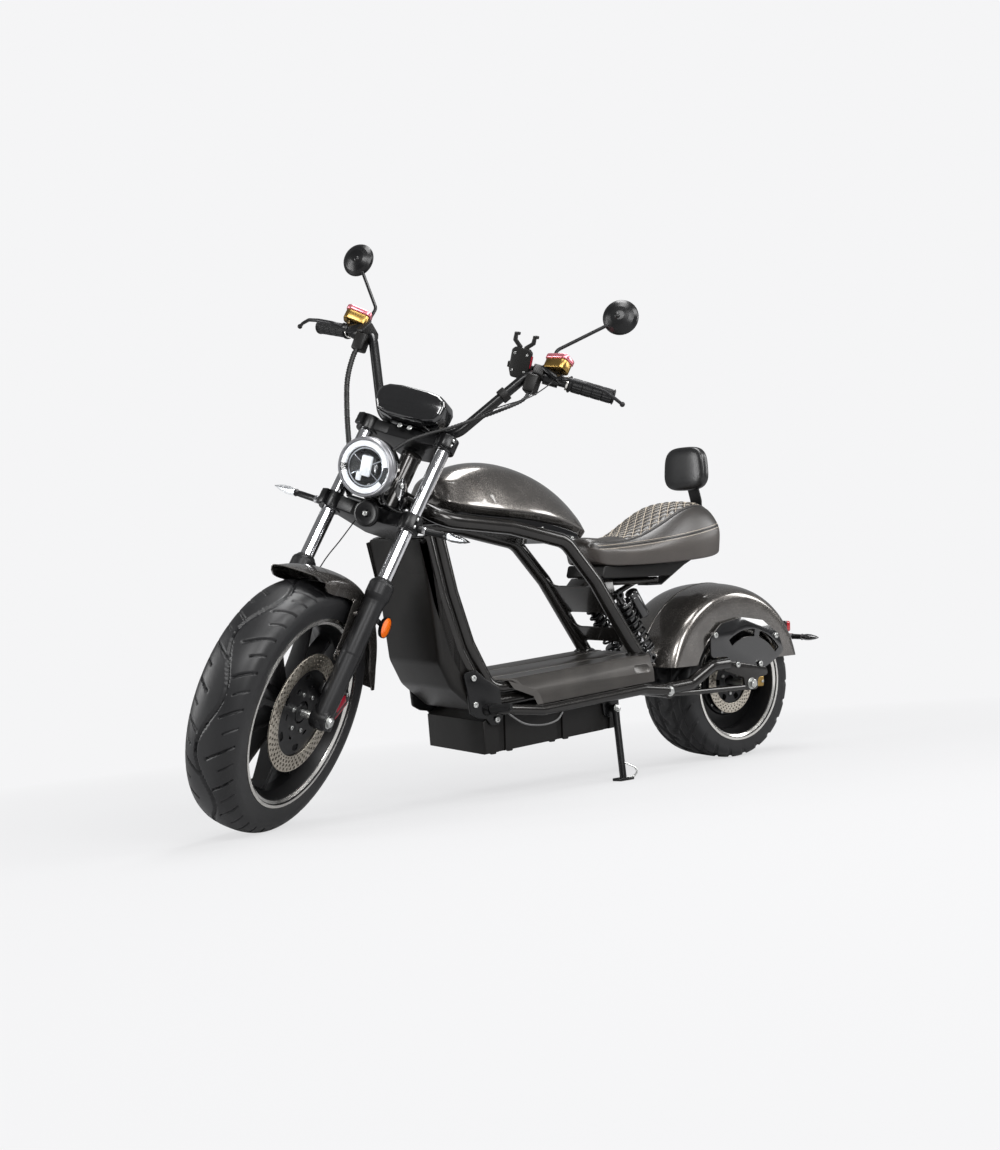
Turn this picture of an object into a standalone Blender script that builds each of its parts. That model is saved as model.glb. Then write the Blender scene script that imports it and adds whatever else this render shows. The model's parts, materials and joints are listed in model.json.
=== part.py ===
"""Electric chopper scooter, standing on its side stand with the fork turned to its left stop.

Metres. The scooter is modelled upright with +X forward, +Y to its left and the rear axle over x = 0,
then it is leaned and pitched as one so that both tyres and the stand's foot meet z = 0.
"""

import math

import bmesh
import bpy
from mathutils import Matrix, Vector

# Chassis: lengths in metres, angles in degrees
WHEELBASE = 1.539
RAKE = 30.4
TRAIL = 0.097
LEAN = 6.0
STEER_LOCK = 34.3
AXLE_DROP = 0.530
GAP = 0.0003
BEARING_GAP = 0.0008

# Front wheel and fork
FRONT_TYRE_RADIUS = 0.308
FRONT_TYRE_WIDTH = 0.134
FRONT_LIP_RADIUS = FRONT_TYRE_RADIUS - 0.0755
FRONT_WIDEST_RADIUS = FRONT_TYRE_RADIUS - 0.046
FRONT_LIP_HALF = 0.066
FRONT_HUB_RADIUS = 0.036
FRONT_HUB_HALF = 0.050
FRONT_DISC_RADIUS = 0.4708 * FRONT_TYRE_RADIUS
FRONT_AXLE_RADIUS = 0.010
FORK_SPACING = 0.222
STANCHION_RADIUS = 0.018
SLIDER_RADIUS = 0.026
SLIDER_TOP = -0.167
CLAMP_RING = 0.028
LOWER_CLAMP_BOTTOM = -0.026
LOWER_CLAMP_TOP = 0.018
TOP_CLAMP_BOTTOM = 0.205
TOP_CLAMP_TOP = 0.243
STEM_RADIUS = 0.012
HEAD_TUBE_RADIUS = 0.026

# Rear wheel
REAR_TYRE_RADIUS = 0.2316
REAR_TYRE_WIDTH = 0.195
REAR_LIP_RADIUS = REAR_TYRE_RADIUS - 0.0576
REAR_WIDEST_RADIUS = REAR_TYRE_RADIUS - 0.0316
REAR_LIP_HALF = 0.0976
MOTOR_RADIUS = 0.100
REAR_DISC_RADIUS = REAR_TYRE_RADIUS - 0.1366
REAR_AXLE_RADIUS = 0.009

# Frame and bodywork
FRAME_HALF = 0.110
TOP_TUBE_RADIUS = 0.020
DOWN_TUBE_RADIUS = 0.0168
DOWN_TUBE_PITCH = 0.0346
FLOOR_RISE = 3.0
BATTERY_HALF = FRAME_HALF + 0.0164
RAIL_RADIUS = 0.014
RAIL_HALF = FRAME_HALF + 0.058
SHIELD_HALF = FRAME_HALF + 0.014
SWINGARM_HALF = 0.140
SWINGARM_RADIUS = 0.018
SHOCK_HALF = 0.068
SEAT_TUBE_RADIUS = 0.012
REAR_FENDER_RADIUS = REAR_TYRE_RADIUS + 0.0684
REAR_FENDER_HALF = 0.128
REAR_FENDER_X = 0.035
TAIL_PANEL_X = REAR_FENDER_X - REAR_FENDER_RADIUS - 0.011
REAR_FENDER_ARC = (8, 172)
REAR_FENDER_STEPS = 14
FRONT_FENDER_RADIUS = FRONT_TYRE_RADIUS + 0.032
FRONT_FENDER_HALF = 0.076
SHEET = 0.003

# Handlebar
BAR_RADIUS = 0.0127
GRIP_RADIUS = 0.0165
MIRROR_RADIUS = 0.047
MIRROR_STEM_RADIUS = 0.0045

# Side stand
STAND_PIVOT = (0.558, FRAME_HALF + 0.0245, 0.205)
STAND_FOOT = (0.568, FRAME_HALF + 0.077)
STAND_LEG_RADIUS = 0.0095
STAND_PIN_RADIUS = 0.006

# Steering geometry: the head's place in the upright frame and the fork's offset from its axis
RAKE_TURN = Matrix.Rotation(-math.radians(RAKE), 4, "Y")
SINE, COSINE = math.sin(math.radians(RAKE)), math.cos(math.radians(RAKE))
FORK_OFFSET = FRONT_TYRE_RADIUS * SINE - TRAIL * COSINE
AXIS_LENGTH = FRONT_TYRE_RADIUS * COSINE + TRAIL * SINE + AXLE_DROP
HEAD = Vector((WHEELBASE + TRAIL - AXIS_LENGTH * SINE, 0, AXIS_LENGTH * COSINE))
BAR_OFFSET = FORK_OFFSET - 0.0721945734
STRETCH_FROM = 0.600
HEAD_REACH = 1.2085332986


def ahead(x):
    """x of a frame point; in front of the seat the frame is as long as the head's place needs."""
    if x <= STRETCH_FROM:
        return x
    return STRETCH_FROM + (x - STRETCH_FROM) * (HEAD.x - STRETCH_FROM) / (HEAD_REACH - STRETCH_FROM)


# Wall and detail sizes of single parts, and points of the frame: forward, up
FLANGE = 0.0055
FLANGE_DEPTH = 0.008
TREAD_STEPS = 8
FRONT_STEPS = 28
REAR_STEPS = 24
LEG_STEPS = 12
GRIP_LENGTH = 0.118
TOP_ROUTE = ((ahead(1.085), 0.733), (ahead(0.877), 0.713), (ahead(0.690), 0.672))
FLOOR_FRONT = (ahead(0.912), 0.319)
FLOOR_REAR = (0.412, 0.3505)
FLOOR_SHEET = 0.006
PEG_PLATE = 0.008
PIVOT = (0.376, 0.243)
PIVOT_STUB = 0.0185
SEAT_RAIL_Z = 0.5515
SEAT_RAIL_RADIUS = 0.010
SEAT_RAIL_HALF = 0.018
RAIL_UNDER = SEAT_RAIL_Z - SEAT_RAIL_RADIUS - GAP - 0.0025
LEG_BEND = (0.585, 0.560)
LEG_FOOT_X = 0.437
CROSS_PLATE = 0.006
SHOCK_TOP = (0.462, 0.515)
SHOCK_FOOT = (0.340, 0.330)
SHOCK_EYE_HALF = 0.011
SPRING_RADIUS = 0.0225
SPRING_WIRE = 0.0042
SPRING_TURNS = 5
STAND_PAD = 0.008
# Swingarm's bar, its axle plate and the fender's plate above it: forward, above the rear axle
ARM_ROUTE = ((0.255, 0.0184), (0.162, 0.0644), (0.100, 0.0664))
HANGER = (
    (0.140, 0.0809), (-0.070, 0.0439), (-0.076, 0.0204), (-0.030, 0.0154),
    (-0.028, -0.0196), (0.026, -0.0196), (0.032, 0.0204), (0.140, 0.0544),
)
FENDER_PLATE = (
    (0.098, 0.0869), (0.168, 0.0869), (0.168, 0.1484), (0.120, 0.1864), (0.035, 0.2004), (-0.060, 0.1864),
    (-0.130, 0.1404), (-0.152, 0.0864), (-0.105, 0.0604), (-0.068, 0.0448), (0.096, 0.0737),
)

# Finishes: colour, roughness, metallic
FINISHES = {
    "satin_grey_paint": ((0.09, 0.088, 0.085), 0.38, 0.6),
    "gloss_grey_paint": ((0.12, 0.115, 0.11), 0.15, 0.7),
    "black_paint": ((0.012, 0.012, 0.012), 0.35, 0.0),
    "black_plastic": ((0.015, 0.015, 0.015), 0.5, 0.0),
    "gloss_black": ((0.01, 0.01, 0.01), 0.08, 0.0),
    "tyre_rubber": ((0.02, 0.02, 0.02), 0.75, 0.0),
    "wheel_black": ((0.015, 0.015, 0.015), 0.3, 0.3),
    "disc_steel": ((0.6, 0.58, 0.55), 0.3, 1.0),
    "chrome": ((0.8, 0.8, 0.8), 0.1, 1.0),
    "axle_steel": ((0.45, 0.45, 0.45), 0.35, 1.0),
    "seat_leather": ((0.07, 0.062, 0.055), 0.55, 0.0),
    "red_lens": ((0.6, 0.02, 0.02), 0.15, 0.0),
    "gold_anodised": ((0.75, 0.5, 0.12), 0.3, 1.0),
}

COLLECTION = "electric_chopper_scooter"


def clear_scene():
    for thing in list(bpy.data.objects):
        bpy.data.objects.remove(thing, do_unlink=True)


def collection(name, hidden=False):
    made = bpy.data.collections.new(name)
    bpy.context.scene.collection.children.link(made)
    made.hide_render = hidden
    return made


def finish(name):
    if name in bpy.data.materials:
        return bpy.data.materials[name]
    colour, roughness, metallic = FINISHES[name]
    made = bpy.data.materials.new(name)
    made.use_nodes = True
    shader = made.node_tree.nodes["Principled BSDF"]
    shader.inputs["Base Color"].default_value = (*colour, 1)
    shader.inputs["Roughness"].default_value = roughness
    shader.inputs["Metallic"].default_value = metallic
    return made


def empty(name, parent, matrix):
    made = bpy.data.objects.new(name, None)
    PARTS.objects.link(made)
    made.parent = parent
    made.matrix_basis = matrix
    return made


def piece(name, mesh, parent, surface):
    """A mesh object of its parent's frame, smooth where its faces meet at a small angle."""
    made = bpy.data.objects.new(name, mesh)
    PARTS.objects.link(made)
    made.parent = parent
    if surface:
        mesh.materials.append(finish(surface))
    mesh.shade_smooth()
    mesh.set_sharp_from_angle(angle=math.radians(35))
    return made


def from_bmesh(name, bm, parent, surface, normals=True):
    if normals:
        bmesh.ops.recalc_face_normals(bm, faces=bm.faces)
    mesh = bpy.data.meshes.new(name)
    bm.to_mesh(mesh)
    bm.free()
    return piece(name, mesh, parent, surface)


def turned(name, profile, parent, surface, at=(0, 0, 0), axis=(0, 1, 0), steps=36, closed=False):
    """Profile points are (radius, height along the axis), down the outer side from the top."""
    bm = bmesh.new()
    verts = [bm.verts.new((radius, 0, height)) for radius, height in profile]
    for first, second in zip(verts, verts[1:]):
        bm.edges.new((first, second))
    if closed:
        bm.edges.new((verts[-1], verts[0]))
    made = from_bmesh(name, bm, parent, surface, normals=False)
    made.location = at
    made.rotation_mode = "QUATERNION"
    made.rotation_quaternion = Vector((0, 0, 1)).rotation_difference(Vector(axis))
    screw = made.modifiers.new("turn", "SCREW")
    screw.steps = screw.render_steps = steps
    screw.use_merge_vertices = True
    screw.merge_threshold = 0.0001
    screw.use_smooth_shade = True
    return made


def rounded(points, bend, closed=False, segments=4):
    """The points with each corner replaced by an arc of radius `bend`, cut short on short sides."""
    points = [Vector(point) for point in points]
    count = len(points)
    route = []
    for index, corner in enumerate(points):
        if not closed and index in (0, count - 1):
            route.append(corner)
            continue
        before = points[index - 1] - corner
        after = points[(index + 1) % count] - corner
        half_angle = before.angle(after) / 2
        reach = min(bend / math.tan(half_angle), 0.49 * before.length, 0.49 * after.length)
        if bend <= 0 or half_angle > math.radians(88):
            route.append(corner)
            continue
        start = corner + before.normalized() * reach
        end = corner + after.normalized() * reach
        radius = reach * math.tan(half_angle)
        centre = corner + (before.normalized() + after.normalized()).normalized() * math.hypot(reach, radius)
        for step in range(segments + 1):
            share = step / segments
            route.append(centre + (start - centre).slerp(end - centre, share).normalized() * radius)
    return route


def curve_mesh(curve):
    """A curve's evaluated mesh, its caps welded on."""
    thing = bpy.data.objects.new(curve.name, curve)
    PARTS.objects.link(thing)
    graph = bpy.context.evaluated_depsgraph_get()
    mesh = bpy.data.meshes.new_from_object(thing.evaluated_get(graph))
    bpy.data.objects.remove(thing, do_unlink=True)
    bm = bmesh.new()
    bm.from_mesh(mesh)
    bmesh.ops.remove_doubles(bm, verts=bm.verts, dist=0.00001)
    bm.to_mesh(mesh)
    bm.free()
    mesh.materials.clear()
    return mesh


def tube(name, points, radius, parent, surface, bend=0.0, segments=3, resolution=2):
    """A round bar along a route; resolution 2 gives it 8 sides."""
    curve = bpy.data.curves.new(name, "CURVE")
    curve.dimensions = "3D"
    curve.bevel_depth = radius
    curve.bevel_resolution = resolution
    curve.use_fill_caps = True
    spline = curve.splines.new("POLY")
    route = rounded(points, bend, segments=segments)
    spline.points.add(len(route) - 1)
    for target, point in zip(spline.points, route):
        target.co = (*point, 1)
    return piece(name, curve_mesh(curve), parent, surface)


# Turns from a plate's own XY outline to the plane it stands in
PLANES = {
    "XZ": Matrix.Rotation(math.radians(90), 4, "X"),
    "XY": Matrix.Identity(4),
    "YZ": Matrix.Rotation(math.radians(90), 4, "Z") @ Matrix.Rotation(math.radians(90), 4, "X"),
}


def plate(name, outline, thickness, parent, surface, plane="XZ", at=0.0, corner=0.0, edge=0.0):
    """A flat piece: its outline in the named plane, its mid-thickness `at` along that plane's normal."""
    curve = bpy.data.curves.new(name, "CURVE")
    curve.dimensions = "2D"
    curve.fill_mode = "BOTH"
    curve.extrude = thickness / 2 - edge
    curve.bevel_depth = edge
    curve.bevel_resolution = 0
    curve.offset = -edge
    spline = curve.splines.new("POLY")
    route = rounded([(u, w, 0) for u, w in outline], corner, closed=True, segments=2)
    spline.points.add(len(route) - 1)
    for target, point in zip(spline.points, route):
        target.co = (*point, 1)
    spline.use_cyclic_u = True
    mesh = curve_mesh(curve)
    turn = PLANES[plane]
    normal = {"XZ": Vector((0, 1, 0)), "XY": Vector((0, 0, 1)), "YZ": Vector((1, 0, 0))}[plane]
    mesh.transform(Matrix.Translation(normal * at) @ turn)
    return piece(name, mesh, parent, surface)


def block(name, size, at, parent, surface, turn=0.0, axis="Y", edge=0.0):
    bm = bmesh.new()
    bmesh.ops.create_cube(bm, size=1)
    bmesh.ops.scale(bm, vec=size, verts=bm.verts)
    if edge:
        bmesh.ops.bevel(bm, geom=bm.edges[:], offset=edge, segments=1, profile=0.5, affect="EDGES")
    bm.transform(Matrix.Translation(at) @ Matrix.Rotation(math.radians(turn), 4, axis))
    return from_bmesh(name, bm, parent, surface)


def loft(name, rings, parent, surface, levels=0, creased=()):
    """Closed rings of equal counts, skinned in turn and capped; `creased` points keep an edge."""
    bm = bmesh.new()
    made = [[bm.verts.new(point) for point in ring] for ring in rings]
    count = len(made[0])
    for first, second in zip(made, made[1:]):
        for index in range(count):
            after = (index + 1) % count
            bm.faces.new((first[index], first[after], second[after], second[index]))
    bm.faces.new(made[0][::-1])
    bm.faces.new(made[-1])
    crease = bm.edges.layers.float.new("crease_edge")
    for index in creased:
        for first, second in zip(made, made[1:]):
            bm.edges.get((first[index], second[index]))[crease] = 0.8
    thing = from_bmesh(name, bm, parent, surface)
    if levels:
        smooth = thing.modifiers.new("smooth", "SUBSURF")
        smooth.levels = smooth.render_levels = levels
    return thing


def smoothed(points):
    """Where a subdivided surface passes the inner points of an (x, z) line and the middles between them."""
    points = [Vector(point) for point in points]
    count = len(points)
    made = []
    for index in range(1, count - 1):
        before, here, after = points[index - 1 : index + 2]
        made.append(tuple((before + 4 * here + after) / 6))
        if index < count - 2:
            made.append(tuple((before + 23 * here + 23 * after + points[index + 2]) / 48))
    return made


def combine(target, operation, others):
    for other in others:
        step = target.modifiers.new(f"{operation.lower()}_{other.name}", "BOOLEAN")
        step.operation = operation
        step.object = other
        PARTS.objects.unlink(other)
        CUTTERS.objects.link(other)
        other.hide_render = True
        other.display_type = "WIRE"
    return target


def join(target, *others):
    return combine(target, "UNION", others)


def cut(target, *others):
    return combine(target, "DIFFERENCE", others)


def arc_sheet(name, section, centre, start, end, steps, parent, surface, floor=None):
    """A fender: the (radius, y) section swept about the axle from `start` to `end` degrees above +X."""
    bm = bmesh.new()
    turn = math.radians(start)
    verts = [
        bm.verts.new((centre[0] + r * math.cos(turn), y, centre[1] + r * math.sin(turn))) for r, y in section
    ]
    edges = [bm.edges.new(pair) for pair in zip(verts, verts[1:])]
    bmesh.ops.spin(
        bm,
        geom=verts + edges,
        cent=(centre[0], 0, centre[1]),
        axis=(0, -1, 0),
        angle=math.radians(end - start),
        steps=steps,
        use_merge=False,
    )
    if floor is not None:
        everything = bm.verts[:] + bm.edges[:] + bm.faces[:]
        down = (0, 0, -1)
        bmesh.ops.bisect_plane(bm, geom=everything, plane_co=(0, 0, floor), plane_no=down, clear_outer=True)
    bmesh.ops.recalc_face_normals(bm, faces=bm.faces)
    mesh = bpy.data.meshes.new(name)
    bm.to_mesh(mesh)
    bm.free()
    made = piece(name, mesh, parent, surface)
    wall = made.modifiers.new("wall", "SOLIDIFY")
    wall.thickness = SHEET
    wall.offset = 0
    return made


def crown(radius, half, drop, count=5):
    """Section of a crowned fender from its left lower edge over the top to its right one."""
    points = [(radius - drop, half)]
    for step in range(count + 1):
        turn = math.pi * step / count
        points.append((radius - 0.35 * half + 0.35 * half * math.sin(turn) ** 0.8, half * math.cos(turn)))
    points.append((radius - drop, -half))
    return points


def tyre_section(radius, width, lip, lip_half, widest, flat):
    """Closed section (radius, height): the tread's arc, then the bead seat between the rim's flanges."""
    clear = 0.0005
    inner = lip_half - FLANGE - clear
    seat = lip - FLANGE_DEPTH + clear
    points = [(lip + clear, lip_half - 0.002)]
    for step in range(TREAD_STEPS + 1):
        turn = math.pi * step / TREAD_STEPS
        height = width / 2 * math.copysign(abs(math.cos(turn)) ** flat, math.cos(turn))
        points.append((widest + (radius - widest) * math.sin(turn) ** flat, height))
    points += [(lip + clear, 0.002 - lip_half), (lip + clear, -inner), (seat, -inner)]
    points += [(seat, inner), (lip + clear, inner)]
    return points




def front_tyre_section():
    lip, half = FRONT_LIP_RADIUS, FRONT_LIP_HALF
    return tyre_section(FRONT_TYRE_RADIUS, FRONT_TYRE_WIDTH, lip, half, FRONT_WIDEST_RADIUS, 0.78)


def rear_tyre_section():
    lip, half = REAR_LIP_RADIUS, REAR_LIP_HALF
    return tyre_section(REAR_TYRE_RADIUS, REAR_TYRE_WIDTH, lip, half, REAR_WIDEST_RADIUS, 0.62)


def half_rim(lip, lip_half, well, well_half):
    """Upper half of a rim's outer side, from the lip's face down to the well."""
    seat = lip - FLANGE_DEPTH
    return [
        (lip, lip_half),
        (lip, lip_half - FLANGE),
        (seat, lip_half - FLANGE),
        (seat, well_half + 0.012),
        (well, well_half),
    ]


def mirrored(points):
    return [(radius, -height) for radius, height in reversed(points)]


def spoke(name, start, end, start_size, end_size, parent):
    """A tapering arm between (radius, degrees) points; sizes are (width, depth across the wheel)."""
    bm = bmesh.new()
    bmesh.ops.create_cube(bm, size=1)
    for vert in bm.verts:
        (radius, turn), (width, depth) = (end, end_size) if vert.co.z > 0 else (start, start_size)
        turn = math.radians(turn)
        along = Vector((math.cos(turn), 0, math.sin(turn)))
        across = Vector((-math.sin(turn), 0, math.cos(turn)))
        vert.co = along * radius + across * (vert.co.x * width) + Vector((0, vert.co.y * depth, 0))
    return from_bmesh(name, bm, parent, None)


def build_front_wheel(axle):
    turned(
        "front_tyre",
        front_tyre_section(),
        axle,
        "tyre_rubber",
        steps=FRONT_STEPS,
        closed=True,
    )
    lip = FRONT_LIP_RADIUS
    outer = half_rim(lip, FRONT_LIP_HALF, lip - 0.0205, 0.030)
    inner = [(lip - 0.0305, 0.026), (lip - 0.016, 0.055), (lip - 0.009, 0.058), (lip - 0.006, FRONT_LIP_HALF)]
    section = outer + mirrored(outer) + mirrored(inner) + inner
    rim = turned("front_rim", section, axle, "wheel_black", steps=FRONT_STEPS, closed=True)
    hub = turned(
        "front_hub",
        [
            (FRONT_AXLE_RADIUS + GAP, FRONT_HUB_HALF),
            (FRONT_HUB_RADIUS, FRONT_HUB_HALF),
            (FRONT_HUB_RADIUS, -FRONT_HUB_HALF),
            (FRONT_AXLE_RADIUS + GAP, -FRONT_HUB_HALF),
        ],
        axle,
        None,
        steps=24,
        closed=True,
    )
    arms = []
    for pair in range(5):
        middle = 90 + pair * 72
        for side in (-1, 1):
            start = (FRONT_HUB_RADIUS - 0.004, middle + side * 9)
            end = (lip - 0.028, middle + side * 17)
            depth = 0.050 + side * 0.002
            name = f"front_spoke_{pair}_{side + 1}"
            arms.append(spoke(name, start, end, (0.016, depth), (0.014, 0.028), axle))
    join(rim, hub, *arms)
    ring = 0.745 * FRONT_DISC_RADIUS
    disc = turned(
        "front_disc",
        [
            (0.030, 0.0555),
            (ring, 0.0625),
            (FRONT_DISC_RADIUS, 0.0625),
            (FRONT_DISC_RADIUS, 0.0585),
            (ring, 0.0585),
            (0.060, FRONT_HUB_HALF + GAP),
            (0.030, FRONT_HUB_HALF + GAP),
        ],
        axle,
        "disc_steel",
        steps=26,
        closed=True,
    )
    return rim, disc


def build_rear_wheel(axle):
    turned(
        "rear_tyre",
        rear_tyre_section(),
        axle,
        "tyre_rubber",
        steps=REAR_STEPS,
        closed=True,
    )
    lip = REAR_LIP_RADIUS
    outer = half_rim(lip, REAR_LIP_HALF, lip - 0.019, 0.055)
    flank = [(lip - 0.028, 0.050), (lip - 0.017, 0.086), (lip - 0.010, 0.089), (lip - 0.008, REAR_LIP_HALF)]
    right_inner = mirrored(flank) + [(lip - 0.028, -0.030)]
    motor = [
        (MOTOR_RADIUS, -0.030),
        (MOTOR_RADIUS, -0.056),
        (MOTOR_RADIUS - 0.010, -0.062),
        (REAR_AXLE_RADIUS + GAP, -0.062),
        (REAR_AXLE_RADIUS + GAP, 0.045),
        (MOTOR_RADIUS - 0.010, 0.045),
        (MOTOR_RADIUS, 0.039),
        (MOTOR_RADIUS, -0.008),
    ]
    left_inner = [(lip - 0.028, -0.008)] + flank
    turned(
        "rear_rim",
        outer + mirrored(outer) + right_inner + motor + left_inner,
        axle,
        "wheel_black",
        steps=REAR_STEPS,
        closed=True,
    )
    neck, ring = 0.474 * REAR_DISC_RADIUS, 0.632 * REAR_DISC_RADIUS
    turned(
        "rear_disc",
        [
            (0.020, 0.0555),
            (neck, 0.0555),
            (ring, 0.0625),
            (REAR_DISC_RADIUS, 0.0625),
            (REAR_DISC_RADIUS, 0.0585),
            (ring, 0.0575),
            (neck, 0.045 + GAP),
            (0.020, 0.045 + GAP),
        ],
        axle,
        "disc_steel",
        steps=26,
        closed=True,
    )


def build_fork(steering, axle):
    """Everything that turns with the handlebar, in the steering axis's frame: x forward, z up the axis."""
    leg_x = FORK_OFFSET
    lug_reach = 0.012
    turned(
        "front_axle",
        [
            (0, FORK_SPACING / 2 + 0.030),
            (0.008, FORK_SPACING / 2 + 0.030),
            (FRONT_AXLE_RADIUS, FORK_SPACING / 2 + 0.026),
            (FRONT_AXLE_RADIUS, -FORK_SPACING / 2 - 0.026),
            (0.008, -FORK_SPACING / 2 - 0.030),
            (0, -FORK_SPACING / 2 - 0.030),
        ],
        axle,
        "axle_steel",
        steps=16,
    )
    for side, word in ((1, "left"), (-1, "right")):
        y = side * FORK_SPACING / 2
        bore = STANCHION_RADIUS + GAP
        slider = turned(
            f"slider_{word}",
            [
                (bore, SLIDER_TOP),
                (0.0285, SLIDER_TOP),
                (0.0315, SLIDER_TOP - 0.004),
                (0.0315, SLIDER_TOP - 0.036),
                (SLIDER_RADIUS, SLIDER_TOP - 0.052),
                (SLIDER_RADIUS, -AXLE_DROP + 0.060),
                (SLIDER_RADIUS - 0.003, -AXLE_DROP - 0.018),
                (0.012, -AXLE_DROP - 0.026),
                (0, -AXLE_DROP - 0.026),
                (0, SLIDER_TOP - 0.060),
                (bore, SLIDER_TOP - 0.060),
            ],
            steering,
            "satin_grey_paint",
            at=(leg_x, y, 0),
            axis=(0, 0, 1),
            steps=LEG_STEPS,
            closed=True,
        )
        lug = block(
            f"axle_lug_{word}",
            (0.060, 0.040, 0.040),
            (leg_x - lug_reach, y, -AXLE_DROP),
            steering,
            None,
            edge=0.006,
        )
        bore_cutter = turned(
            f"axle_bore_{word}",
            [(0, 0.05), (FRONT_AXLE_RADIUS + GAP, 0.05), (FRONT_AXLE_RADIUS + GAP, -0.05), (0, -0.05)],
            steering,
            None,
            at=(leg_x, y, -AXLE_DROP),
            steps=16,
        )
        join(slider, lug)
        cut(slider, bore_cutter)
        turned(
            f"stanchion_{word}",
            [
                (0, TOP_CLAMP_TOP + 0.004),
                (STANCHION_RADIUS - 0.003, TOP_CLAMP_TOP + 0.004),
                (STANCHION_RADIUS, TOP_CLAMP_TOP),
                (STANCHION_RADIUS, SLIDER_TOP - 0.055),
                (0, SLIDER_TOP - 0.055),
            ],
            steering,
            "chrome",
            at=(leg_x, y, 0),
            axis=(0, 0, 1),
            steps=LEG_STEPS,
        )
    for word, bottom, top in (
        ("lower", LOWER_CLAMP_BOTTOM, LOWER_CLAMP_TOP),
        ("top", TOP_CLAMP_BOTTOM, TOP_CLAMP_TOP),
    ):
        middle = (bottom + top) / 2
        half = FORK_SPACING / 2
        plate_end = half - 0.004
        clamp = plate(
            f"{word}_clamp",
            [
                (leg_x - 0.020, -plate_end),
                (-0.032, -0.030),
                (-0.032, 0.030),
                (leg_x - 0.020, plate_end),
                (leg_x + 0.018, plate_end),
                (leg_x + 0.004, 0.040),
                (leg_x + 0.004, -0.040),
                (leg_x + 0.018, -plate_end),
            ],
            top - bottom,
            steering,
            "black_paint",
            plane="XY",
            at=middle,
        )
        if word == "lower":
            stem_top = TOP_CLAMP_BOTTOM - GAP
            stem = turned(
                "stem",
                [(0, stem_top), (STEM_RADIUS, stem_top), (STEM_RADIUS, bottom + 0.005), (0, bottom + 0.005)],
                steering,
                None,
                axis=(0, 0, 1),
                steps=12,
            )
            join(clamp, stem)
        for side, hand in ((1, "left"), (-1, "right")):
            ring = turned(
                f"{word}_ring_{hand}",
                [(0, top), (CLAMP_RING, top), (CLAMP_RING, bottom), (0, bottom)],
                steering,
                None,
                at=(leg_x, side * half, 0),
                axis=(0, 0, 1),
                steps=12,
            )
            hole = turned(
                f"{word}_hole_{hand}",
                [
                    (0, top + 0.01),
                    (STANCHION_RADIUS + GAP, top + 0.01),
                    (STANCHION_RADIUS + GAP, bottom - 0.01),
                    (0, bottom - 0.01),
                ],
                steering,
                None,
                at=(leg_x, side * half, 0),
                axis=(0, 0, 1),
                steps=LEG_STEPS,
            )
            join(clamp, ring)
            cut(clamp, hole)


def build_front_fender(steering):
    centre = (FORK_OFFSET, -AXLE_DROP)
    section = crown(FRONT_FENDER_RADIUS, FRONT_FENDER_HALF, 0.045)
    fender = arc_sheet("front_fender", section, centre, 54, 150, 9, steering, "gloss_grey_paint")
    stay_half = FORK_SPACING / 2 - SLIDER_RADIUS - GAP
    for side, word in ((1, "left"), (-1, "right")):
        middle = (FRONT_FENDER_HALF - 0.001 + stay_half) / 2
        stay = plate(
            f"fender_stay_{word}",
            [
                (FORK_OFFSET + 0.050, FRONT_FENDER_RADIUS - AXLE_DROP - 0.030),
                (FORK_OFFSET - 0.060, FRONT_FENDER_RADIUS - AXLE_DROP - 0.035),
                (FORK_OFFSET - 0.016, -AXLE_DROP + 0.150),
                (FORK_OFFSET + 0.014, -AXLE_DROP + 0.150),
            ],
            stay_half - FRONT_FENDER_HALF + 0.001,
            steering,
            None,
            at=side * middle,
            corner=0.008,
        )
        join(fender, stay)
    return fender


def build_headlight(steering):
    face = Vector((FORK_OFFSET + 0.1318, 0, 0.058))
    forward = Vector((math.cos(math.radians(RAKE)), 0, -math.sin(math.radians(RAKE))))
    can = turned(
        "headlight",
        [
            (0, 0.002),
            (0.056, 0.002),
            (0.060, 0.010),
            (0.069, 0.010),
            (0.073, 0.002),
            (0.073, -0.030),
            (0.066, -0.066),
            (0.040, -0.088),
            (0, -0.094),
        ],
        steering,
        "gloss_black",
        at=face,
        axis=forward,
        steps=22,
    )
    foot = block(
        "headlight_foot",
        (0.080, 0.050, 0.050),
        (FORK_OFFSET + 0.008, 0, LOWER_CLAMP_TOP + GAP + 0.025),
        steering,
        None,
        edge=0.004,
    )
    join(can, foot)


# Left half of the handlebar's route, out from the middle: forward, left, up
BAR_ROUTE = (
    (0.030, 0.000, 0.268),
    (0.036, 0.105, 0.268),
    (0.048, 0.232, 0.487),
    (-0.028, 0.437, 0.514),
)


def mirror_route(route):
    left = [Vector(point) for point in route]
    right = [Vector((x, -y, z)) for x, y, z in reversed(route) if y > 0]
    return right + left


def build_bar(steering):
    route = mirror_route(BAR_ROUTE)
    bar = tube("handlebar", route, BAR_RADIUS, steering, "black_paint", bend=0.055, segments=4)
    end = Vector(BAR_ROUTE[-1])
    inward = (Vector(BAR_ROUTE[-2]) - end).normalized()
    for side, word in ((1, "left"), (-1, "right")):
        flip = Vector((1, side, 1))
        grip = tube(
            f"grip_{word}",
            [(end - inward * 0.004) * flip, (end + inward * GRIP_LENGTH) * flip],
            GRIP_RADIUS,
            steering,
            None,
        )
        join(bar, grip)
        riser = block(
            f"riser_{word}",
            (0.030, 0.024, 0.040),
            (0.032, side * 0.045, TOP_CLAMP_TOP + GAP + 0.020),
            steering,
            None,
            edge=0.004,
        )
        join(bar, riser)


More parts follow.
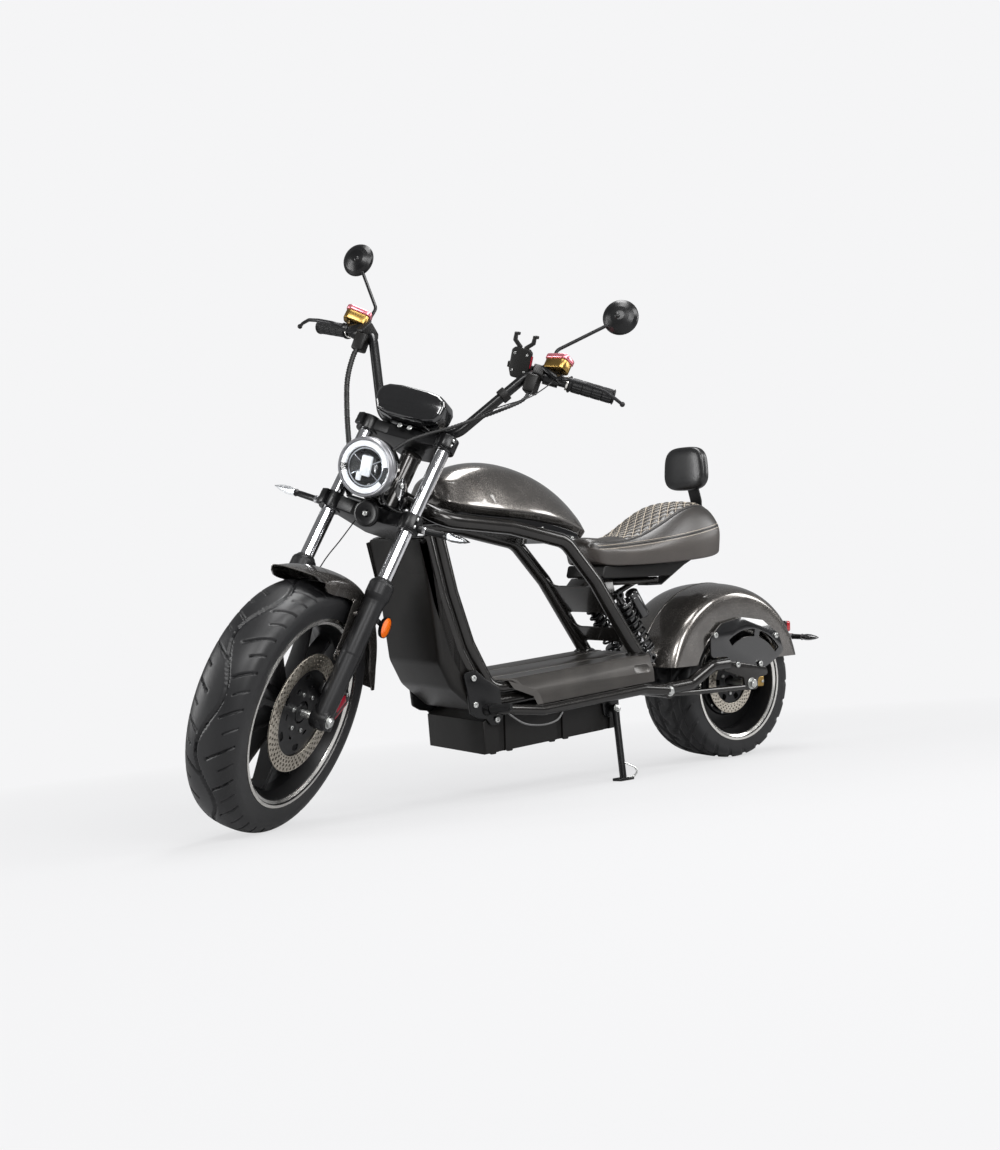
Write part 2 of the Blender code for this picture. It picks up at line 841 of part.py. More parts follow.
def build_controls(steering):
    """Switch pod, lever, its clamp and the brake reservoir on each side of the bar."""
    inner = Vector(BAR_ROUTE[-2])
    outward = (Vector(BAR_ROUTE[-1]) - inner).normalized()
    for side, word in ((1, "left"), (-1, "right")):
        flip = Vector((1, side, 1))
        middle = inner + outward * 0.055
        cluster = block(
            f"brake_control_{word}",
            (0.036, 0.058, 0.042),
            middle * flip,
            steering,
            "black_plastic",
            turn=-side * 20,
            axis="Z",
            edge=0.006,
        )
        reservoir = turned(
            f"reservoir_{word}",
            [(0, 0.024), (0.022, 0.024), (0.024, 0.020), (0.024, -0.010), (0.016, -0.016), (0, -0.016)],
            steering,
            None,
            at=(middle + Vector((0.024, 0.012, 0.026))) * flip,
            axis=(0, 0, 1),
            steps=12,
        )
        lever = tube(
            f"lever_{word}",
            [
                (middle + Vector((0.012, 0.020, -0.006))) * flip,
                (middle + Vector((0.040, 0.060, -0.010))) * flip,
                (middle + Vector((0.022, 0.140, -0.006))) * flip,
                (middle + Vector((-0.030, 0.205, -0.010))) * flip,
            ],
            0.0052,
            steering,
            None,
            bend=0.03,
            segments=2,
            resolution=1,
        )
        hole = tube(
            f"control_bore_{word}",
            [(inner - outward * 0.02) * flip, (inner + outward * 0.11) * flip],
            BAR_RADIUS * 1.09 + GAP,
            steering,
            None,
        )
        join(cluster, reservoir, lever)
        cut(cluster, hole)


def build_mirrors(steering):
    glass = Vector((0.027, 0.391, 0.712))
    route = ((0.035, 0.272, 0.5154), (0.033, 0.268, 0.575), (0.024, 0.372, 0.690))
    for side, word in ((1, "left"), (-1, "right")):
        flip = Vector((1, side, 1))
        facing = (Vector((1, 0.10, -0.25)) * flip).normalized()
        head = turned(
            f"mirror_{word}",
            [
                (0, 0.020),
                (0.020, 0.018),
                (0.036, 0.011),
                (MIRROR_RADIUS, 0),
                (MIRROR_RADIUS, -0.004),
                (0, -0.004),
            ],
            steering,
            "black_plastic",
            at=glass * flip,
            axis=facing,
            steps=16,
        )
        points = [Vector(point) * flip for point in route]
        points.append((glass + Vector((0.008, 0, 0))) * flip)
        name, radius = f"mirror_stem_{word}", MIRROR_STEM_RADIUS
        stem = tube(name, points, radius, steering, None, bend=0.02, segments=2, resolution=1)
        join(head, stem)


def build_pod(steering):
    pod = block(
        "instrument_pod", (0.085, 0.200, 0.078), (0.100, 0, 0.287), steering, "gloss_black", turn=8, edge=0.018
    )
    height = 0.032
    place = (0.067, 0, TOP_CLAMP_TOP + GAP + height / 2)
    foot = block("pod_foot", (0.030, 0.070, height), place, steering, None)
    join(pod, foot)


def build_signals(steering, upright):
    """Leaf-shaped lamps on short stalks: name, parent, root, tip."""
    ring_side = FORK_SPACING / 2 + CLAMP_RING + 2 * GAP
    lamp_z = REAR_TYRE_RADIUS + 0.1204
    tip_x, tip_side = FORK_OFFSET + 0.005, ring_side + 0.1412
    rows = (
        ("front_signal_left", steering, (FORK_OFFSET, ring_side, -0.010), (tip_x, tip_side, -0.007)),
        ("front_signal_right", steering, (FORK_OFFSET, -ring_side, -0.010), (tip_x, -tip_side, -0.007)),
        ("rear_signal_left", upright, (TAIL_PANEL_X, 0.0543, lamp_z), (TAIL_PANEL_X, 0.178, lamp_z)),
        ("rear_signal_right", upright, (TAIL_PANEL_X, -0.0543, lamp_z), (TAIL_PANEL_X, -0.178, lamp_z)),
    )
    for name, parent, root, tip in rows:
        along = Vector(tip) - Vector(root)
        length = along.length
        turned(
            name,
            [
                (0, length),
                (0.006, length - 0.010),
                (0.014, length - 0.034),
                (0.012, length - 0.056),
                (0.007, length - 0.064),
                (0.006, 0.004),
                (0.009, 0),
                (0, 0),
            ],
            parent,
            "black_plastic",
            at=root,
            axis=along.normalized(),
            steps=8,
        )


def build_front_caliper(steering):
    """It straddles the disc behind the left slider."""
    back, rise = 0.862 * FRONT_DISC_RADIUS, 0.4966 * FRONT_DISC_RADIUS
    slot_radius = FRONT_DISC_RADIUS + 0.007
    centre = Vector((FORK_OFFSET - back, 0.0605, -AXLE_DROP + rise))
    body = block("front_caliper", (0.050, 0.042, 0.085), centre, steering, "black_paint", turn=-28, edge=0.006)
    slot = turned(
        "front_caliper_slot",
        [(0.05, 0.0660), (slot_radius, 0.0660), (slot_radius, 0.0550), (0.05, 0.0550)],
        steering,
        None,
        at=(FORK_OFFSET, 0, -AXLE_DROP),
        steps=48,
        closed=True,
    )
    hanger_y = FORK_SPACING / 2 - SLIDER_RADIUS - GAP - 0.0045
    hanger = block(
        "front_caliper_hanger",
        (back - 0.005, 0.009, 0.026),
        (FORK_OFFSET + 0.0125 - back / 2, hanger_y, -AXLE_DROP + rise + 0.004),
        steering,
        None,
    )
    join(body, hanger)
    cut(body, slot)


# Bends of the top tubes before the rear legs: x, z


def build_frame(upright, head):
    """The welded tubes: head, top tubes bending down to the floor, cross plate between the rear legs."""
    axis_foot = LOWER_CLAMP_TOP + BEARING_GAP
    axis_top = TOP_CLAMP_BOTTOM - BEARING_GAP
    bore = STEM_RADIUS + BEARING_GAP
    frame = turned(
        "upper_frame",
        [
            (bore, axis_top),
            (HEAD_TUBE_RADIUS, axis_top),
            (HEAD_TUBE_RADIUS, axis_foot),
            (bore, axis_foot),
        ],
        head,
        "satin_grey_paint",
        axis=(0, 0, 1),
        steps=12,
        closed=True,
    )
    neck = HEAD + Matrix.Rotation(-math.radians(RAKE), 3, "Y") @ Vector((-0.020, 0, 0.085))
    for side, word in ((1, "left"), (-1, "right")):
        y = side * FRAME_HALF
        top_tube = tube(
            f"top_tube_{word}",
            [
                (neck.x, side * 0.018, neck.z),
                *[(x, y, z) for x, z in TOP_ROUTE],
                (LEG_BEND[0], y, LEG_BEND[1]),
                (LEG_FOOT_X, y, floor_z(LEG_FOOT_X) + 0.014),
            ],
            TOP_TUBE_RADIUS,
            upright,
            None,
            bend=0.075,
            segments=2,
        )
        join(frame, top_tube)
    top, below = (Vector(point) for point in down_route()[:2])
    up = (top - below).normalized()
    across = Vector((up.y, -up.x))
    foot = top + up * GAP
    half = DOWN_TUBE_PITCH / 2 + DOWN_TUBE_RADIUS
    corners = [foot - across * half, foot + across * half, foot + across * half * 0.5 + up * 0.075]
    corners += [foot - across * half * 1.6 + up * 0.030]
    for side, word in ((1, "left"), (-1, "right")):
        gusset = plate(f"frame_gusset_{word}", corners, 0.008, upright, None, at=side * FRAME_HALF)
        join(frame, gusset)
    along = Vector(LEG_BEND) - Vector((LEG_FOOT_X, floor_z(LEG_FOOT_X)))
    tilt = math.degrees(math.atan2(along.x, along.y))
    for word, low, high in (("upper", 0.470, 0.545), ("lower", 0.385, 0.425)):
        x, z = leg_point((low + high) / 2)
        size = (CROSS_PLATE, 2 * FRAME_HALF, (high - low) / math.cos(math.radians(tilt)))
        join(frame, block(f"cross_plate_{word}", size, (x, 0, z), upright, None, turn=tilt))


def offset_route(route, distance):
    """The (x, z) route moved sideways with mitred corners, to the right of its direction."""
    points = [Vector(point) for point in route]
    runs = [(after - before).normalized() for before, after in zip(points, points[1:])]
    moved = []
    for index, point in enumerate(points):
        before = runs[max(index - 1, 0)]
        after = runs[min(index, len(runs) - 1)]
        along = (before + after).normalized()
        reach = distance / along.dot(before)
        moved.append((point.x + along.y * reach, point.y - along.x * reach))
    return moved


def strap(name, route, thickness, half_width, parent, surface, corner=0.0):
    """A flat bar bent along an (x, z) route."""
    sides = offset_route(route, thickness / 2) + offset_route(route, -thickness / 2)[::-1]
    return plate(name, sides, 2 * half_width, parent, surface, corner=corner)


def pin(name, radius, start, end, parent, surface=None, steps=12, bore=0.0):
    """A round bar, or a sleeve where it has a bore, between two points."""
    start, end = Vector(start), Vector(end)
    length = (end - start).length
    profile = [(bore, length), (radius, length), (radius, 0), (bore, 0)]
    return turned(
        name, profile, parent, surface, at=start, axis=(end - start).normalized(), steps=steps, closed=bore > 0
    )


# Floor: x and z of the middle plate's top at its front and rear edge


def floor_z(x):
    share = (FLOOR_FRONT[0] - x) / (FLOOR_FRONT[0] - FLOOR_REAR[0])
    return FLOOR_FRONT[1] + share * (FLOOR_REAR[1] - FLOOR_FRONT[1])


def down_route():
    """Middle line of each pair of down tubes from the head to under the floor: x, z."""
    seat = FLOOR_SHEET + GAP + DOWN_TUBE_PITCH / 2 + DOWN_TUBE_RADIUS
    under = [(x, floor_z(x) - seat) for x in (ahead(0.965), 0.440)]
    return [(ahead(x), z) for x, z in ((1.128, 0.700), (1.088, 0.545), (1.040, 0.410))] + under


def build_down_tubes(upright):
    first = None
    for side, word in ((1, "left"), (-1, "right")):
        for place, distance in (("front", -DOWN_TUBE_PITCH / 2), ("rear", DOWN_TUBE_PITCH / 2)):
            route = offset_route(down_route(), -distance)
            points = [(x, side * FRAME_HALF, z) for x, z in route]
            name = f"down_tube_{word}_{place}" if first else "down_tubes"
            made = tube(name, points, DOWN_TUBE_RADIUS, upright, None, bend=0.06, segments=2)
            if first is None:
                first = made
                first.data.materials.append(finish("satin_grey_paint"))
            else:
                join(first, made)
    route = [Vector(point) for point in down_route()]
    for index, (run, share) in enumerate(((0, 0.12), (1, 0.5), (3, 0.35), (3, 0.93))):
        middle = route[run].lerp(route[run + 1], share)
        along = route[run + 1] - route[run]
        turn = math.degrees(math.atan2(along.x, along.y))
        size = (DOWN_TUBE_PITCH + 0.006, 2 * FRAME_HALF + 0.008, 0.022)
        if run != 1:
            place = (middle.x, 0, middle.y)
            join(first, block(f"down_tube_cross_{index}", size, place, upright, None, turn=turn))
            continue
        for side in (1, -1):
            tie_size = (DOWN_TUBE_PITCH + 0.006, 0.012, 0.05)
            place = (middle.x, side * FRAME_HALF, middle.y)
            join(first, block(f"down_tube_tie_{side + 1}", tie_size, place, upright, None, turn=turn))


def build_shield(upright):
    behind = offset_route(down_route(), -(DOWN_TUBE_PITCH / 2 + DOWN_TUBE_RADIUS + GAP))[:4]
    front = [(1.006, 0.240), (1.085, 0.306), (1.120, 0.372), (1.135, 0.480), (1.152, 0.600), (1.172, 0.690)]
    front = [(ahead(x), z) for x, z in front]
    plate(
        "leg_shield",
        behind + front,
        2 * SHIELD_HALF,
        upright,
        "satin_grey_paint",
        corner=0.02,
    )


# Tank from the front: x, low z, crease z, shoulder z, ridge z, half widths low, crease, shoulder
TANK = (
    (1.085, 0.775, 0.790, 0.825, 0.838, 0.040, 0.070, 0.045),
    (1.040, 0.752, 0.775, 0.850, 0.868, 0.090, 0.112, 0.065),
    (0.960, 0.744, 0.765, 0.872, 0.896, 0.105, 0.132, 0.072),
    (0.860, 0.738, 0.756, 0.872, 0.899, 0.108, 0.136, 0.070),
    (0.740, 0.722, 0.742, 0.842, 0.868, 0.104, 0.130, 0.062),
    (0.640, 0.694, 0.716, 0.788, 0.812, 0.092, 0.114, 0.052),
    (0.575, 0.664, 0.684, 0.722, 0.738, 0.070, 0.088, 0.040),
)


def tank_rows():
    return [(ahead(x), *row) for x, *row in TANK]


def build_tank(upright):
    rings = [
        [
            (x, low_half, low),
            (x, crease_half, crease),
            (x, shoulder_half, shoulder),
            (x, 0, ridge),
            (x, -shoulder_half, shoulder),
            (x, -crease_half, crease),
            (x, -low_half, low),
            (x, 0, low),
        ]
        for x, low, crease, shoulder, ridge, low_half, crease_half, shoulder_half in tank_rows()
    ]
    loft("tank_cover", rings, upright, "gloss_grey_paint", levels=1, creased=(0, 1, 3, 5, 6))


def build_tank_tray(upright):
    """The black panel between the tank and the top tubes, let down a little between them."""
    lows = smoothed([(x, low - GAP) for x, low, *_ in tank_rows()])
    over = [(x, z + TOP_TUBE_RADIUS * 0.955 + GAP) for x, z in TOP_ROUTE]
    seat = [over[2], (over[1][0], over[1][1]), (lows[0][0], over[1][1] + (over[0][1] - over[1][1]) * 0.80)]
    tray = plate("tank_tray", lows + [(ahead(0.640), 0.680)] + seat, 2 * FRAME_HALF, upright, "gloss_black")
    drop = 0.024
    keel = [(x, z - 0.004) for x, z in lows] + [(ahead(0.660), 0.672)] + [(x, z - drop) for x, z in seat]
    join(tray, plate("tray_keel", keel, 2 * (FRAME_HALF - TOP_TUBE_RADIUS - GAP), upright, None))


def build_battery(upright):
    """The box under the floor with its upright channels, and the tray's rise to the rear."""
    front, rear, bottom = ahead(0.990), 0.525, 0.129
    rise = math.tan(math.radians(FLOOR_RISE))
    under = FLOOR_SHEET + DOWN_TUBE_PITCH + 2 * DOWN_TUBE_RADIUS + 3 * GAP
    box = plate(
        "battery_box",
        [
            (front, bottom),
            (front + 0.006, bottom + 0.086),
            (front - 0.040, floor_z(front - 0.040) - under - 0.002),
            (rear, floor_z(rear) - under),
            (rear - 0.008, bottom + rise * (front - rear) + 0.020),
            (rear, bottom + rise * (front - rear)),
        ],
        2 * BATTERY_HALF,
        upright,
        "black_plastic",
    )
    for index, x in enumerate((ahead(0.935), ahead(0.740), 0.570)):
        for side in (1, -1):
            channel = block(
                f"battery_channel_{index}_{side + 1}",
                (0.022, 0.016, 0.30),
                (x, side * BATTERY_HALF, bottom + 0.06),
                upright,
                None,
            )
            cut(box, channel)


def build_floor(upright):
    """One pressed floor: a raised middle with grooves and a lower step at each side down to the rail."""
    top = [
        (0.156, -0.0775),
        (0.1535, -0.050),
        (0.142, -0.024),
        (0.134, 0.0),
        (0.066, 0.0),
        (0.062, -0.004),
        (0.056, -0.004),
        (0.052, 0.0),
    ]
    under = [(0.052, -FLOOR_SHEET), (0.130, -FLOOR_SHEET), (0.137, -0.028), (0.1495, -0.054), (0.152, -0.0775)]
    wider = FRAME_HALF - 0.110
    top, under = ([(y + wider, z) for y, z in half] for half in (top, under))
    outline = top + [(-y, z) for y, z in reversed(top)] + [(-y, z) for y, z in reversed(under)] + under
    shoulder = 0.134 + wider
    rake = 0.095 / (0.156 - 0.134)
    ends = ((FLOOR_FRONT[0], -rake), (FLOOR_REAR[0], 0))
    rings = []
    for x, slope in ends:
        stations = [x + slope * max(0.0, abs(y) - shoulder) for y, z in outline]
        rings.append([(place, y, floor_z(place) + z) for place, (y, z) in zip(stations, outline)])
    loft("floor_plate", rings, upright, "satin_grey_paint")


def build_rails(upright):
    """The round rail along each side, from the peg's bracket back to a lug on the swingarm's pivot."""
    drop = -0.092
    bracket_face = FRAME_HALF + DOWN_TUBE_RADIUS + PEG_PLATE + 2 * GAP
    front_x = FLOOR_FRONT[0] - 0.080
    end_z = floor_z(front_x) + drop + 0.014
    lug_inner = SWINGARM_HALF + PIVOT_STUB + GAP
    for side, word in ((1, "left"), (-1, "right")):
        route = [
            (front_x + 0.128, bracket_face, end_z),
            (front_x + 0.128, bracket_face + 0.020, end_z),
            (front_x, RAIL_HALF, floor_z(front_x) + drop),
            (PIVOT[0] + 0.090, RAIL_HALF, floor_z(PIVOT[0] + 0.090) + drop),
            (PIVOT[0] + 0.004, lug_inner + 0.0152, PIVOT[1] + 0.002),
        ]
        points = [(x, side * y, z) for x, y, z in route]
        name, colour = f"floor_rail_{word}", "satin_grey_paint"
        rail = tube(name, points, RAIL_RADIUS, upright, colour, bend=0.03, segments=2)
        centre = (PIVOT[0], side * lug_inner, PIVOT[1])
        outer = (PIVOT[0], side * (lug_inner + 0.0212), PIVOT[1])
        join(rail, pin(f"pivot_lug_{word}", 0.021, centre, outer, upright))




def build_foot_pegs(upright):
    """A bracket on each outer down tube at the floor's front corner, with its peg."""
    outline = ((1.060, 0.345), (1.020, 0.350), (0.945, 0.300), (0.935, 0.225), (0.975, 0.205), (1.035, 0.240))
    inner = FRAME_HALF + DOWN_TUBE_RADIUS + GAP
    for side, word in ((1, "left"), (-1, "right")):
        bracket = plate(
            f"foot_peg_{word}",
            [(ahead(x), z) for x, z in outline],
            PEG_PLATE,
            upright,
            "black_paint",
            at=side * (inner + PEG_PLATE / 2),
            corner=0.010,
        )
        peg = pin(
            f"peg_{word}",
            0.0085,
            (ahead(0.990), side * (inner + 0.003), 0.245),
            (ahead(0.960), side * (inner + 0.075), 0.256),
            upright,
            steps=12,
        )
        join(bracket, peg)


# Seat from the front: x, low z, side z, top z, half widths low and side
SEAT = (
    (0.560, 0.605, 0.655, 0.692, 0.062, 0.070),
    (0.480, 0.598, 0.640, 0.674, 0.094, 0.104),
    (0.380, 0.600, 0.642, 0.690, 0.118, 0.130),
    (0.290, 0.604, 0.655, 0.742, 0.138, 0.150),
    (0.200, 0.610, 0.680, 0.786, 0.144, 0.154),
    (0.120, 0.618, 0.700, 0.784, 0.138, 0.146),
    (0.085, 0.640, 0.700, 0.742, 0.118, 0.126),
)


def build_seat(upright):
    rings = [
        [
            (x, low_half, low),
            (x, side_half, side),
            (x, 0.62 * side_half, top - 0.012),
            (x, 0, top),
            (x, -0.62 * side_half, top - 0.012),
            (x, -side_half, side),
            (x, -low_half, low),
            (x, 0, low),
        ]
        for x, low, side, top, low_half, side_half in SEAT
    ]
    loft("seat_cushion", rings, upright, "seat_leather", levels=1, creased=(0, 6))
    top = smoothed([(x, low - GAP) for x, low, *_ in SEAT[:6]])
    pan = [(0.520, top[0][1] + 0.0015)] + top + [(0.192, 0.600), (0.260, 0.5640), (0.530, 0.5645)]
    plate("seat_pan", pan, 2 * 0.080, upright, "black_plastic", corner=0.006)
    plate(
        "backrest_pad",
        [(-0.066, 0.815), (-0.086, 0.850), (-0.082, 0.930), (-0.060, 0.947)]
        + [(0.060, 0.947), (0.082, 0.930), (0.086, 0.850), (0.066, 0.815)],
        0.046,
        upright,
        "seat_leather",
        plane="YZ",
        at=0.108,
        corner=0.02,
        edge=0.010,
    )
    strap(
        "backrest_bracket",
        [(0.300, RAIL_UNDER), (0.245, RAIL_UNDER), (0.150, 0.594), (0.078, 0.626), (0.066, 0.655)]
        + [(0.068, 0.785), (0.0822, 0.830), (0.0822, 0.905)],
        0.005,
        0.022,
        upright,
        "black_paint",
    )



# Rear legs of the top tubes: bend and foot, x and z


def leg_point(z, behind=0.0):
    """A point of the rear legs' middle line at a height, moved behind it by a distance."""
    foot = Vector((LEG_FOOT_X, floor_z(LEG_FOOT_X)))
    along = (Vector(LEG_BEND) - foot).normalized()
    place = foot + along * ((z - foot.y) / along.y)
    return (place.x - along.y * behind, place.y + along.x * behind)


def rail_line(side):
    """One rail under the seat pan, from the front back."""
    y = side * SEAT_RAIL_HALF
    return [(0.480, y, SEAT_RAIL_Z), (0.262, y, SEAT_RAIL_Z)]


def build_seat_support(upright):
    """Gusset behind the rear legs' cross plate, rails under the seat, a strut and the shocks' upper pins."""
    behind = CROSS_PLATE / 2 + GAP
    pan_under = 0.5636
    support = plate(
        "seat_support",
        [leg_point(0.540, behind), leg_point(0.478, behind), (0.480, 0.470), (0.440, 0.505), (0.455, pan_under)]
        + [(0.545, pan_under + 0.0010)],
        2 * 0.038,
        upright,
        "satin_grey_paint",
    )
    reach = SHOCK_HALF - SHOCK_EYE_HALF - GAP
    pin_x, pin_z = SHOCK_TOP
    shock_pin = pin("shock_pin", 0.008, (pin_x, reach, pin_z), (pin_x, -reach, pin_z), upright)
    rails = [
        tube(f"seat_rail_{side + 1}", rail_line(side), SEAT_RAIL_RADIUS, upright, None)
        for side in (1, -1)
    ]
    cross = block("seat_rail_cross", (0.016, 0.040, 0.014), (0.330, 0, 0.5507), upright, None)
    strut = tube("seat_strut", [(0.450, 0, 0.500), (0.330, 0, 0.549)], 0.008, upright, None)
    join(support, shock_pin, *rails, cross, strut)


def build_swingarm(upright):
    """Left and right arm joined by the pivot tube, each with its axle hanger."""
    pivot = PIVOT
    hub_z = REAR_TYRE_RADIUS
    arm = tube(
        "swingarm",
        [(pivot[0], SWINGARM_HALF + PIVOT_STUB, pivot[1]), (pivot[0], -SWINGARM_HALF - PIVOT_STUB, pivot[1])],
        0.020,
        upright,
        "satin_grey_paint",
    )
    for side, word in ((1, "left"), (-1, "right")):
        y = side * SWINGARM_HALF
        bar = tube(
            f"swingarm_{word}",
            [(pivot[0], y, pivot[1])] + [(x, y, hub_z + rise) for x, rise in ARM_ROUTE],
            SWINGARM_RADIUS,
            upright,
            None,
            bend=0.05,
            segments=2,
        )
        hanger = plate(
            f"axle_hanger_{word}",
            [(x, hub_z + rise) for x, rise in HANGER],
            0.010,
            upright,
            None,
            at=y,
            corner=0.012,
        )
        hole = turned(
            f"axle_slot_{word}",
            [(0, 0.03), (REAR_AXLE_RADIUS + GAP, 0.03), (REAR_AXLE_RADIUS + GAP, -0.03), (0, -0.03)],
            upright,
            None,
            at=(0, y, REAR_TYRE_RADIUS),
            steps=12,
        )
        join(arm, bar, hanger)
        cut(arm, hole)
    reach = SHOCK_HALF - SHOCK_EYE_HALF - GAP
    foot_x, foot_z = SHOCK_FOOT
    web = plate(
        "shock_web",
        [(pivot[0] + 0.010, pivot[1] + 0.004), (foot_x + 0.012, foot_z + 0.010), (foot_x - 0.010, foot_z + 0.010)]
        + [(pivot[0] - 0.024, pivot[1] + 0.006)],
        2 * 0.036,
        upright,
        None,
    )
    lower_pin = pin("shock_lower_pin", 0.008, (foot_x, reach, foot_z), (foot_x, -reach, foot_z), upright)
    join(arm, web, lower_pin)
    nut_inner = SWINGARM_HALF + 0.005 + GAP
    turned(
        "rear_axle",
        [(0, 0.162), (0.014, 0.162), (0.014, nut_inner), (REAR_AXLE_RADIUS, nut_inner)]
        + [(REAR_AXLE_RADIUS, -nut_inner), (0.014, -nut_inner), (0.014, -0.162), (0, -0.162)],
        upright,
        "axle_steel",
        at=(0, 0, REAR_TYRE_RADIUS),
        steps=12,
    )


def build_rear_caliper(upright):
    """It grips the rear disc behind the axle, on a strap to the left hanger."""
    centre = (-REAR_DISC_RADIUS, 0.0650, REAR_TYRE_RADIUS - 0.0056)
    arm_z = REAR_TYRE_RADIUS - 0.0036
    outer = REAR_DISC_RADIUS + 0.006
    size = (0.695 * REAR_DISC_RADIUS, 0.036, 0.034)
    body = block("rear_caliper", size, centre, upright, "gold_anodised", turn=-4, edge=0.005)
    slot = turned(
        "rear_caliper_slot",
        [(0.02, 0.0660), (outer, 0.0660), (outer, 0.0550), (0.02, 0.0550)],
        upright,
        None,
        at=(0, 0, REAR_TYRE_RADIUS),
        steps=28,
        closed=True,
    )
    reach = SWINGARM_HALF - 0.005 - GAP
    strap_pin = pin("caliper_stay", 0.007, (-0.024, 0.076, arm_z), (-0.024, reach, arm_z), upright, steps=12)
    arm_length = 0.80 * REAR_DISC_RADIUS - 0.016
    arm_at = (-0.016 - arm_length / 2, 0.078, arm_z)
    arm = block("caliper_arm", (arm_length, 0.008, 0.022), arm_at, upright, None)
    join(body, arm, strap_pin)
    cut(body, slot)


def build_rear_fender(upright):
    centre = (REAR_FENDER_X, REAR_TYRE_RADIUS)
    section = crown(REAR_FENDER_RADIUS, REAR_FENDER_HALF, REAR_FENDER_RADIUS - 0.185)
    start, end = REAR_FENDER_ARC
    steps = REAR_FENDER_STEPS
    colour, floor = "gloss_grey_paint", REAR_FENDER_RADIUS
    arc_sheet("rear_fender", section, centre, start, end, steps, upright, colour, floor=floor)


def fender_flat():
    """Radius at the middle of one of the rear fender's flats, at its crown."""
    section = crown(REAR_FENDER_RADIUS, REAR_FENDER_HALF, REAR_FENDER_RADIUS - 0.185)
    start, end = REAR_FENDER_ARC
    return section[len(section) // 2][0] * math.cos(math.radians(end - start) / REAR_FENDER_STEPS / 2)


def build_fender_brackets(upright):
    """A slotted plate on each hanger that carries the fender's side on two bosses."""
    thickness = 0.006
    slot_middle = 0.152
    bosses = ((0.150, REAR_TYRE_RADIUS + 0.1534), (-0.115, REAR_TYRE_RADIUS + 0.1364))
    for side, word in ((1, "left"), (-1, "right")):
        y = side * SWINGARM_HALF
        bracket = plate(
            f"fender_bracket_{word}",
            [(x, REAR_TYRE_RADIUS + rise) for x, rise in FENDER_PLATE],
            thickness,
            upright,
            "black_paint",
            at=y,
        )
        slot = arc_slot(f"fender_slot_{word}", slot_middle, 0.020, 58, 142, y, upright)
        cut(bracket, slot)
        wall = REAR_FENDER_HALF + SHEET / 2 + GAP
        for index, (x, z) in enumerate(bosses):
            name = f"fender_boss_{word}_{index}"
            boss = pin(name, 0.008, (x, side * wall, z), (x, y, z), upright, steps=8)
            join(bracket, boss)


def arc_slot(name, radius, width, start, end, y, parent):
    """A cutter for a curved slot about the rear axle."""
    outer, inner = [], []
    for step in range(5):
        turn = math.radians(start + (end - start) * step / 4)
        place = Vector((math.cos(turn), math.sin(turn)))
        hub = Vector((0, REAR_TYRE_RADIUS))
        outer.append(tuple(hub + place * (radius + width / 2)))
        inner.append(tuple(hub + place * (radius - width / 2)))
    return plate(name, outer + inner[::-1], 0.03, parent, None, at=y)


def build_shocks(upright):
    top = Vector((SHOCK_TOP[0], 0, SHOCK_TOP[1]))
    foot = Vector((SHOCK_FOOT[0], 0, SHOCK_FOOT[1]))
    along = (top - foot).normalized()
    length = (top - foot).length
    for side, word in ((1, "left"), (-1, "right")):
        y = side * SHOCK_HALF
        shock = turned(
            f"shock_{word}",
            [
                (0, length - 0.006),
                (0.011, length - 0.008),
                (0.014, length - 0.024),
                (0.027, length - 0.028),
                (0.027, length - 0.036),
                (0.016, length - 0.038),
                (0.016, length * 0.45),
                (0.009, length * 0.45),
                (0.009, 0.038),
                (0.027, 0.036),
                (0.027, 0.028),
                (0.011, 0.022),
                (0.011, 0.006),
                (0, 0.006),
            ],
            upright,
            "black_paint",
            at=foot + Vector((0, y, 0)),
            axis=along,
            steps=12,
        )
        eyes = [
            pin(f"shock_eye_{word}_{index}", 0.013, place + Vector((0, y - SHOCK_EYE_HALF, 0)),
                place + Vector((0, y + SHOCK_EYE_HALF, 0)), upright, steps=12)
            for index, place in enumerate((foot, top))
        ]
        aside = Vector((0, y, 0))
        back = Vector((-along.z, 0, along.x)) * 0.046
        canister_at = foot + along * (length * 0.52) + back + aside
        canister = pin(f"canister_{word}", 0.019, canister_at, canister_at + along * 0.088, upright)
        neck_at = foot + along * (length - 0.032) + aside
        neck = pin(f"canister_neck_{word}", 0.008, neck_at, neck_at + back, upright)
        spring = spring_coil(f"spring_{word}", foot + along * 0.033 + aside, along, length - 0.066, upright)
        join(shock, *eyes, canister, neck, spring)




def spring_coil(name, start, along, length, parent):
    across = Vector((0, 1, 0))
    third = along.cross(across)
    points = []
    for step in range(SPRING_TURNS * 6 + 1):
        turn = math.tau * step / 6
        around = across * math.cos(turn) + third * math.sin(turn)
        points.append(start + along * (length * step / (SPRING_TURNS * 6)) + around * SPRING_RADIUS)
    return tube(name, points, SPRING_WIRE, parent, None, resolution=0)


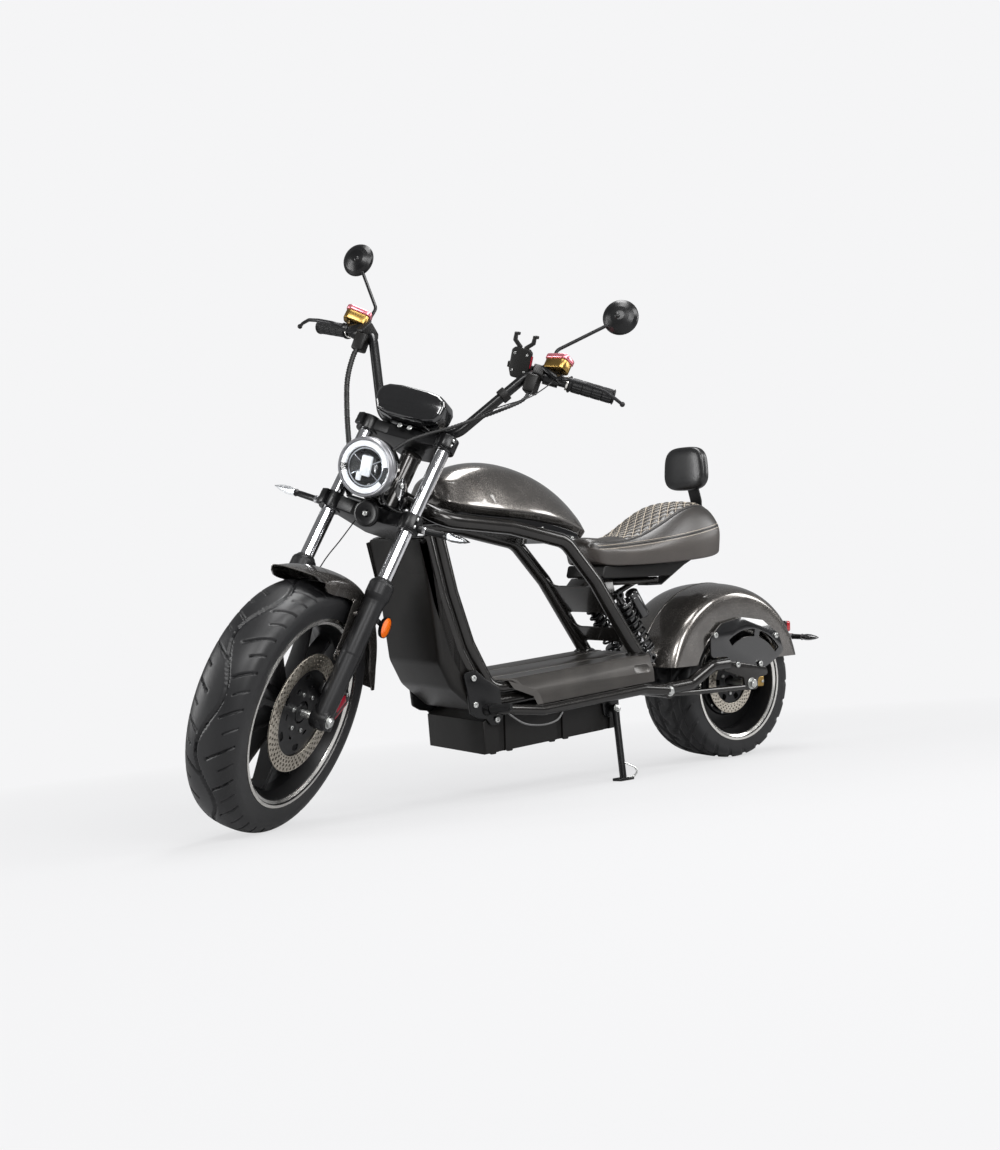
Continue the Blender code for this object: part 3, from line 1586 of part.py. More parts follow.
def build_tail(upright):
    """The lamp and the signals' bracket behind the fender."""
    outside = fender_flat() + SHEET / 2 + GAP
    low_z, high_z = REAR_TYRE_RADIUS + 0.1204, REAR_TYRE_RADIUS + 0.1464
    contact = REAR_FENDER_X - math.sqrt(outside**2 - (low_z - REAR_TYRE_RADIUS) ** 2)
    end_x = TAIL_PANEL_X - 0.0035
    bracket = block(
        "tail_bracket",
        (contact - end_x, 0.040, high_z - low_z),
        ((contact + end_x) / 2, 0, (low_z + high_z) / 2),
        upright,
        "black_paint",
    )
    panel_at = (TAIL_PANEL_X, 0, REAR_TYRE_RADIUS + 0.1094)
    panel = block("tail_panel", (0.008, 0.108, 0.043), panel_at, upright, None, edge=0.002)
    join(bracket, panel)
    depth = 0.0265
    lamp_x = end_x - GAP - depth / 2
    lamp_at = (lamp_x, 0, REAR_TYRE_RADIUS + 0.1504)
    block("tail_light", (depth, 0.086, 0.036), lamp_at, upright, "red_lens", edge=0.006)


def lowest(centre, axis, rims):
    """Lowest z of circles of (radius, offset along the axis)."""
    tilt = math.sqrt(max(0.0, 1 - axis.z**2))
    return min(centre.z + offset * axis.z - radius * tilt for radius, offset in rims)


def settled(steer_matrix):
    """The lean, pitch and height that put both tyres on z = 0."""
    front_rims = front_tyre_section()
    rear_rims = rear_tyre_section()
    front_centre = steer_matrix @ Vector((FORK_OFFSET, 0, -AXLE_DROP))
    front_axis = steer_matrix.to_3x3() @ Vector((0, 1, 0))
    rear_centre = Vector((0, 0, REAR_TYRE_RADIUS))
    pitch = 0.0
    for _ in range(8):
        turn = Matrix.Rotation(pitch, 4, "Y") @ Matrix.Rotation(-math.radians(LEAN), 4, "X")
        front = lowest(turn @ front_centre, turn.to_3x3() @ front_axis, front_rims)
        rear = lowest(turn @ rear_centre, turn.to_3x3() @ Vector((0, 1, 0)), rear_rims)
        pitch += (front - rear) / WHEELBASE
    return Matrix.Translation((0, 0, -rear)) @ turn


def stand_line():
    """Pivot, foot and hinge axis of the side stand in the upright frame; it folds up to the rear."""
    foot = stance.inverted() @ Vector((*STAND_FOOT, STAND_PAD / 2))
    pivot = Vector(STAND_PIVOT)
    leg = foot - pivot
    tilt = math.atan2(leg.y, -leg.z)
    return pivot, foot, Vector((0, math.cos(tilt), math.sin(tilt)))




def build_stand(upright):
    """The bracket with its pin on the frame's down tube, and the leg to a foot flat on the floor."""
    pivot, foot, hinge = stand_line()
    inner = FRAME_HALF + DOWN_TUBE_RADIUS + GAP
    bracket = plate(
        "stand_bracket",
        [(0.600, 0.310), (0.520, 0.310), (0.535, 0.190), (0.555, 0.180), (0.585, 0.192)],
        0.006,
        upright,
        "black_paint",
        at=inner + 0.003,
        corner=0.008,
    )
    bolt = pin("stand_bolt", STAND_PIN_RADIUS, pivot - hinge * 0.002, pivot + hinge * 0.026, upright, steps=12)
    head_bolt = pin("stand_bolt_head", 0.0092, pivot + hinge * 0.0233, pivot + hinge * 0.029, upright, steps=6)
    join(bracket, bolt, head_bolt)
    boss_start = pivot + hinge * 0.0080
    stand = pin(
        "side_stand",
        0.013,
        boss_start,
        pivot + hinge * 0.0230,
        upright,
        "black_paint",
        bore=STAND_PIN_RADIUS + GAP,
    )
    middle = pivot + hinge * 0.0155
    down = (foot - middle).normalized()
    leg = tube("stand_leg", [middle + down * 0.010, foot], STAND_LEG_RADIUS, upright, None)
    pad_mesh = bmesh.new()
    bmesh.ops.create_cube(pad_mesh, size=1)
    bmesh.ops.scale(pad_mesh, vec=(0.050, 0.036, STAND_PAD), verts=pad_mesh.verts)
    pad_mesh.transform(stance.inverted() @ Matrix.Translation((*STAND_FOOT, STAND_PAD / 2)))
    pad = from_bmesh("stand_pad", pad_mesh, upright, None)
    join(stand, leg, pad)


def stand_on_floor(root):
    """Moves the whole so that the middle of its box's bottom is the origin."""
    bpy.context.view_layer.update()
    graph = bpy.context.evaluated_depsgraph_get()
    low = Vector((math.inf,) * 3)
    high = Vector((-math.inf,) * 3)
    for thing in PARTS.objects:
        if thing.type != "MESH":
            continue
        evaluated = thing.evaluated_get(graph)
        mesh = evaluated.to_mesh()
        for vert in mesh.vertices:
            place = evaluated.matrix_world @ vert.co
            low = Vector(map(min, low, place))
            high = Vector(map(max, high, place))
        evaluated.to_mesh_clear()
    root.location = (-(low.x + high.x) / 2, -(low.y + high.y) / 2, -low.z)
    bpy.context.view_layer.update()


clear_scene()
PARTS = collection(COLLECTION)
CUTTERS = collection("cutters", hidden=True)

head_matrix = Matrix.Translation(HEAD) @ RAKE_TURN
steer_matrix = head_matrix @ Matrix.Rotation(math.radians(STEER_LOCK), 4, "Z")
stance = settled(steer_matrix)

root = empty("scooter", None, Matrix.Identity(4))
upright = empty("upright", root, stance)
head = empty("head", upright, head_matrix)
steering = empty("steering", head, Matrix.Rotation(math.radians(STEER_LOCK), 4, "Z"))
bar_middle = empty("bar_middle", steering, Matrix.Translation((BAR_OFFSET, 0, 0)))
front_axle = empty("front_axle_centre", steering, Matrix.Translation((FORK_OFFSET, 0, -AXLE_DROP)))
rear_axle = empty("rear_axle_centre", upright, Matrix.Translation((0, 0, REAR_TYRE_RADIUS)))

build_front_wheel(front_axle)
build_rear_wheel(rear_axle)
build_fork(steering, front_axle)
build_front_fender(steering)
build_headlight(steering)
build_bar(bar_middle)
build_controls(bar_middle)
build_mirrors(bar_middle)
build_pod(bar_middle)
build_signals(steering, upright)
build_front_caliper(steering)
build_frame(upright, head)
build_down_tubes(upright)
build_shield(upright)
build_tank(upright)
build_tank_tray(upright)
build_battery(upright)
build_floor(upright)
build_rails(upright)
build_foot_pegs(upright)
build_seat(upright)
build_seat_support(upright)
build_swingarm(upright)
build_rear_caliper(upright)
build_rear_fender(upright)
build_fender_brackets(upright)
build_shocks(upright)
build_tail(upright)
build_stand(upright)
stand_on_floor(root)
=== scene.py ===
# %% [markdown]
# # An electric chopper scooter, dressed for a studio picture
#
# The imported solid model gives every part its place. This lesson goes over it piece by piece, as a
# detailer would: tyres get their tread, rims their machined lips, the seat its stitching, and every
# surface gets the finish that the real one has. A piece that takes the place of a plain solid is
# made in the same frame, so nothing has to be fitted afterwards.

# %% Load the frame and note its box
import json
import math
from itertools import product

import bmesh
import bpy
from mathutils import Matrix, Vector
from mathutils.bvhtree import BVHTree

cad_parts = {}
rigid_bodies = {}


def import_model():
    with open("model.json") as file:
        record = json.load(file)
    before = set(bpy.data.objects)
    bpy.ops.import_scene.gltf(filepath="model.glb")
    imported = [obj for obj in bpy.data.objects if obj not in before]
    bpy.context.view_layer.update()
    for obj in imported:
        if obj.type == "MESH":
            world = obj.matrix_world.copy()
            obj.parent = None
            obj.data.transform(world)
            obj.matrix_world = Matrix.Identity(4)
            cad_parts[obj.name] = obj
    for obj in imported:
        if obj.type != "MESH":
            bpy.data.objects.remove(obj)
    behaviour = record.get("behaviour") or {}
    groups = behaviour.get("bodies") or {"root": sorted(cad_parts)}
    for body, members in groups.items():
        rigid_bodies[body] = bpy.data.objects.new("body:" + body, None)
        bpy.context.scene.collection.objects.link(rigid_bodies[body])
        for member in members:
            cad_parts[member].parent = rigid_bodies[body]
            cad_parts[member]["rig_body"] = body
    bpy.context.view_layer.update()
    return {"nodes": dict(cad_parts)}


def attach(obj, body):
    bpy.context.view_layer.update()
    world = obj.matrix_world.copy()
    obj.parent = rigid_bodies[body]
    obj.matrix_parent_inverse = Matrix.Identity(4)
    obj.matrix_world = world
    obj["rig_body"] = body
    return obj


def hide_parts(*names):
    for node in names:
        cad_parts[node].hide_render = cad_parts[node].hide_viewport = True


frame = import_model()

# %% [markdown]
# A parked motorcycle leans on its stand with the bar turned, which makes every coordinate awkward.
# So each piece is drawn where its numbers are simple, upright with the front wheel straight, and one
# of four matrices carries it to its real place: the upright chassis, the turned fork and the wheels.

# %% Four frames to draw in
LEAN, PITCH, RAKE, STEER_LOCK = (math.radians(angle) for angle in (6.0, 0.16581, 30.4, 34.3))
WHEELBASE, TRAIL = 1.539, 0.097
FRONT_RADIUS, REAR_RADIUS = 0.308, 0.2316
FORK_DROP, LEG_HALF = 0.53, 0.111
FORK_BORE, BAR_BORE = 0.0183, 0.0129
SIDES = ((1, "left"), (-1, "right"))

FORK_OFFSET = FRONT_RADIUS * math.sin(RAKE) - TRAIL * math.cos(RAKE)
AXIS_LENGTH = FRONT_RADIUS * math.cos(RAKE) + TRAIL * math.sin(RAKE) + FORK_DROP
HEAD = Vector((WHEELBASE + TRAIL - AXIS_LENGTH * math.sin(RAKE), 0, AXIS_LENGTH * math.cos(RAKE)))

PARKED = Vector((-0.753854, -0.121567, 0.004114))
SETTLED = Matrix.Rotation(PITCH, 4, "Y") @ Matrix.Rotation(-LEAN, 4, "X")
UPRIGHT = Matrix.Translation(PARKED) @ SETTLED
HEAD_FRAME = UPRIGHT @ Matrix.Translation(HEAD) @ Matrix.Rotation(-RAKE, 4, "Y")
FORK = HEAD_FRAME @ Matrix.Rotation(STEER_LOCK, 4, "Z")
ON_AXLE = Matrix.Rotation(math.radians(-90), 4, "X")
FRONT_WHEEL = FORK @ Matrix.Translation((FORK_OFFSET, 0, -FORK_DROP)) @ ON_AXLE
REAR_WHEEL = UPRIGHT @ Matrix.Translation((0, 0, REAR_RADIUS)) @ ON_AXLE
print("steering head stands at", tuple(round(value, 4) for value in FORK.translation))

# %% [markdown]
# Colours are written as web colours, which are sRGB, and Blender's shaders want linear light. One
# function does that. Another adds a node: a value sets a socket, and another node's output links to it.

# %% Colours and nodes
def colour(code):
    """An sRGB hex colour as linear RGBA."""
    parts = [int(code[place : place + 2], 16) / 255 for place in (1, 3, 5)]
    return (*[part / 12.92 if part <= 0.04045 else ((part + 0.055) / 1.055) ** 2.4 for part in parts], 1)


def add(tree, kind, sockets=None, **settings):
    """One node with its settings; each of its sockets takes a value or another node's output."""
    made = tree.nodes.new(kind)
    for name, value in settings.items():
        setattr(made, name, value)
    for name, value in (sockets or {}).items():
        if isinstance(value, bpy.types.NodeSocket):
            tree.links.new(value, made.inputs[name])
        else:
            made.inputs[name].default_value = value
    return made


# %% [markdown]
# Most finishes on a scooter are one idea with different numbers: a coat over metal or plastic whose
# colour, gloss and surface all wander a little. Noise at the real grain size, in millimetres, moves
# the colour between two tones, the roughness between two values, and the surface by a small bump.

# %% A finish with its grain
def finish(name, tones, rough, grain, bump=0.0, metallic=0.0, texture="noise", stretch=(1, 1, 1),
    **sockets):
    """A Principled material. grain and bump are in millimetres; tones and rough are pairs."""
    made = bpy.data.materials.new(name)
    made.use_nodes = True
    tree = made.node_tree
    shader = tree.nodes["Principled BSDF"]
    place = add(tree, "ShaderNodeTexCoord").outputs["Object"]
    spread = add(tree, "ShaderNodeMapping", {"Vector": place, "Scale": stretch}).outputs["Vector"]
    scale = 1000 / grain
    if texture == "noise":
        fine = add(tree, "ShaderNodeTexNoise", {"Vector": spread, "Scale": scale, "Detail": 4.0,
            "Roughness": 0.6})
        height = fine.outputs["Fac"]
    elif texture == "cells":
        fine = add(tree, "ShaderNodeTexVoronoi", {"Vector": spread, "Scale": scale})
        height = fine.outputs["Distance"]
    else:
        fine = add(tree, "ShaderNodeTexVoronoi", {"Vector": spread, "Scale": scale}, feature="SMOOTH_F1")
        height = fine.outputs["Color"]
    broad = add(tree, "ShaderNodeTexNoise", {"Vector": place, "Scale": 14.0, "Detail": 3.0})
    mixed = add(tree, "ShaderNodeMath", {0: height, 1: broad.outputs["Fac"]}, operation="ADD")
    wander = {"Value": mixed.outputs["Value"], "From Min": 0.6, "From Max": 1.4}
    share = add(tree, "ShaderNodeMapRange", wander).outputs["Result"]
    tint = add(tree, "ShaderNodeMix", {0: share, 6: colour(tones[0]), 7: colour(tones[1])},
        data_type="RGBA")
    gloss = add(tree, "ShaderNodeMapRange", {**wander, "To Min": rough[0], "To Max": rough[1]})
    tree.links.new(tint.outputs[2], shader.inputs["Base Color"])
    tree.links.new(gloss.outputs["Result"], shader.inputs["Roughness"])
    if bump:
        relief = add(tree, "ShaderNodeBump", {"Height": height, "Distance": bump / 1000, "Strength": 0.6})
        tree.links.new(relief.outputs["Normal"], shader.inputs["Normal"])
    shader.inputs["Metallic"].default_value = metallic
    for socket, value in sockets.items():
        shader.inputs[socket.replace("_", " ")].default_value = value
    return made


# %% [markdown]
# **Paint.** The tank and fenders wear a gunmetal metallic lacquer: aluminium flakes in a brown-grey
# base under clear coat. Flakes are about 0.1 mm, too fine to show, so they are drawn ten times as
# coarse. The tubes and the floor have a plainer satin powder coat with a faint orange peel, and the
# brackets a black one. **Plastics** keep a moulded grain of about a millimetre. **Metals** are
# chromed steel, machined aluminium, ground brake steel and zinc-plated bolts.

# %% The finishes
GUNMETAL = finish("gunmetal_metallic_lacquer", ("#524f4c", "#75716d"), (0.2, 0.29), 1.1, 0.012, 0.85,
    "flakes", Coat_Weight=1.0, Coat_Roughness=0.03)
GRAPHITE = finish("graphite_powder_coat", ("#191817", "#272523"), (0.2, 0.29), 1.8, 0.02, 0.7,
    Coat_Weight=0.5, Coat_Roughness=0.1)
SHIELD_PAINT = finish("shield_satin_paint", ("#0f0e0d", "#171513"), (0.32, 0.42), 1.6, 0.03, 0.2,
    Coat_Weight=0.1, Coat_Roughness=0.25, Specular_IOR_Level=0.28)
FLOOR_PAINT = finish("floor_satin_paint", ("#2e2c2a", "#413e3b"), (0.3, 0.4), 1.6, 0.03, 0.5,
    Coat_Weight=0.3, Coat_Roughness=0.2)
SATIN_BLACK = finish("satin_black_powder_coat", ("#060607", "#0d0d0e"), (0.24, 0.36), 1.5, 0.02,
    Specular_IOR_Level=0.32)
GLOSS_BLACK = finish("gloss_black_lacquer", ("#070708", "#0e0e0f"), (0.08, 0.16), 6.0, 0.01,
    Coat_Weight=1.0, Coat_Roughness=0.03)
BLACK_ABS = finish("grained_black_abs", ("#0a0908", "#121110"), (0.38, 0.52), 0.9, 0.05, texture="cells",
    Specular_IOR_Level=0.25)
FORK_GREY = finish("cast_fork_paint", ("#161617", "#202021"), (0.34, 0.46), 0.8, 0.06, 0.3,
    Specular_IOR_Level=0.3)
WHEEL_BLACK = finish("wheel_black_lacquer", ("#070708", "#0e0e0f"), (0.3, 0.42), 1.5, 0.02,
    Specular_IOR_Level=0.3)
RUBBER = finish("tyre_rubber", ("#0a0a0b", "#121214"), (0.38, 0.5), 1.2, 0.06, Specular_IOR_Level=0.42)
GRIP_RUBBER = finish("grip_rubber", ("#0a0a0b", "#121213"), (0.46, 0.6), 0.7, 0.05, texture="cells",
    Specular_IOR_Level=0.3)
CHROME = finish("chromed_steel", ("#c4c4c6", "#dcdcde"), (0.05, 0.11), 9.0, 0.0, 1.0, stretch=(1, 1, 0.2))
MACHINED = finish("machined_aluminium", ("#c9c7c2", "#e2e0dc"), (0.14, 0.26), 0.9, 0.02, 1.0)
DISC_STEEL = finish("ground_brake_steel", ("#a79f92", "#cdc6ba"), (0.22, 0.38), 0.7, 0.03, 1.0)
ZINC = finish("zinc_plated_steel", ("#a9aaa8", "#d3d4d2"), (0.22, 0.38), 1.4, 0.02, 1.0)
DARK_STEEL = finish("blackened_steel", ("#1b1b1c", "#303031"), (0.3, 0.45), 1.2, 0.03, 0.7)
GOLD = finish("gold_anodised_aluminium", ("#8a6c35", "#ab8f58"), (0.24, 0.36), 1.3, 0.0, 1.0)
ROSE = finish("rose_anodised_aluminium", ("#d06d7a", "#e69aa2"), (0.18, 0.28), 1.3, 0.0, 0.8)
RED_PAINT = finish("red_anodised_aluminium", ("#8e1226", "#b01c35"), (0.25, 0.35), 1.3, 0.02, 0.6)
LEATHER = finish("coated_leatherette", ("#1d1a18", "#2a2623"), (0.34, 0.46), 1.6, 0.1, texture="cells",
    Coat_Weight=0.25, Coat_Roughness=0.3)
# The seat's flank is a separate panel in a lighter tone of the same leatherette. Part of that lightness is
# painted sheen, standing in for the light that falls on the flank.
SIDE_LEATHER_WITH_PAINTED_SHEEN = finish("side_leatherette_painted_sheen", ("#2e2a27", "#3d3834"), (0.38, 0.5), 1.6, 0.1, texture="cells",
    Coat_Weight=0.2, Coat_Roughness=0.3)
BLACK_VINYL = finish("smooth_black_vinyl", ("#0c0c0d", "#151516"), (0.26, 0.36), 1.6, 0.05, texture="cells")
THREAD = finish("waxed_thread", ("#a3988a", "#bdb3a4"), (0.55, 0.7), 0.5, 0.03)
REFLECTOR = finish("vacuum_plated_reflector", ("#b9bbbf", "#e2e4e8"), (0.06, 0.14), 12.0, 0.0, 1.0)
LED_WHITE = finish("frosted_light_guide", ("#e6e8ea", "#f4f5f6"), (0.25, 0.35), 3.0, 0.0, Coat_Weight=0.4,
    Emission_Color=(1, 1, 1, 1), Emission_Strength=0.22)
BEZEL_GREY = finish("cast_bezel_paint", ("#77777a", "#8f8f92"), (0.3, 0.4), 2.0, 0.01, 0.8)
AMBER = finish("amber_prismatic_plastic", ("#d9540a", "#f0791c"), (0.12, 0.2), 3.0, 0.2, texture="cells",
    Coat_Weight=0.6)
RED_LENS = finish("red_prismatic_plastic", ("#7d0a12", "#a8121d"), (0.12, 0.2), 3.0, 0.2, texture="cells",
    Coat_Weight=0.6)
MIRROR_GLASS = finish("silvered_glass", ("#d5dade", "#dfe4e8"), (0.01, 0.03), 20.0, 0.0, 1.0)
CLEAR_LENS = finish("clear_polycarbonate", ("#f2f5f8", "#fbfcfd"), (0.02, 0.05), 9.0, 0.0,
    Transmission_Weight=1.0, IOR=1.3)
SMOKED = finish("smoked_plastic", ("#0d0d0e", "#171718"), (0.1, 0.18), 4.0, 0.05, Coat_Weight=0.8)
CABLE_JACKET = finish("cable_jacket", ("#0c0c0c", "#171717"), (0.4, 0.55), 0.8, 0.03,
    Specular_IOR_Level=0.3)
GREY_CABLE = finish("grey_cable_jacket", ("#3d3d3d", "#565656"), (0.35, 0.5), 0.8, 0.02)

# %% [markdown]
# The photograph was taken from low down at the scooter's front left, with a normal lens. Its camera
# was worked out from the wheels, the fork and the floor, so the numbers below are simply its place.
# The light is a studio's: a bright even room, large boxes of light on the left and above, smaller
# ones at the nose and the tail, and two narrow ones that draw the long highlights along the tubes.

# %% Camera, floor and lights
scene = bpy.context.scene
scene.view_settings.view_transform = "Standard"


def linked(name, bm):
    """A new object of the scene with the bmesh's shape; the bmesh is used up."""
    mesh = bpy.data.meshes.new(name)
    bm.to_mesh(mesh)
    bm.free()
    made = bpy.data.objects.new(name, mesh)
    scene.collection.objects.link(made)
    return made


EYE = Matrix(
    (
        (-0.790643, -0.03271, 0.611404, 2.33317),
        (0.605833, 0.103514, 0.788829, 2.8495),
        (-0.089092, 0.99409, -0.062025, 0.35536),
        (0, 0, 0, 1),
    )
)
lens = bpy.data.cameras.new("photo_camera")
lens.lens = 42.685
lens.sensor_width = 36.0
lens.clip_end = 60.0
camera = bpy.data.objects.new("photo_camera", lens)
scene.collection.objects.link(camera)
camera.matrix_world = EYE
scene.camera = camera

world = bpy.data.worlds.new("studio")
scene.world = world
world.use_nodes = True
sky = world.node_tree
sky.nodes["Background"].inputs["Color"].default_value = colour("#dfe0e2")
sky.nodes["Background"].inputs["Strength"].default_value = 0.32
rays = add(sky, "ShaderNodeLightPath")
seen = add(sky, "ShaderNodeMath", {0: rays.outputs["Is Camera Ray"],
    1: rays.outputs["Is Transmission Ray"]}, operation="MAXIMUM")
backdrop = add(sky, "ShaderNodeBackground", {"Color": colour("#f5f5f6"), "Strength": 1.0})
choice = add(sky, "ShaderNodeMixShader", {0: seen.outputs["Value"],
    1: sky.nodes["Background"].outputs["Background"], 2: backdrop.outputs["Background"]})
sky.links.new(choice.outputs["Shader"], sky.nodes["World Output"].inputs["Surface"])

bm = bmesh.new()
bmesh.ops.create_grid(bm, x_segments=1, y_segments=1, size=9.0)
ground = linked("studio_floor", bm)
ground.location.z = -0.0005
pale = bpy.data.materials.new("matt_studio_floor")
pale.use_nodes = True
tree = pale.node_tree
matt = tree.nodes["Principled BSDF"]
matt.inputs["Base Color"].default_value = colour("#acacad")
matt.inputs["Roughness"].default_value = 0.9
rays = add(tree, "ShaderNodeLightPath")
lit = add(tree, "ShaderNodeEmission", {"Color": colour("#f5f5f6"), "Strength": 1.0})
spot = add(tree, "ShaderNodeTexCoord").outputs["Object"]
away = add(tree, "ShaderNodeVectorMath", {0: spot}, operation="LENGTH")
fade = add(tree, "ShaderNodeMapRange", {"Value": away.outputs["Value"], "From Min": 1.0, "From Max": 3.2,
    "To Min": 0.72})
share = add(tree, "ShaderNodeMath", {0: rays.outputs["Is Camera Ray"], 1: fade.outputs["Result"]},
    operation="MULTIPLY")
blended = add(tree, "ShaderNodeMixShader", {0: share.outputs["Value"], 1: matt.outputs["BSDF"],
    2: lit.outputs["Emission"]})
tree.links.new(blended.outputs["Shader"], tree.nodes["Material Output"].inputs["Surface"])
ground.data.materials.append(pale)


def softbox(name, place, target, size, power):
    """A rectangular area lamp that faces a point."""
    lamp = bpy.data.lights.new(name, "AREA")
    lamp.shape = "RECTANGLE"
    lamp.size, lamp.size_y = size
    lamp.energy = power
    made = bpy.data.objects.new(name, lamp)
    scene.collection.objects.link(made)
    made.location = place
    made.rotation_euler = (Vector(target) - Vector(place)).to_track_quat("-Z", "Y").to_euler()


softbox("left_box", (1.0, 4.2, 2.2), (0, 0, 0.5), (1.4, 2.4), 130)
softbox("top_box", (-0.4, 0.3, 4.0), (0, 0, 0.4), (3.4, 1.2), 140)
softbox("right_strip", (3.6, -2.2, 1.6), (0.2, 0, 0.6), (0.6, 2.8), 75)
softbox("side_box", (-1.4, 3.0, 2.9), (0, 0.1, 0.75), (1.8, 1.3), 80)
softbox("front_strip", (3.9, -1.2, 1.8), (0.2, 0, 0.6), (0.35, 2.6), 50)
softbox("nose_box", (3.0, 2.6, 3.0), (0.6, 0.15, 0.4), (1.2, 1.0), 80)
softbox("rear_box", (-3.6, 2.0, 1.8), (-0.4, 0, 0.5), (0.9, 2.2), 60)

# %% [markdown]
# The shapes come from a handful of moves. A turned part is a profile spun about its axis. A tube is a
# round section carried along a route whose corners are rounded first. A plate is an outline pulled to
# its thickness, with its edges broken by a small bevel, because no real edge is perfectly sharp.

# %% Making shapes
XZ_PLATE = Matrix(((1, 0, 0, 0), (0, 0, 1, 0), (0, 1, 0, 0), (0, 0, 0, 1)))
YZ_PLATE = Matrix(((0, 0, 1, 0), (1, 0, 0, 0), (0, 1, 0, 0), (0, 0, 0, 1)))
FLAT, UP = Matrix.Identity(4), Vector((0, 0, 1))
WASHER = 0.0012


def at(x=0.0, y=0.0, z=0.0):
    return Matrix.Translation((x, y, z))


def turn(angle, axis="Y"):
    return Matrix.Rotation(math.radians(angle), 4, axis)


def outward(side):
    """Takes the Z axis to the left for side 1 and to the right for side -1."""
    return turn(-90 * side, "X")


def swing(way, other):
    """The shortest turn that takes one direction onto another."""
    return way.rotation_difference(other).to_matrix().to_4x4()


def on_circle(radius, angle):
    """The point of a circle at an angle in degrees."""
    return radius * math.cos(math.radians(angle)), radius * math.sin(math.radians(angle))


def aim(start, end):
    """A matrix that takes the Z axis onto the line from start towards end."""
    start, end = Vector(start), Vector(end)
    return Matrix.Translation(start) @ swing(UP, end - start)


def rounded(points, bend, closed=False, steps=6):
    """The points with each corner replaced by an arc of radius `bend`, cut short on short sides."""
    points = [Vector(point) for point in points]
    count = len(points)
    route = []
    for index, corner in enumerate(points):
        before = points[index - 1] - corner
        after = points[(index + 1) % count] - corner
        ends = not closed and index in (0, count - 1)
        if ends or bend <= 0 or before.angle(after) > math.radians(178):
            route.append(corner)
            continue
        half_angle = before.angle(after) / 2
        reach = min(bend / math.tan(half_angle), 0.49 * before.length, 0.49 * after.length)
        radius = reach * math.tan(half_angle)
        middle = (before.normalized() + after.normalized()).normalized() * math.hypot(reach, radius)
        start = before.normalized() * reach - middle
        end = after.normalized() * reach - middle
        for step in range(steps + 1):
            route.append(corner + middle + start.slerp(end, step / steps).normalized() * radius)
    return route


def lathe(profile, steps=64, closed=False, bend=0.0, span=360):
    """(radius, height) points spun about Z by span degrees; closed joins the last point to the first."""
    flat = rounded([(radius, 0, height) for radius, height in profile], bend, closed, 3)
    bm = bmesh.new()
    verts = [bm.verts.new(point) for point in flat]
    edges = [bm.edges.new(pair) for pair in zip(verts, verts[1:])]
    if closed:
        edges.append(bm.edges.new((verts[-1], verts[0])))
    bmesh.ops.spin(bm, geom=verts + edges, cent=(0, 0, 0), axis=(0, 0, 1), angle=math.radians(span),
        steps=steps, use_merge=span == 360)
    if span < 360:
        bmesh.ops.holes_fill(bm, edges=bm.edges[:], sides=0)
    bmesh.ops.remove_doubles(bm, verts=bm.verts, dist=0.000002)
    bmesh.ops.recalc_face_normals(bm, faces=bm.faces)
    return bm


def hollow(profile, steps, bend=0.0):
    """A closed (radius, height) profile spun about Z."""
    return lathe(profile, steps, closed=True, bend=bend)


def disc(radius, high, low, steps, bend=0.0):
    """A cylinder about Z."""
    return lathe([(0, high), (radius, high), (radius, low), (0, low)], steps, bend=bend)


def hoop(inner, outer, high, low, steps, bend=0.0):
    """A short pipe about Z."""
    return hollow([(inner, high), (outer, high), (outer, low), (inner, low)], steps, bend)


def bevelled(bm, edges, width, segments=2):
    """Breaks the given edges of a bmesh."""
    bmesh.ops.bevel(bm, geom=edges, offset=width, segments=segments, profile=0.5, affect="EDGES",
        material=-1)


def even(half, middle=()):
    """The points of an outline, then of its mirror image in the first axis, on the way back."""
    return [*half, *middle, *((first, -second) for first, second in reversed(half))]


def oblong(half_u, half_w):
    return [(-half_u, -half_w), (half_u, -half_w), (half_u, half_w), (-half_u, half_w)]


def swept(route, radius, sides=20, bend=0.0, end_radius=None, steps=6):
    """A round section carried along a route; it may taper to end_radius."""
    route = rounded(route, bend, steps=steps)
    lengths = [(b - a).length for a, b in zip(route, route[1:])]
    ways = [(b - a).normalized() for a, b in zip(route, route[1:])]
    ways = [ways[0]] + [(a + b).normalized() for a, b in zip(ways, ways[1:])] + [ways[-1]]
    bm = bmesh.new()
    first = Matrix.Translation(route[0]) @ swing(UP, ways[0])
    ring = bmesh.ops.create_circle(bm, segments=sides, radius=radius, cap_ends=True, matrix=first)["verts"]
    edges = [edge for edge in bm.edges if edge.verts[0] in ring]
    gone, size = 0.0, radius
    for index in range(1, len(route)):
        made = bmesh.ops.extrude_edge_only(bm, edges=edges)["geom"]
        ring = [item for item in made if isinstance(item, bmesh.types.BMVert)]
        edges = [item for item in made if isinstance(item, bmesh.types.BMEdge)]
        edges = [edge for edge in edges if edge.verts[0] in ring and edge.verts[1] in ring]
        gone += lengths[index - 1]
        share = gone / sum(lengths)
        wanted = radius + ((end_radius or radius) - radius) * share
        move = (Matrix.Translation(route[index]) @ swing(ways[index - 1], ways[index])
            @ Matrix.Scale(wanted / size, 4) @ Matrix.Translation(-route[index - 1]))
        bmesh.ops.transform(bm, matrix=move, verts=ring)
        size = wanted
    bmesh.ops.edgeloop_fill(bm, edges=edges)
    bmesh.ops.recalc_face_normals(bm, faces=bm.faces)
    return bm


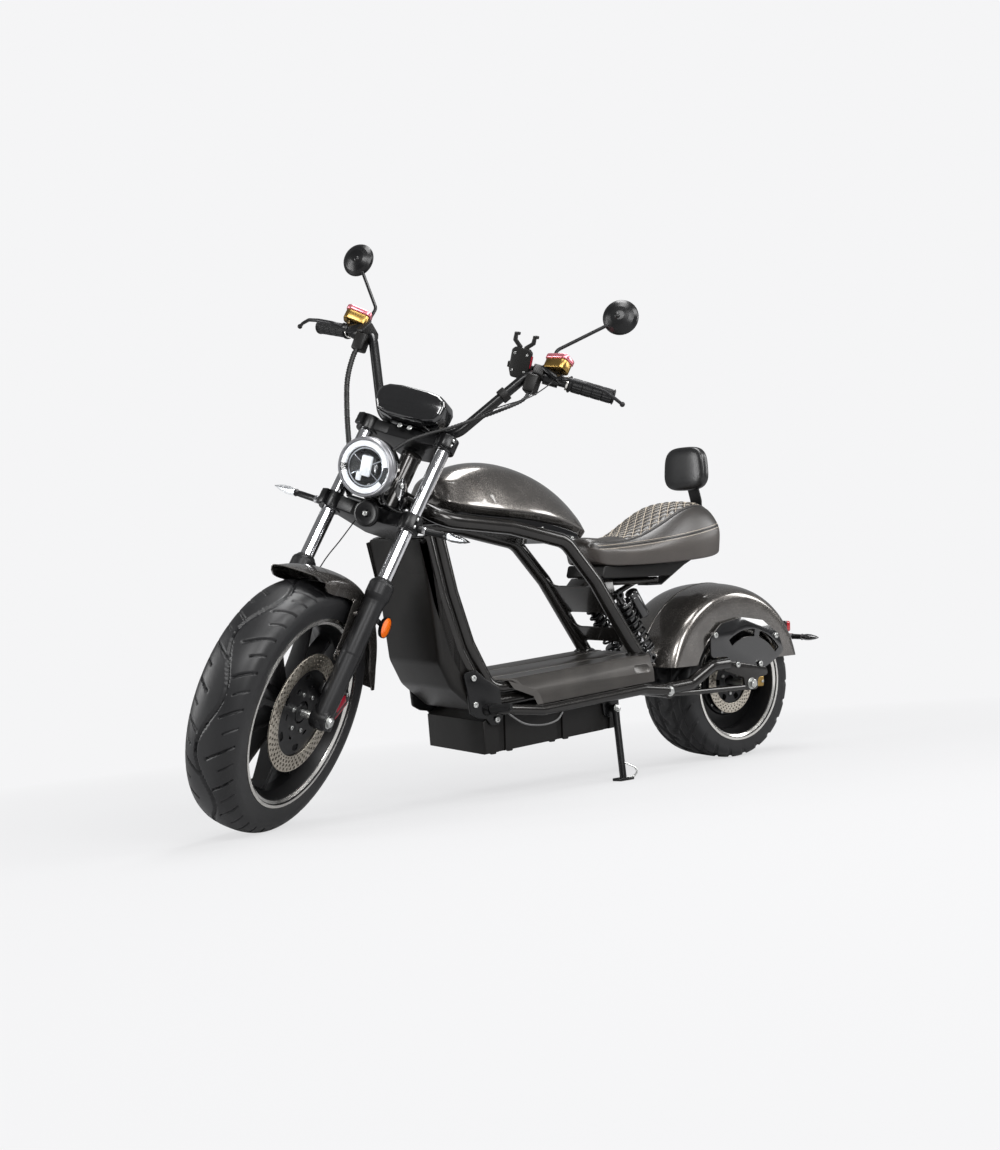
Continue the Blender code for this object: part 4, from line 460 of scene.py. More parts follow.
def slab(outline, low, high, plane=XZ_PLATE, corner=0.0, edge=0.0008, segments=2):
    """A plate: its outline pulled from low to high along the plane's normal, with broken edges."""
    bm = bmesh.new()
    points = rounded([(u, w, low) for u, w in outline], corner, True, 5)
    face = bm.faces.new([bm.verts.new(point) for point in points])
    made = bmesh.ops.extrude_face_region(bm, geom=[face])["geom"]
    top = [item for item in made if isinstance(item, bmesh.types.BMVert)]
    bmesh.ops.translate(bm, vec=(0, 0, high - low), verts=top)
    bmesh.ops.recalc_face_normals(bm, faces=bm.faces)
    if edge:
        rims = [item for item in bm.edges if abs(item.verts[0].co.z - item.verts[1].co.z) < 1e-7]
        bevelled(bm, rims, edge, segments)
    bmesh.ops.transform(bm, matrix=plane, verts=bm.verts)
    return bm


def box(size, edge=0.002, segments=2):
    bm = bmesh.new()
    bmesh.ops.create_cube(bm, size=1)
    bmesh.ops.scale(bm, vec=size, verts=bm.verts)
    bevelled(bm, bm.edges[:], edge, segments)
    return bm


def gathered(rows):
    """One bmesh of several: rows are (bmesh, matrix) or a bmesh that stays where it is, also repeated."""
    made = bmesh.new()
    meshes = {}
    for row in rows:
        shape, place = row if isinstance(row, tuple) else (row, FLAT)
        if id(shape) not in meshes:
            meshes[id(shape)] = (bpy.data.meshes.new("part"), shape)
            shape.to_mesh(meshes[id(shape)][0])
        before = len(made.verts)
        made.from_mesh(meshes[id(shape)][0])
        made.verts.ensure_lookup_table()
        bmesh.ops.transform(made, matrix=place, verts=made.verts[before:])
    for mesh, shape in meshes.values():
        bpy.data.meshes.remove(mesh)
        shape.free()
    return made


def applied(thing):
    """The shape that an object's modifiers give it, as a bmesh; the object goes."""
    result = bmesh.new()
    done = thing.evaluated_get(bpy.context.evaluated_depsgraph_get())
    result.from_mesh(bpy.data.meshes.new_from_object(done))
    bpy.data.objects.remove(thing, do_unlink=True)
    return result


def carved(solid, rows):
    """The solid with the shapes of the rows taken out of it; all the bmeshes are used up."""
    things = []
    for bm in (solid, gathered(rows)):
        bmesh.ops.recalc_face_normals(bm, faces=bm.faces)
        things.append(linked("carving", bm))
    step = things[0].modifiers.new("cut", "BOOLEAN")
    step.operation = "DIFFERENCE"
    step.object = things[1]
    result = applied(things[0])
    bpy.data.objects.remove(things[1], do_unlink=True)
    return result


def piece(name, shape, place, body, surface, replaces=(), crease=35):
    """Puts a bmesh, or a list of rows as gathered() takes them, in the scene as one piece of a body."""
    bm = gathered(shape) if isinstance(shape, list) else shape
    bmesh.ops.transform(bm, matrix=place, verts=bm.verts)
    bmesh.ops.recalc_face_normals(bm, faces=bm.faces)
    made = linked(name, bm)
    mesh = made.data
    mesh.materials.append(surface)
    mesh.shade_smooth()
    mesh.set_sharp_from_angle(angle=math.radians(crease))
    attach(made, body)
    if replaces:
        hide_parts(*replaces)
    print(f"{name}: {len(mesh.polygons)} faces")
    return made


def dressed(node, surface, width):
    """A CAD node's own shape, merged, with its edges broken by a bevel."""
    source = frame["nodes"][node]
    bm = bmesh.new()
    bm.from_mesh(source.data)
    bmesh.ops.transform(bm, matrix=source.matrix_world, verts=bm.verts)
    bmesh.ops.remove_doubles(bm, verts=bm.verts, dist=0.00002)
    bmesh.ops.dissolve_limit(bm, angle_limit=math.radians(1), verts=bm.verts, edges=bm.edges)
    made = piece(f"{node}_dressed", bm, FLAT, source["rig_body"], surface)
    edges = made.modifiers.new("broken edges", "BEVEL")
    edges.width = width
    edges.segments = 2
    edges.limit_method = "ANGLE"
    edges.angle_limit = math.radians(30)
    edges.harden_normals = True
    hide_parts(node)
    return made


def prism(radius, depth, sides=6, place=FLAT):
    """An upright prism about its middle."""
    bm = bmesh.new()
    bmesh.ops.create_cone(bm, cap_ends=True, segments=sides, radius1=radius, radius2=radius, depth=depth,
        matrix=place)
    return bm


def bolt(radius, height):
    """A cap screw's head with its seat at z = 0."""
    socket = prism(radius * 0.5, height * 1.2, place=at(0, 0, height))
    return carved(disc(radius, height, 0, 20, radius * 0.18), [socket])


def nut(radius, height):
    """A hexagon nut with a washer under it, seat at z = 0."""
    bm = prism(radius, height, place=at(0, 0, height / 2 + WASHER))
    bevelled(bm, bm.edges[:], radius * 0.08)
    return gathered([bm, disc(radius * 1.25, WASHER, 0, 24)])

# %% [markdown]
# **Tyres.** A tyre is moulded, and its tread is a repeat of one pitch. The section is spun finely
# enough to carry the grooves, then every point of the tread sinks by the depth that the pattern has
# there: cross grooves towards each shoulder and a wave down the middle on the front tyre, and long
# V-shaped grooves with two straight ones on each side on the rear.

# %% The tyres
def groove(distance, width, depth):
    """How deep a groove is at a distance from its middle line."""
    return depth * min(1.0, max(0.0, 1.35 - abs(distance) * 2 / width) / 0.5)


def tyre(name, node, place, body, radius, width, widest, lip, lip_half, squareness, around, across,
    pattern):
    inner = lip_half - 0.006
    section = [(lip - 0.0075, -inner), (lip - 0.0075, inner), (lip + 0.0005, inner),
        (lip + 0.0005, lip_half - 0.0015)]
    for step in range(across + 1):
        angle = math.pi * step / across
        side = math.copysign(abs(math.cos(angle)) ** squareness, math.cos(angle))
        section.append((widest + (radius - widest) * math.sin(angle) ** squareness, width / 2 * side))
    section += [(lip + 0.0005, 0.0015 - lip_half), (lip + 0.0005, -inner)]
    bm = hollow(section, around)
    for vert in bm.verts:
        reach = math.hypot(vert.co.x, vert.co.y)
        if reach < widest:
            continue
        around_at = math.atan2(vert.co.y, vert.co.x) / math.tau
        sink = pattern(around_at, vert.co.z)
        edge = min(1.0, (reach - widest) / (0.3 * (radius - widest)))
        share = 1 - sink * edge / reach
        vert.co = (vert.co.x * share, vert.co.y * share, vert.co.z * (1 - 0.3 * sink * edge / width))
    return piece(name, bm, place, body, RUBBER, (node,), crease=60)


def near(value):
    """Distance of a repeat's phase from its nearest whole number."""
    return abs(value - round(value))


def front_tread(around_at, side):
    pitches, reach = 21, math.tau * FRONT_RADIUS
    depth = 0.0
    spread = abs(side) / 0.062
    half = 0.5 if side > 0 else 0.0
    sweep = around_at * pitches + half + 0.5 * spread
    if (0.1 if round(sweep) % 3 == 0 else 0.34) < spread < 1.02:
        depth = groove(near(sweep) * reach / pitches, 0.0056, 0.005)
    if 0.6 < spread < 1.02:
        depth = max(depth, groove(near(sweep + 0.5) * reach / pitches, 0.0044, 0.0036))
    wave = 0.021 * math.sin(math.tau * around_at * pitches / 3)
    return max(depth, groove(side - wave, 0.006, 0.005))


def rear_tread(around_at, side):
    pitches, reach = 22, math.tau * REAR_RADIUS
    spread = abs(side) / 0.09
    half = 0.5 if side > 0 else 0.0
    sweep = around_at * pitches + half + 1.7 * spread
    depth = groove(near(sweep) * reach / pitches * 0.42, 0.0062, 0.0045) if spread > 0.1 else 0.0
    for line in (0.03, 0.064):
        depth = max(depth, groove(abs(side) - line, 0.0058, 0.0045))
    return depth


FRONT_LIP, REAR_LIP = (0.2325, 0.066), (0.174, 0.0976)
tyre("front_tyre_treaded", "front_tyre", FRONT_WHEEL, "front_wheel", FRONT_RADIUS - 0.0009, 0.134, 0.262,
    *FRONT_LIP, 0.78, 880, 88, front_tread)
tyre("rear_tyre_treaded", "rear_tyre", REAR_WHEEL, "rear_wheel", REAR_RADIUS, 0.195, 0.2, *REAR_LIP, 0.62,
    680, 92, rear_tread)

# %% [markdown]
# **Front wheel.** A cast rim in black lacquer, its outermost edge machined bright in two steps. Five
# pairs of thin spokes run from the hub, each pair opening towards the rim. The brake disc is a
# ground steel ring bored with rows of holes, on a black carrier with slots and six bolts.

# %% Front rim, spokes and hub
def barrel(lip, half, outside, inside, middle=()):
    """A rim's section: its outside from the left lip to the right one, then its inside back again."""
    beads = [(lip, half - 0.0045), (lip - 0.008, half - 0.005), (lip - 0.0085, outside[0]), outside[1:]]
    return even(beads) + even([(lip - 0.0005, -half), *inside], middle)


outer = (0.04, 0.213, 0.03)
inner = [(0.2255, -FRONT_LIP[1]), (0.224, -0.061), (0.215, -0.0565), (0.204, -0.026)]
hub = even([(0.0105, 0.05), (0.03, 0.05), (0.037, 0.042)])
rows = [hollow(barrel(*FRONT_LIP, outer, inner, [(0.202, 0.0)]), 120, 0.0015), hollow(hub, 64, 0.003)]


def blade(start, end, start_size, end_size):
    """A spoke between (radius, degrees) points; sizes are (width, depth)."""
    bm = bmesh.new()
    bmesh.ops.create_cube(bm, size=1)
    bmesh.ops.subdivide_edges(bm, edges=[edge for edge in bm.edges
        if abs(edge.verts[0].co.x - edge.verts[1].co.x) > 0.5], cuts=6, use_grid_fill=True)
    for vert in bm.verts:
        share = vert.co.x + 0.5
        radius = start[0] + (end[0] - start[0]) * share
        angle = math.radians(start[1] + (end[1] - start[1]) * share)
        flare = 1 + 0.9 * max(0.0, abs(share - 0.5) * 2 - 0.72)
        wide = (start_size[0] + (end_size[0] - start_size[0]) * share) * flare
        deep = start_size[1] + (end_size[1] - start_size[1]) * share
        along = Vector((math.cos(angle), math.sin(angle), 0))
        across = Vector((-math.sin(angle), math.cos(angle), 0))
        vert.co = along * radius + across * (vert.co.y * wide) + Vector((0, 0, vert.co.z * deep))
    rims = [edge for edge in bm.edges if edge.calc_face_angle(0) > 0.8]
    bevelled(bm, rims, 0.0018)
    return bm


for pair in range(5):
    middle = -90 + pair * 72
    for side in (-1, 1):
        arm = blade((0.033, middle + side * 9), (0.2055, middle + side * 17), (0.016, 0.052), (0.013, 0.03))
        rows.append(arm)
piece("front_rim_cast", rows, FRONT_WHEEL, "front_wheel", WHEEL_BLACK, ("front_rim",))


def bright_lip(name, radius, half, place, body):
    """The machined edge of a rim on both sides: a flat ring, a fine black step, then a sloping ring."""
    rows = []
    for side in (1, -1):
        face = half + 0.0004
        ring = hollow([(radius + 0.0004, side * (face - 0.0035)), (radius + 0.0002, side * face),
            (radius - 0.0066, side * face), (radius - 0.007, side * (face - 0.003))], 160)
        step = hollow([(radius - 0.0088, side * (half - 0.0036)), (radius - 0.0155, side * (half - 0.0074)),
            (radius - 0.017, side * (half - 0.011)), (radius - 0.01, side * (half - 0.008))], 160)
        rows += [ring, step]
    piece(name, rows, place, body, MACHINED)


bright_lip("front_rim_lip", *FRONT_LIP, FRONT_WHEEL, "front_wheel")
DISC_SIDES, CARRIER_FACE = (0.0585, 0.0625), 0.0565


def polar(radius, angle, height=0.0):
    return at(*on_circle(radius, angle), height)


def drilled_disc(outer, inner, low, high, rows, steps=128):
    """A brake ring with rows of (radius, hole radius, count, first angle)."""
    ring = hollow([(outer, high), (outer, low), (inner, low), (inner, high)], steps, 0.0006)
    drill = prism(1, 0.02, 12)
    holes = []
    for radius, size, count, first in rows:
        for index in range(count):
            place = polar(radius, first + 360 * index / count, (low + high) / 2)
            holes.append((drill, place @ Matrix.Diagonal((size, size, 1, 1))))
    return carved(ring, holes)


drilled = drilled_disc(0.145, 0.106, *DISC_SIDES,
    [(0.139, 0.0037, 50, 0), (0.1292, 0.0038, 50, 3.6), (0.1194, 0.0035, 50, 0), (0.111, 0.0026, 50, 3.6)])
piece("front_disc_drilled", drilled, FRONT_WHEEL, "front_wheel", DISC_STEEL, ("front_disc",))

slots = []
for index in range(6):
    for reach, size in ((0.088, (0.026, 0.013, 0.03)), (0.066, (0.012, 0.009, 0.03))):
        place = turn(index * 60 + (30 if reach < 0.08 else 0), "Z") @ at(reach, 0, 0.058)
        slots.append((box(size, 0.004, 2), place @ Matrix.Diagonal((0.6, 1.9, 1, 1))))
carrier = hollow([(0.028, CARRIER_FACE), (0.06, CARRIER_FACE), (0.112, 0.0582), (0.112, 0.056),
    (0.06, 0.0505), (0.028, 0.0505)], 96)
rows = [carved(carrier, slots)]
cap = lathe([(0.0, 0.06), (0.019, 0.06), (0.024, 0.0555), (0.024, 0.05), (0.0, 0.05)], 48, bend=0.001)
rows.append(cap)
piece("front_disc_carrier", rows, FRONT_WHEEL, "front_wheel", WHEEL_BLACK)
button = bolt(0.0055, 0.0045)
rows = [(button, polar(0.047, 60 * index + 10, CARRIER_FACE)) for index in range(6)]
piece("front_disc_bolts", rows, FRONT_WHEEL, "front_wheel", ZINC)

# %% [markdown]
# **Rear wheel.** The rim is a fat drum around a hub motor. Its lip has two machined rings with a black
# step between them. The motor's cover is a dished plate with ribs and a ring of screws, and a smaller
# drilled disc sits on its left side.

# %% Rear rim, motor and disc
inner = [(0.167, -REAR_LIP[1]), (0.1655, -0.0926), (0.1565, -0.0881), (0.146, -0.051)]
motor = [(0.0095, 0.046), (0.03, 0.046), (0.034, 0.0425), (0.086, 0.0405), (0.092, 0.044), (0.1005, 0.0435),
    (0.104, 0.036), (0.1465, 0.028), (0.1465, -0.034), (0.104, -0.052), (0.1, -0.06), (0.09, -0.0625),
    (0.034, -0.06), (0.03, -0.063), (0.0095, -0.063)]
rows = [hollow(barrel(*REAR_LIP, (0.066, 0.156, 0.055), inner), 112, 0.0015), hollow(motor, 112, 0.002)]
fin = box((0.052, 0.0045, 0.006), 0.0015)
for index in range(18):
    for height in (0.0425, -0.0615):
        rows.append((fin, turn(20 * index + 5, "Z") @ at(0.063, 0, height)))
piece("rear_rim_cast", rows, REAR_WHEEL, "rear_wheel", WHEEL_BLACK, ("rear_rim",))
bright_lip("rear_rim_lip", *REAR_LIP, REAR_WHEEL, "rear_wheel")
drilled = drilled_disc(0.095, 0.066, *DISC_SIDES,
    [(0.0905, 0.0026, 36, 0), (0.0835, 0.0028, 36, 5), (0.076, 0.0025, 36, 0), (0.07, 0.002, 30, 4)], 96)
piece("rear_disc_drilled", drilled, REAR_WHEEL, "rear_wheel", DISC_STEEL, ("rear_disc",))
slots = [(box((0.018, 0.018, 0.03), 0.005), turn(60 * index, "Z") @ at(0.052, 0, 0.058))
    for index in range(6)]
carrier = hollow([(0.02, CARRIER_FACE), (0.046, CARRIER_FACE), (0.072, 0.058), (0.072, 0.056),
    (0.046, 0.0465), (0.02, 0.0465)], 80)
piece("rear_disc_carrier", carved(carrier, slots), REAR_WHEEL, "rear_wheel", DARK_STEEL)
button, screw = bolt(0.0048, 0.004), bolt(0.004, 0.0035)
rows = [(button, polar(0.036, 60 * index + 30, CARRIER_FACE)) for index in range(6)]
for index in range(12):
    rows.append((screw, polar(0.0955, 30 * index + 15, 0.0436)))
    rows.append((screw, polar(0.0955, 30 * index + 15, -0.0615) @ turn(180, "X")))
piece("rear_wheel_screws", rows, REAR_WHEEL, "rear_wheel", ZINC)

# %% [markdown]
# **Fork.** Two chromed stanchions slide into cast lower legs, which swell at their seals and end in a
# lug that holds the axle. Two clamps tie the stanchions to the steering stem. Each clamp is one
# forging with a slit and pinch bolts at its rings.

# %% Stanchions, lower legs and axle
LOWER, TOP = (-0.026, 0.018), (0.205, 0.243)
for side, word in SIDES:
    leg = at(FORK_OFFSET, side * LEG_HALF, 0)
    chrome = lathe([(0, 0.247), (0.015, 0.247), (0.018, 0.243), (0.018, -0.222), (0, -0.222)], 56)
    piece(f"stanchion_{word}_chromed", chrome, FORK @ leg, "fork", CHROME, (f"stanchion_{word}",))
    sleeve = hollow([(FORK_BORE, -0.1665), (0.0262, -0.1665), (0.0296, -0.17), (0.0315, -0.176),
        (0.0315, -0.203), (0.03, -0.2105), (0.0268, -0.22), (0.026, -0.23), (0.0258, -0.36),
        (0.025, -0.365), (0.025, -0.465), (0.024, -0.52), (0.022, -0.543), (0.015, -0.5545),
        (0, -0.556), (0, -0.227), (FORK_BORE, -0.227)], 56, 0.0015)
    lug = hollow(even([(0.0103, 0.021), (0.0225, 0.021), (0.024, 0.0185)]), 40)
    rows = [sleeve, (lug, at(0, 0, -FORK_DROP) @ turn(90, "X"))]
    pinch = slab([(-0.04, -0.546), (0.004, -0.552), (0.008, -0.508), (-0.034, -0.514)], -0.019, 0.019,
        corner=0.008, edge=0.003)
    rows.append(pinch)
    rib = slab([(-0.028, -0.52), (-0.022, -0.44), (-0.024, -0.38), (-0.01, -0.36), (0.004, -0.45),
        (0.0, -0.53)], -0.006, 0.006, corner=0.01, edge=0.002)
    rows.append(rib)
    piece(f"slider_{word}_cast", rows, FORK @ leg, "fork", FORK_GREY, (f"slider_{word}",))
    seal = hollow([(0.0181, -0.16), (0.0215, -0.16), (0.0245, -0.164), (0.0245, -0.1668),
        (0.0181, -0.1668)], 48)
    piece(f"dust_seal_{word}", seal, FORK @ leg, "fork", GRIP_RUBBER)
across = LEG_HALF + 0.03
rod = lathe(even([(0, across), (0.0075, across), (0.01, across - 0.004)]), 36)
rows = [rod]
for side in (1, -1):
    rows.append((nut(0.0135, 0.006), at(0, 0, side * (LEG_HALF + 0.0213))
        @ turn(0 if side > 0 else 180, "X")))
piece("front_axle_nuts", rows, FRONT_WHEEL, "fork", ZINC, ("front_axle",))


def clamp(name, node, low, high, waist):
    """One fork clamp: a waisted bridge between two slit rings."""
    half = LEG_HALF
    outline = even([(FORK_OFFSET - 0.022, -half), (-0.03, -0.045), (-0.034, -0.02)]) + even(
        [(FORK_OFFSET + 0.02, half), (FORK_OFFSET + waist, 0.05)])
    bridge = slab(outline, low + 0.003, high - 0.003, FLAT, 0.012, 0.003, segments=3)
    rows = []
    for side in (1, -1):
        place = at(FORK_OFFSET, side * half, 0)
        rows.append((hoop(FORK_BORE, 0.0285, high, low, 48, 0.0015), place))
        ear = box((0.016, 0.022, high - low - 0.006), 0.002)
        rows.append((ear, place @ turn(side * 25, "Z") @ at(0.03, 0, (low + high) / 2)))
    holes = [(disc(FORK_BORE, high + 0.01, low - 0.01, 48), at(FORK_OFFSET, side * half))
        for side in (1, -1)]
    rows.append(carved(bridge, holes))
    if name.startswith("lower"):
        rows.append(disc(0.012, 0.204, low + 0.004, 32))
    else:
        rows.append((nut(0.02, 0.01), at(0, 0, high - 0.0035)))
    piece(name, rows, FORK, "fork", SATIN_BLACK, (node,))
    rows = []
    head = bolt(0.0048, 0.005)
    for side in (1, -1):
        for height in (low + 0.012, high - 0.012):
            place = at(FORK_OFFSET, side * half, height) @ turn(side * 25, "Z") @ at(0.03, side * 0.011, 0)
            rows.append((head, place @ outward(side)))
    piece(f"{name}_pinch_bolts", rows, FORK, "fork", ZINC)


clamp("lower_clamp_forged", "lower_clamp", *LOWER, 0.006)
clamp("top_clamp_forged", "top_clamp", *TOP, 0.01)

# %% [markdown]
# **Front fender.** A pressed sheet with a rounded crown and a rolled lip, painted as the tank is. A
# half section is swept about the axle, its ends are drawn in, and a stay on each side bolts it to the
# lower leg.

# %% Front fender
def fender_sheet(section, centre, start, end, steps, thickness, taper=None):
    """A section of (radius, y) swept about the axle; taper(share) scales how far down its sides reach."""
    bm = bmesh.new()
    angle = math.radians(start)
    verts = [bm.verts.new((centre[0] + r * math.cos(angle), y, centre[1] + r * math.sin(angle))) for r,
        y in section]
    edges = [bm.edges.new(pair) for pair in zip(verts, verts[1:])]
    bmesh.ops.spin(bm, geom=verts + edges, cent=(centre[0], 0, centre[1]), axis=(0, -1, 0),
                   angle=math.radians(end - start), steps=steps, use_merge=False)
    crown = max(radius for radius, y in section)
    if taper:
        for vert in bm.verts:
            out = Vector((vert.co.x - centre[0], vert.co.z - centre[1]))
            share = (math.degrees(math.atan2(out.y, out.x)) - start) / (end - start)
            keep = crown + (out.length - crown) * taper(share)
            vert.co.x = centre[0] + out.x / out.length * keep
            vert.co.z = centre[1] + out.y / out.length * keep
    bmesh.ops.recalc_face_normals(bm, faces=bm.faces)
    bmesh.ops.solidify(bm, geom=bm.faces[:], thickness=thickness)
    return bm


def crowned(radius, half, drop, roll, count=22):
    """A fender's section from its left lower edge over the crown: rolled lip, flank, round top."""
    points = [(radius - drop - 0.001, half - roll), (radius - drop, half)]
    for step in range(4):
        points.append((radius - drop + (drop - 0.35 * half) * (step + 1) / 5, half))
    for step in range(count + 1):
        angle = math.pi * step / count
        side = math.copysign(abs(math.cos(angle)) ** 0.92, math.cos(angle))
        points.append((radius - 0.35 * half + 0.35 * half * math.sin(angle) ** 0.8, half * side))
    return points + [(radius, -y) for radius, y in reversed(points[:6])]


axle = (FORK_OFFSET, -FORK_DROP)


def front_taper(share):
    share = min(1.0, max(0.0, share))
    corner = math.sqrt(1 - (1 - min(1.0, share / 0.2)) ** 2)
    return (0.42 + 0.58 * corner) * min(1.0, (1.04 - share) / 0.16) ** 0.6


sheet = fender_sheet(crowned(0.3405, 0.0755, 0.052, 0.004), axle, 54, 150, 56, 0.0022, front_taper)
piece("front_fender_pressed", sheet, FORK, "fork", GUNMETAL, ("front_fender",), crease=50)
rows, heads = [], []
head = bolt(0.006, 0.0045)
for side in (1, -1):
    stay = slab([(FORK_OFFSET + x, z) for x, z in ((0.04, -0.232), (-0.046, -0.236), (-0.03, -0.33),
        (-0.012, -0.385), (0.01, -0.385), (0.016, -0.33))], *sorted((side * 0.0765, side * 0.0795)),
        corner=0.012, edge=0.0007)
    rows.append(stay)
    spacer = disc(0.008, 0.0855, 0.078, 24)
    for x, z in ((FORK_OFFSET + 0.002, -0.262), (FORK_OFFSET, -0.366)):
        rows.append((spacer, at(x, 0, z) @ outward(side)))
        heads.append((head, at(x, side * 0.0765, z) @ turn(90 * side, "X")))
piece("front_fender_stays", rows, FORK, "fork", GUNMETAL)
piece("front_fender_bolts", heads, FORK, "fork", ZINC)

# %% [markdown]
# **Headlight.** A gloss black can with a plated bezel. Behind a clear domed lens sit a frosted ring
# light, a round dark reflector, an X of plated fins and a bright upright block in the middle.

# %% Headlight
EAR_FACE = 0.0785
FACE = FORK @ at(0.204, 0, 0.058) @ turn(90 + math.degrees(RAKE), "Y")
can = hollow([(0.065, -0.026), (0.0715, -0.026), (0.071, -0.04), (0.066, -0.062), (0.054, -0.08),
    (0.036, -0.09), (0.0, -0.094), (0.0, -0.09), (0.034, -0.086), (0.058, -0.06)], 96, 0.002)
foot = box((0.062, 0.046, 0.044), 0.006)
rows = [(can, FACE), (foot, FORK @ at(FORK_OFFSET + 0.02, 0, 0.0405))]
for side in (1, -1):
    ear = slab([(0.06, 0.015), (0.15, 0.04), (0.16, 0.062), (0.14, 0.085), (0.1, 0.075),
        (0.06, 0.05)], side * 0.0755, side * EAR_FACE, corner=0.012, edge=0.0007)
    rows.append((ear, FORK))
shelf = [(0.06, -EAR_FACE), (0.06, EAR_FACE), (0.086, EAR_FACE), (0.086, -EAR_FACE)]
rows.append((slab(shelf, 0.019, 0.023, FLAT, 0.004), FORK))
piece("headlight_can", rows, FLAT, "fork", GLOSS_BLACK, ("headlight",))
bezel = hollow([(0.0655, -0.004), (0.0668, 0.0012), (0.07, 0.002), (0.0722, -0.001), (0.0735, -0.006),
    (0.0735, -0.0125), (0.0722, -0.0135), (0.0722, -0.015), (0.0735, -0.016), (0.0735, -0.0255),
    (0.07, -0.0275), (0.0655, -0.026)], 120, 0.0006)
piece("headlight_bezel", bezel, FACE, "fork", BEZEL_GREY)
band = [(0.05, -0.004), (0.0515, -0.0005), (0.0625, -0.0005), (0.0645, -0.0035), (0.064, -0.009),
    (0.051, -0.009)]
rows = [(lathe(band, 70, True, 0.0008, 170), turn(102, "Z")),
    (lathe(band, 60, True, 0.0008, 130), turn(-70, "Z"))]
piece("headlight_halo", rows, FACE, "fork", LED_WHITE)
gap = hollow([(0.0502, -0.0042), (0.064, -0.0032), (0.064, -0.012), (0.0502, -0.012)], 96)
bowl = hollow([(0.0502, -0.006), (0.044, -0.016), (0.03, -0.032), (0.0, -0.04), (0.0, -0.044),
    (0.033, -0.036), (0.064, -0.012)], 96)
piece("headlight_bowl", [bowl, gap], FACE, "fork", GLOSS_BLACK)
rows = []
for angle in (55, 122, 238, 305):
    rows.append((box((0.034, 0.0024, 0.01), 0.0008), turn(angle, "Z") @ at(0.029, 0, -0.015)))
collar = hollow([(0.0445, -0.0085), (0.0475, -0.008), (0.0475, -0.011), (0.0445, -0.0125)], 96)
rows.append(collar)
piece("headlight_fins", rows, FACE, "fork", REFLECTOR)
rows = [(box((0.05, 0.0275, 0.01), 0.003), at(-0.003, 0.001, -0.009)),
        (box((0.021, 0.0125, 0.008), 0.002), at(0.0255, -0.0145, -0.0095))]
piece("headlight_leds", rows, FACE, "fork", LED_WHITE)
dome = lathe([(0.0, 0.0056), (0.024, 0.0048), (0.044, 0.0028), (0.064, -0.0008), (0.0648, -0.0024),
    (0.044, 0.0012), (0.024, 0.0032), (0.0, 0.004)], 96)
piece("headlight_lens", dome, FACE, "fork", CLEAR_LENS)
rows = [(bolt(0.007, 0.006), FORK @ at(0.14, side * EAR_FACE, 0.062) @ outward(side)) for side in (1, -1)]
piece("headlight_bolts", rows, FLAT, "fork", ZINC)

# %% [markdown]
# **Handlebar.** One steel tube rises from its risers, sweeps out and comes back to the grips. The
# grips are ribbed rubber with an end flange. A brake lever, a reservoir, a switch pod and a mirror
# clamp to it on each side.

# %% Bar, grips and risers
LEFT_BAR = [Vector(point) for point in ((0.03, 0, 0.268), (0.036, 0.105, 0.268), (0.048, 0.232, 0.487),
    (-0.028, 0.437, 0.514))]


def flipped(points, side):
    return [Vector((point[0], side * point[1], point[2])) for point in points]


route = flipped(LEFT_BAR[:0:-1], -1) + LEFT_BAR
piece("handlebar_tube", swept(route, 0.0127, 32, 0.055, steps=12), FORK, "fork", SATIN_BLACK,
    ("handlebar",))
OUT = (LEFT_BAR[3] - LEFT_BAR[2]).normalized()
INNER = LEFT_BAR[2]
RIB = ((0.0166, 0.01), (0.0181, 0.0112), (0.0183, 0.0238), (0.0181, 0.035), (0.0166, 0.0362))
grip_profile = [(BAR_BORE, 0.0), (0.019, 0.0), (0.0215, 0.002), (0.0215, 0.0055), (0.0176, 0.0085)]
for band in range(4):
    grip_profile += [(radius, height + band * 0.0265) for radius, height in RIB]
grip_profile += [(0.0181, 0.118), (0.02, 0.119), (0.02, 0.121), (0.016, 0.1226), (0.0, 0.123)]
rows = []
for side in (1, -1):
    start, end = flipped([INNER + OUT * 0.1002, INNER + OUT * 0.225], side)
    grip = lathe(grip_profile, 96)
    for vert in grip.verts:
        if 0.0105 < vert.co.z < 0.1165:
            swell = 1 + 0.03 * math.copysign(1, math.cos(16 * math.atan2(vert.co.y, vert.co.x) + 0.1))
            vert.co.x, vert.co.y = vert.co.x * swell, vert.co.y * swell
    rows.append((grip, FORK @ aim(start, end)))
piece("grips", rows, FLAT, "fork", GRIP_RUBBER)
rows, heads = [], []
head = bolt(0.0042, 0.004)
for side in (1, -1):
    post = box((0.028, 0.024, 0.03), 0.004)
    rows.append((post, FORK @ at(0.032, side * 0.045, 0.2585)))
    cap = hoop(BAR_BORE, 0.019, 0.012, -0.012, 32, 0.001)
    rows.append((cap, FORK @ at(0.0325, side * 0.045, 0.268) @ turn(90, "X")))
    for reach in (-0.011, 0.011):
        heads.append((head, FORK @ at(0.0325 + reach, side * 0.045, 0.2855)))
piece("bar_risers", rows, FLAT, "fork", SATIN_BLACK)
piece("riser_bolts", heads, FLAT, "fork", ZINC)

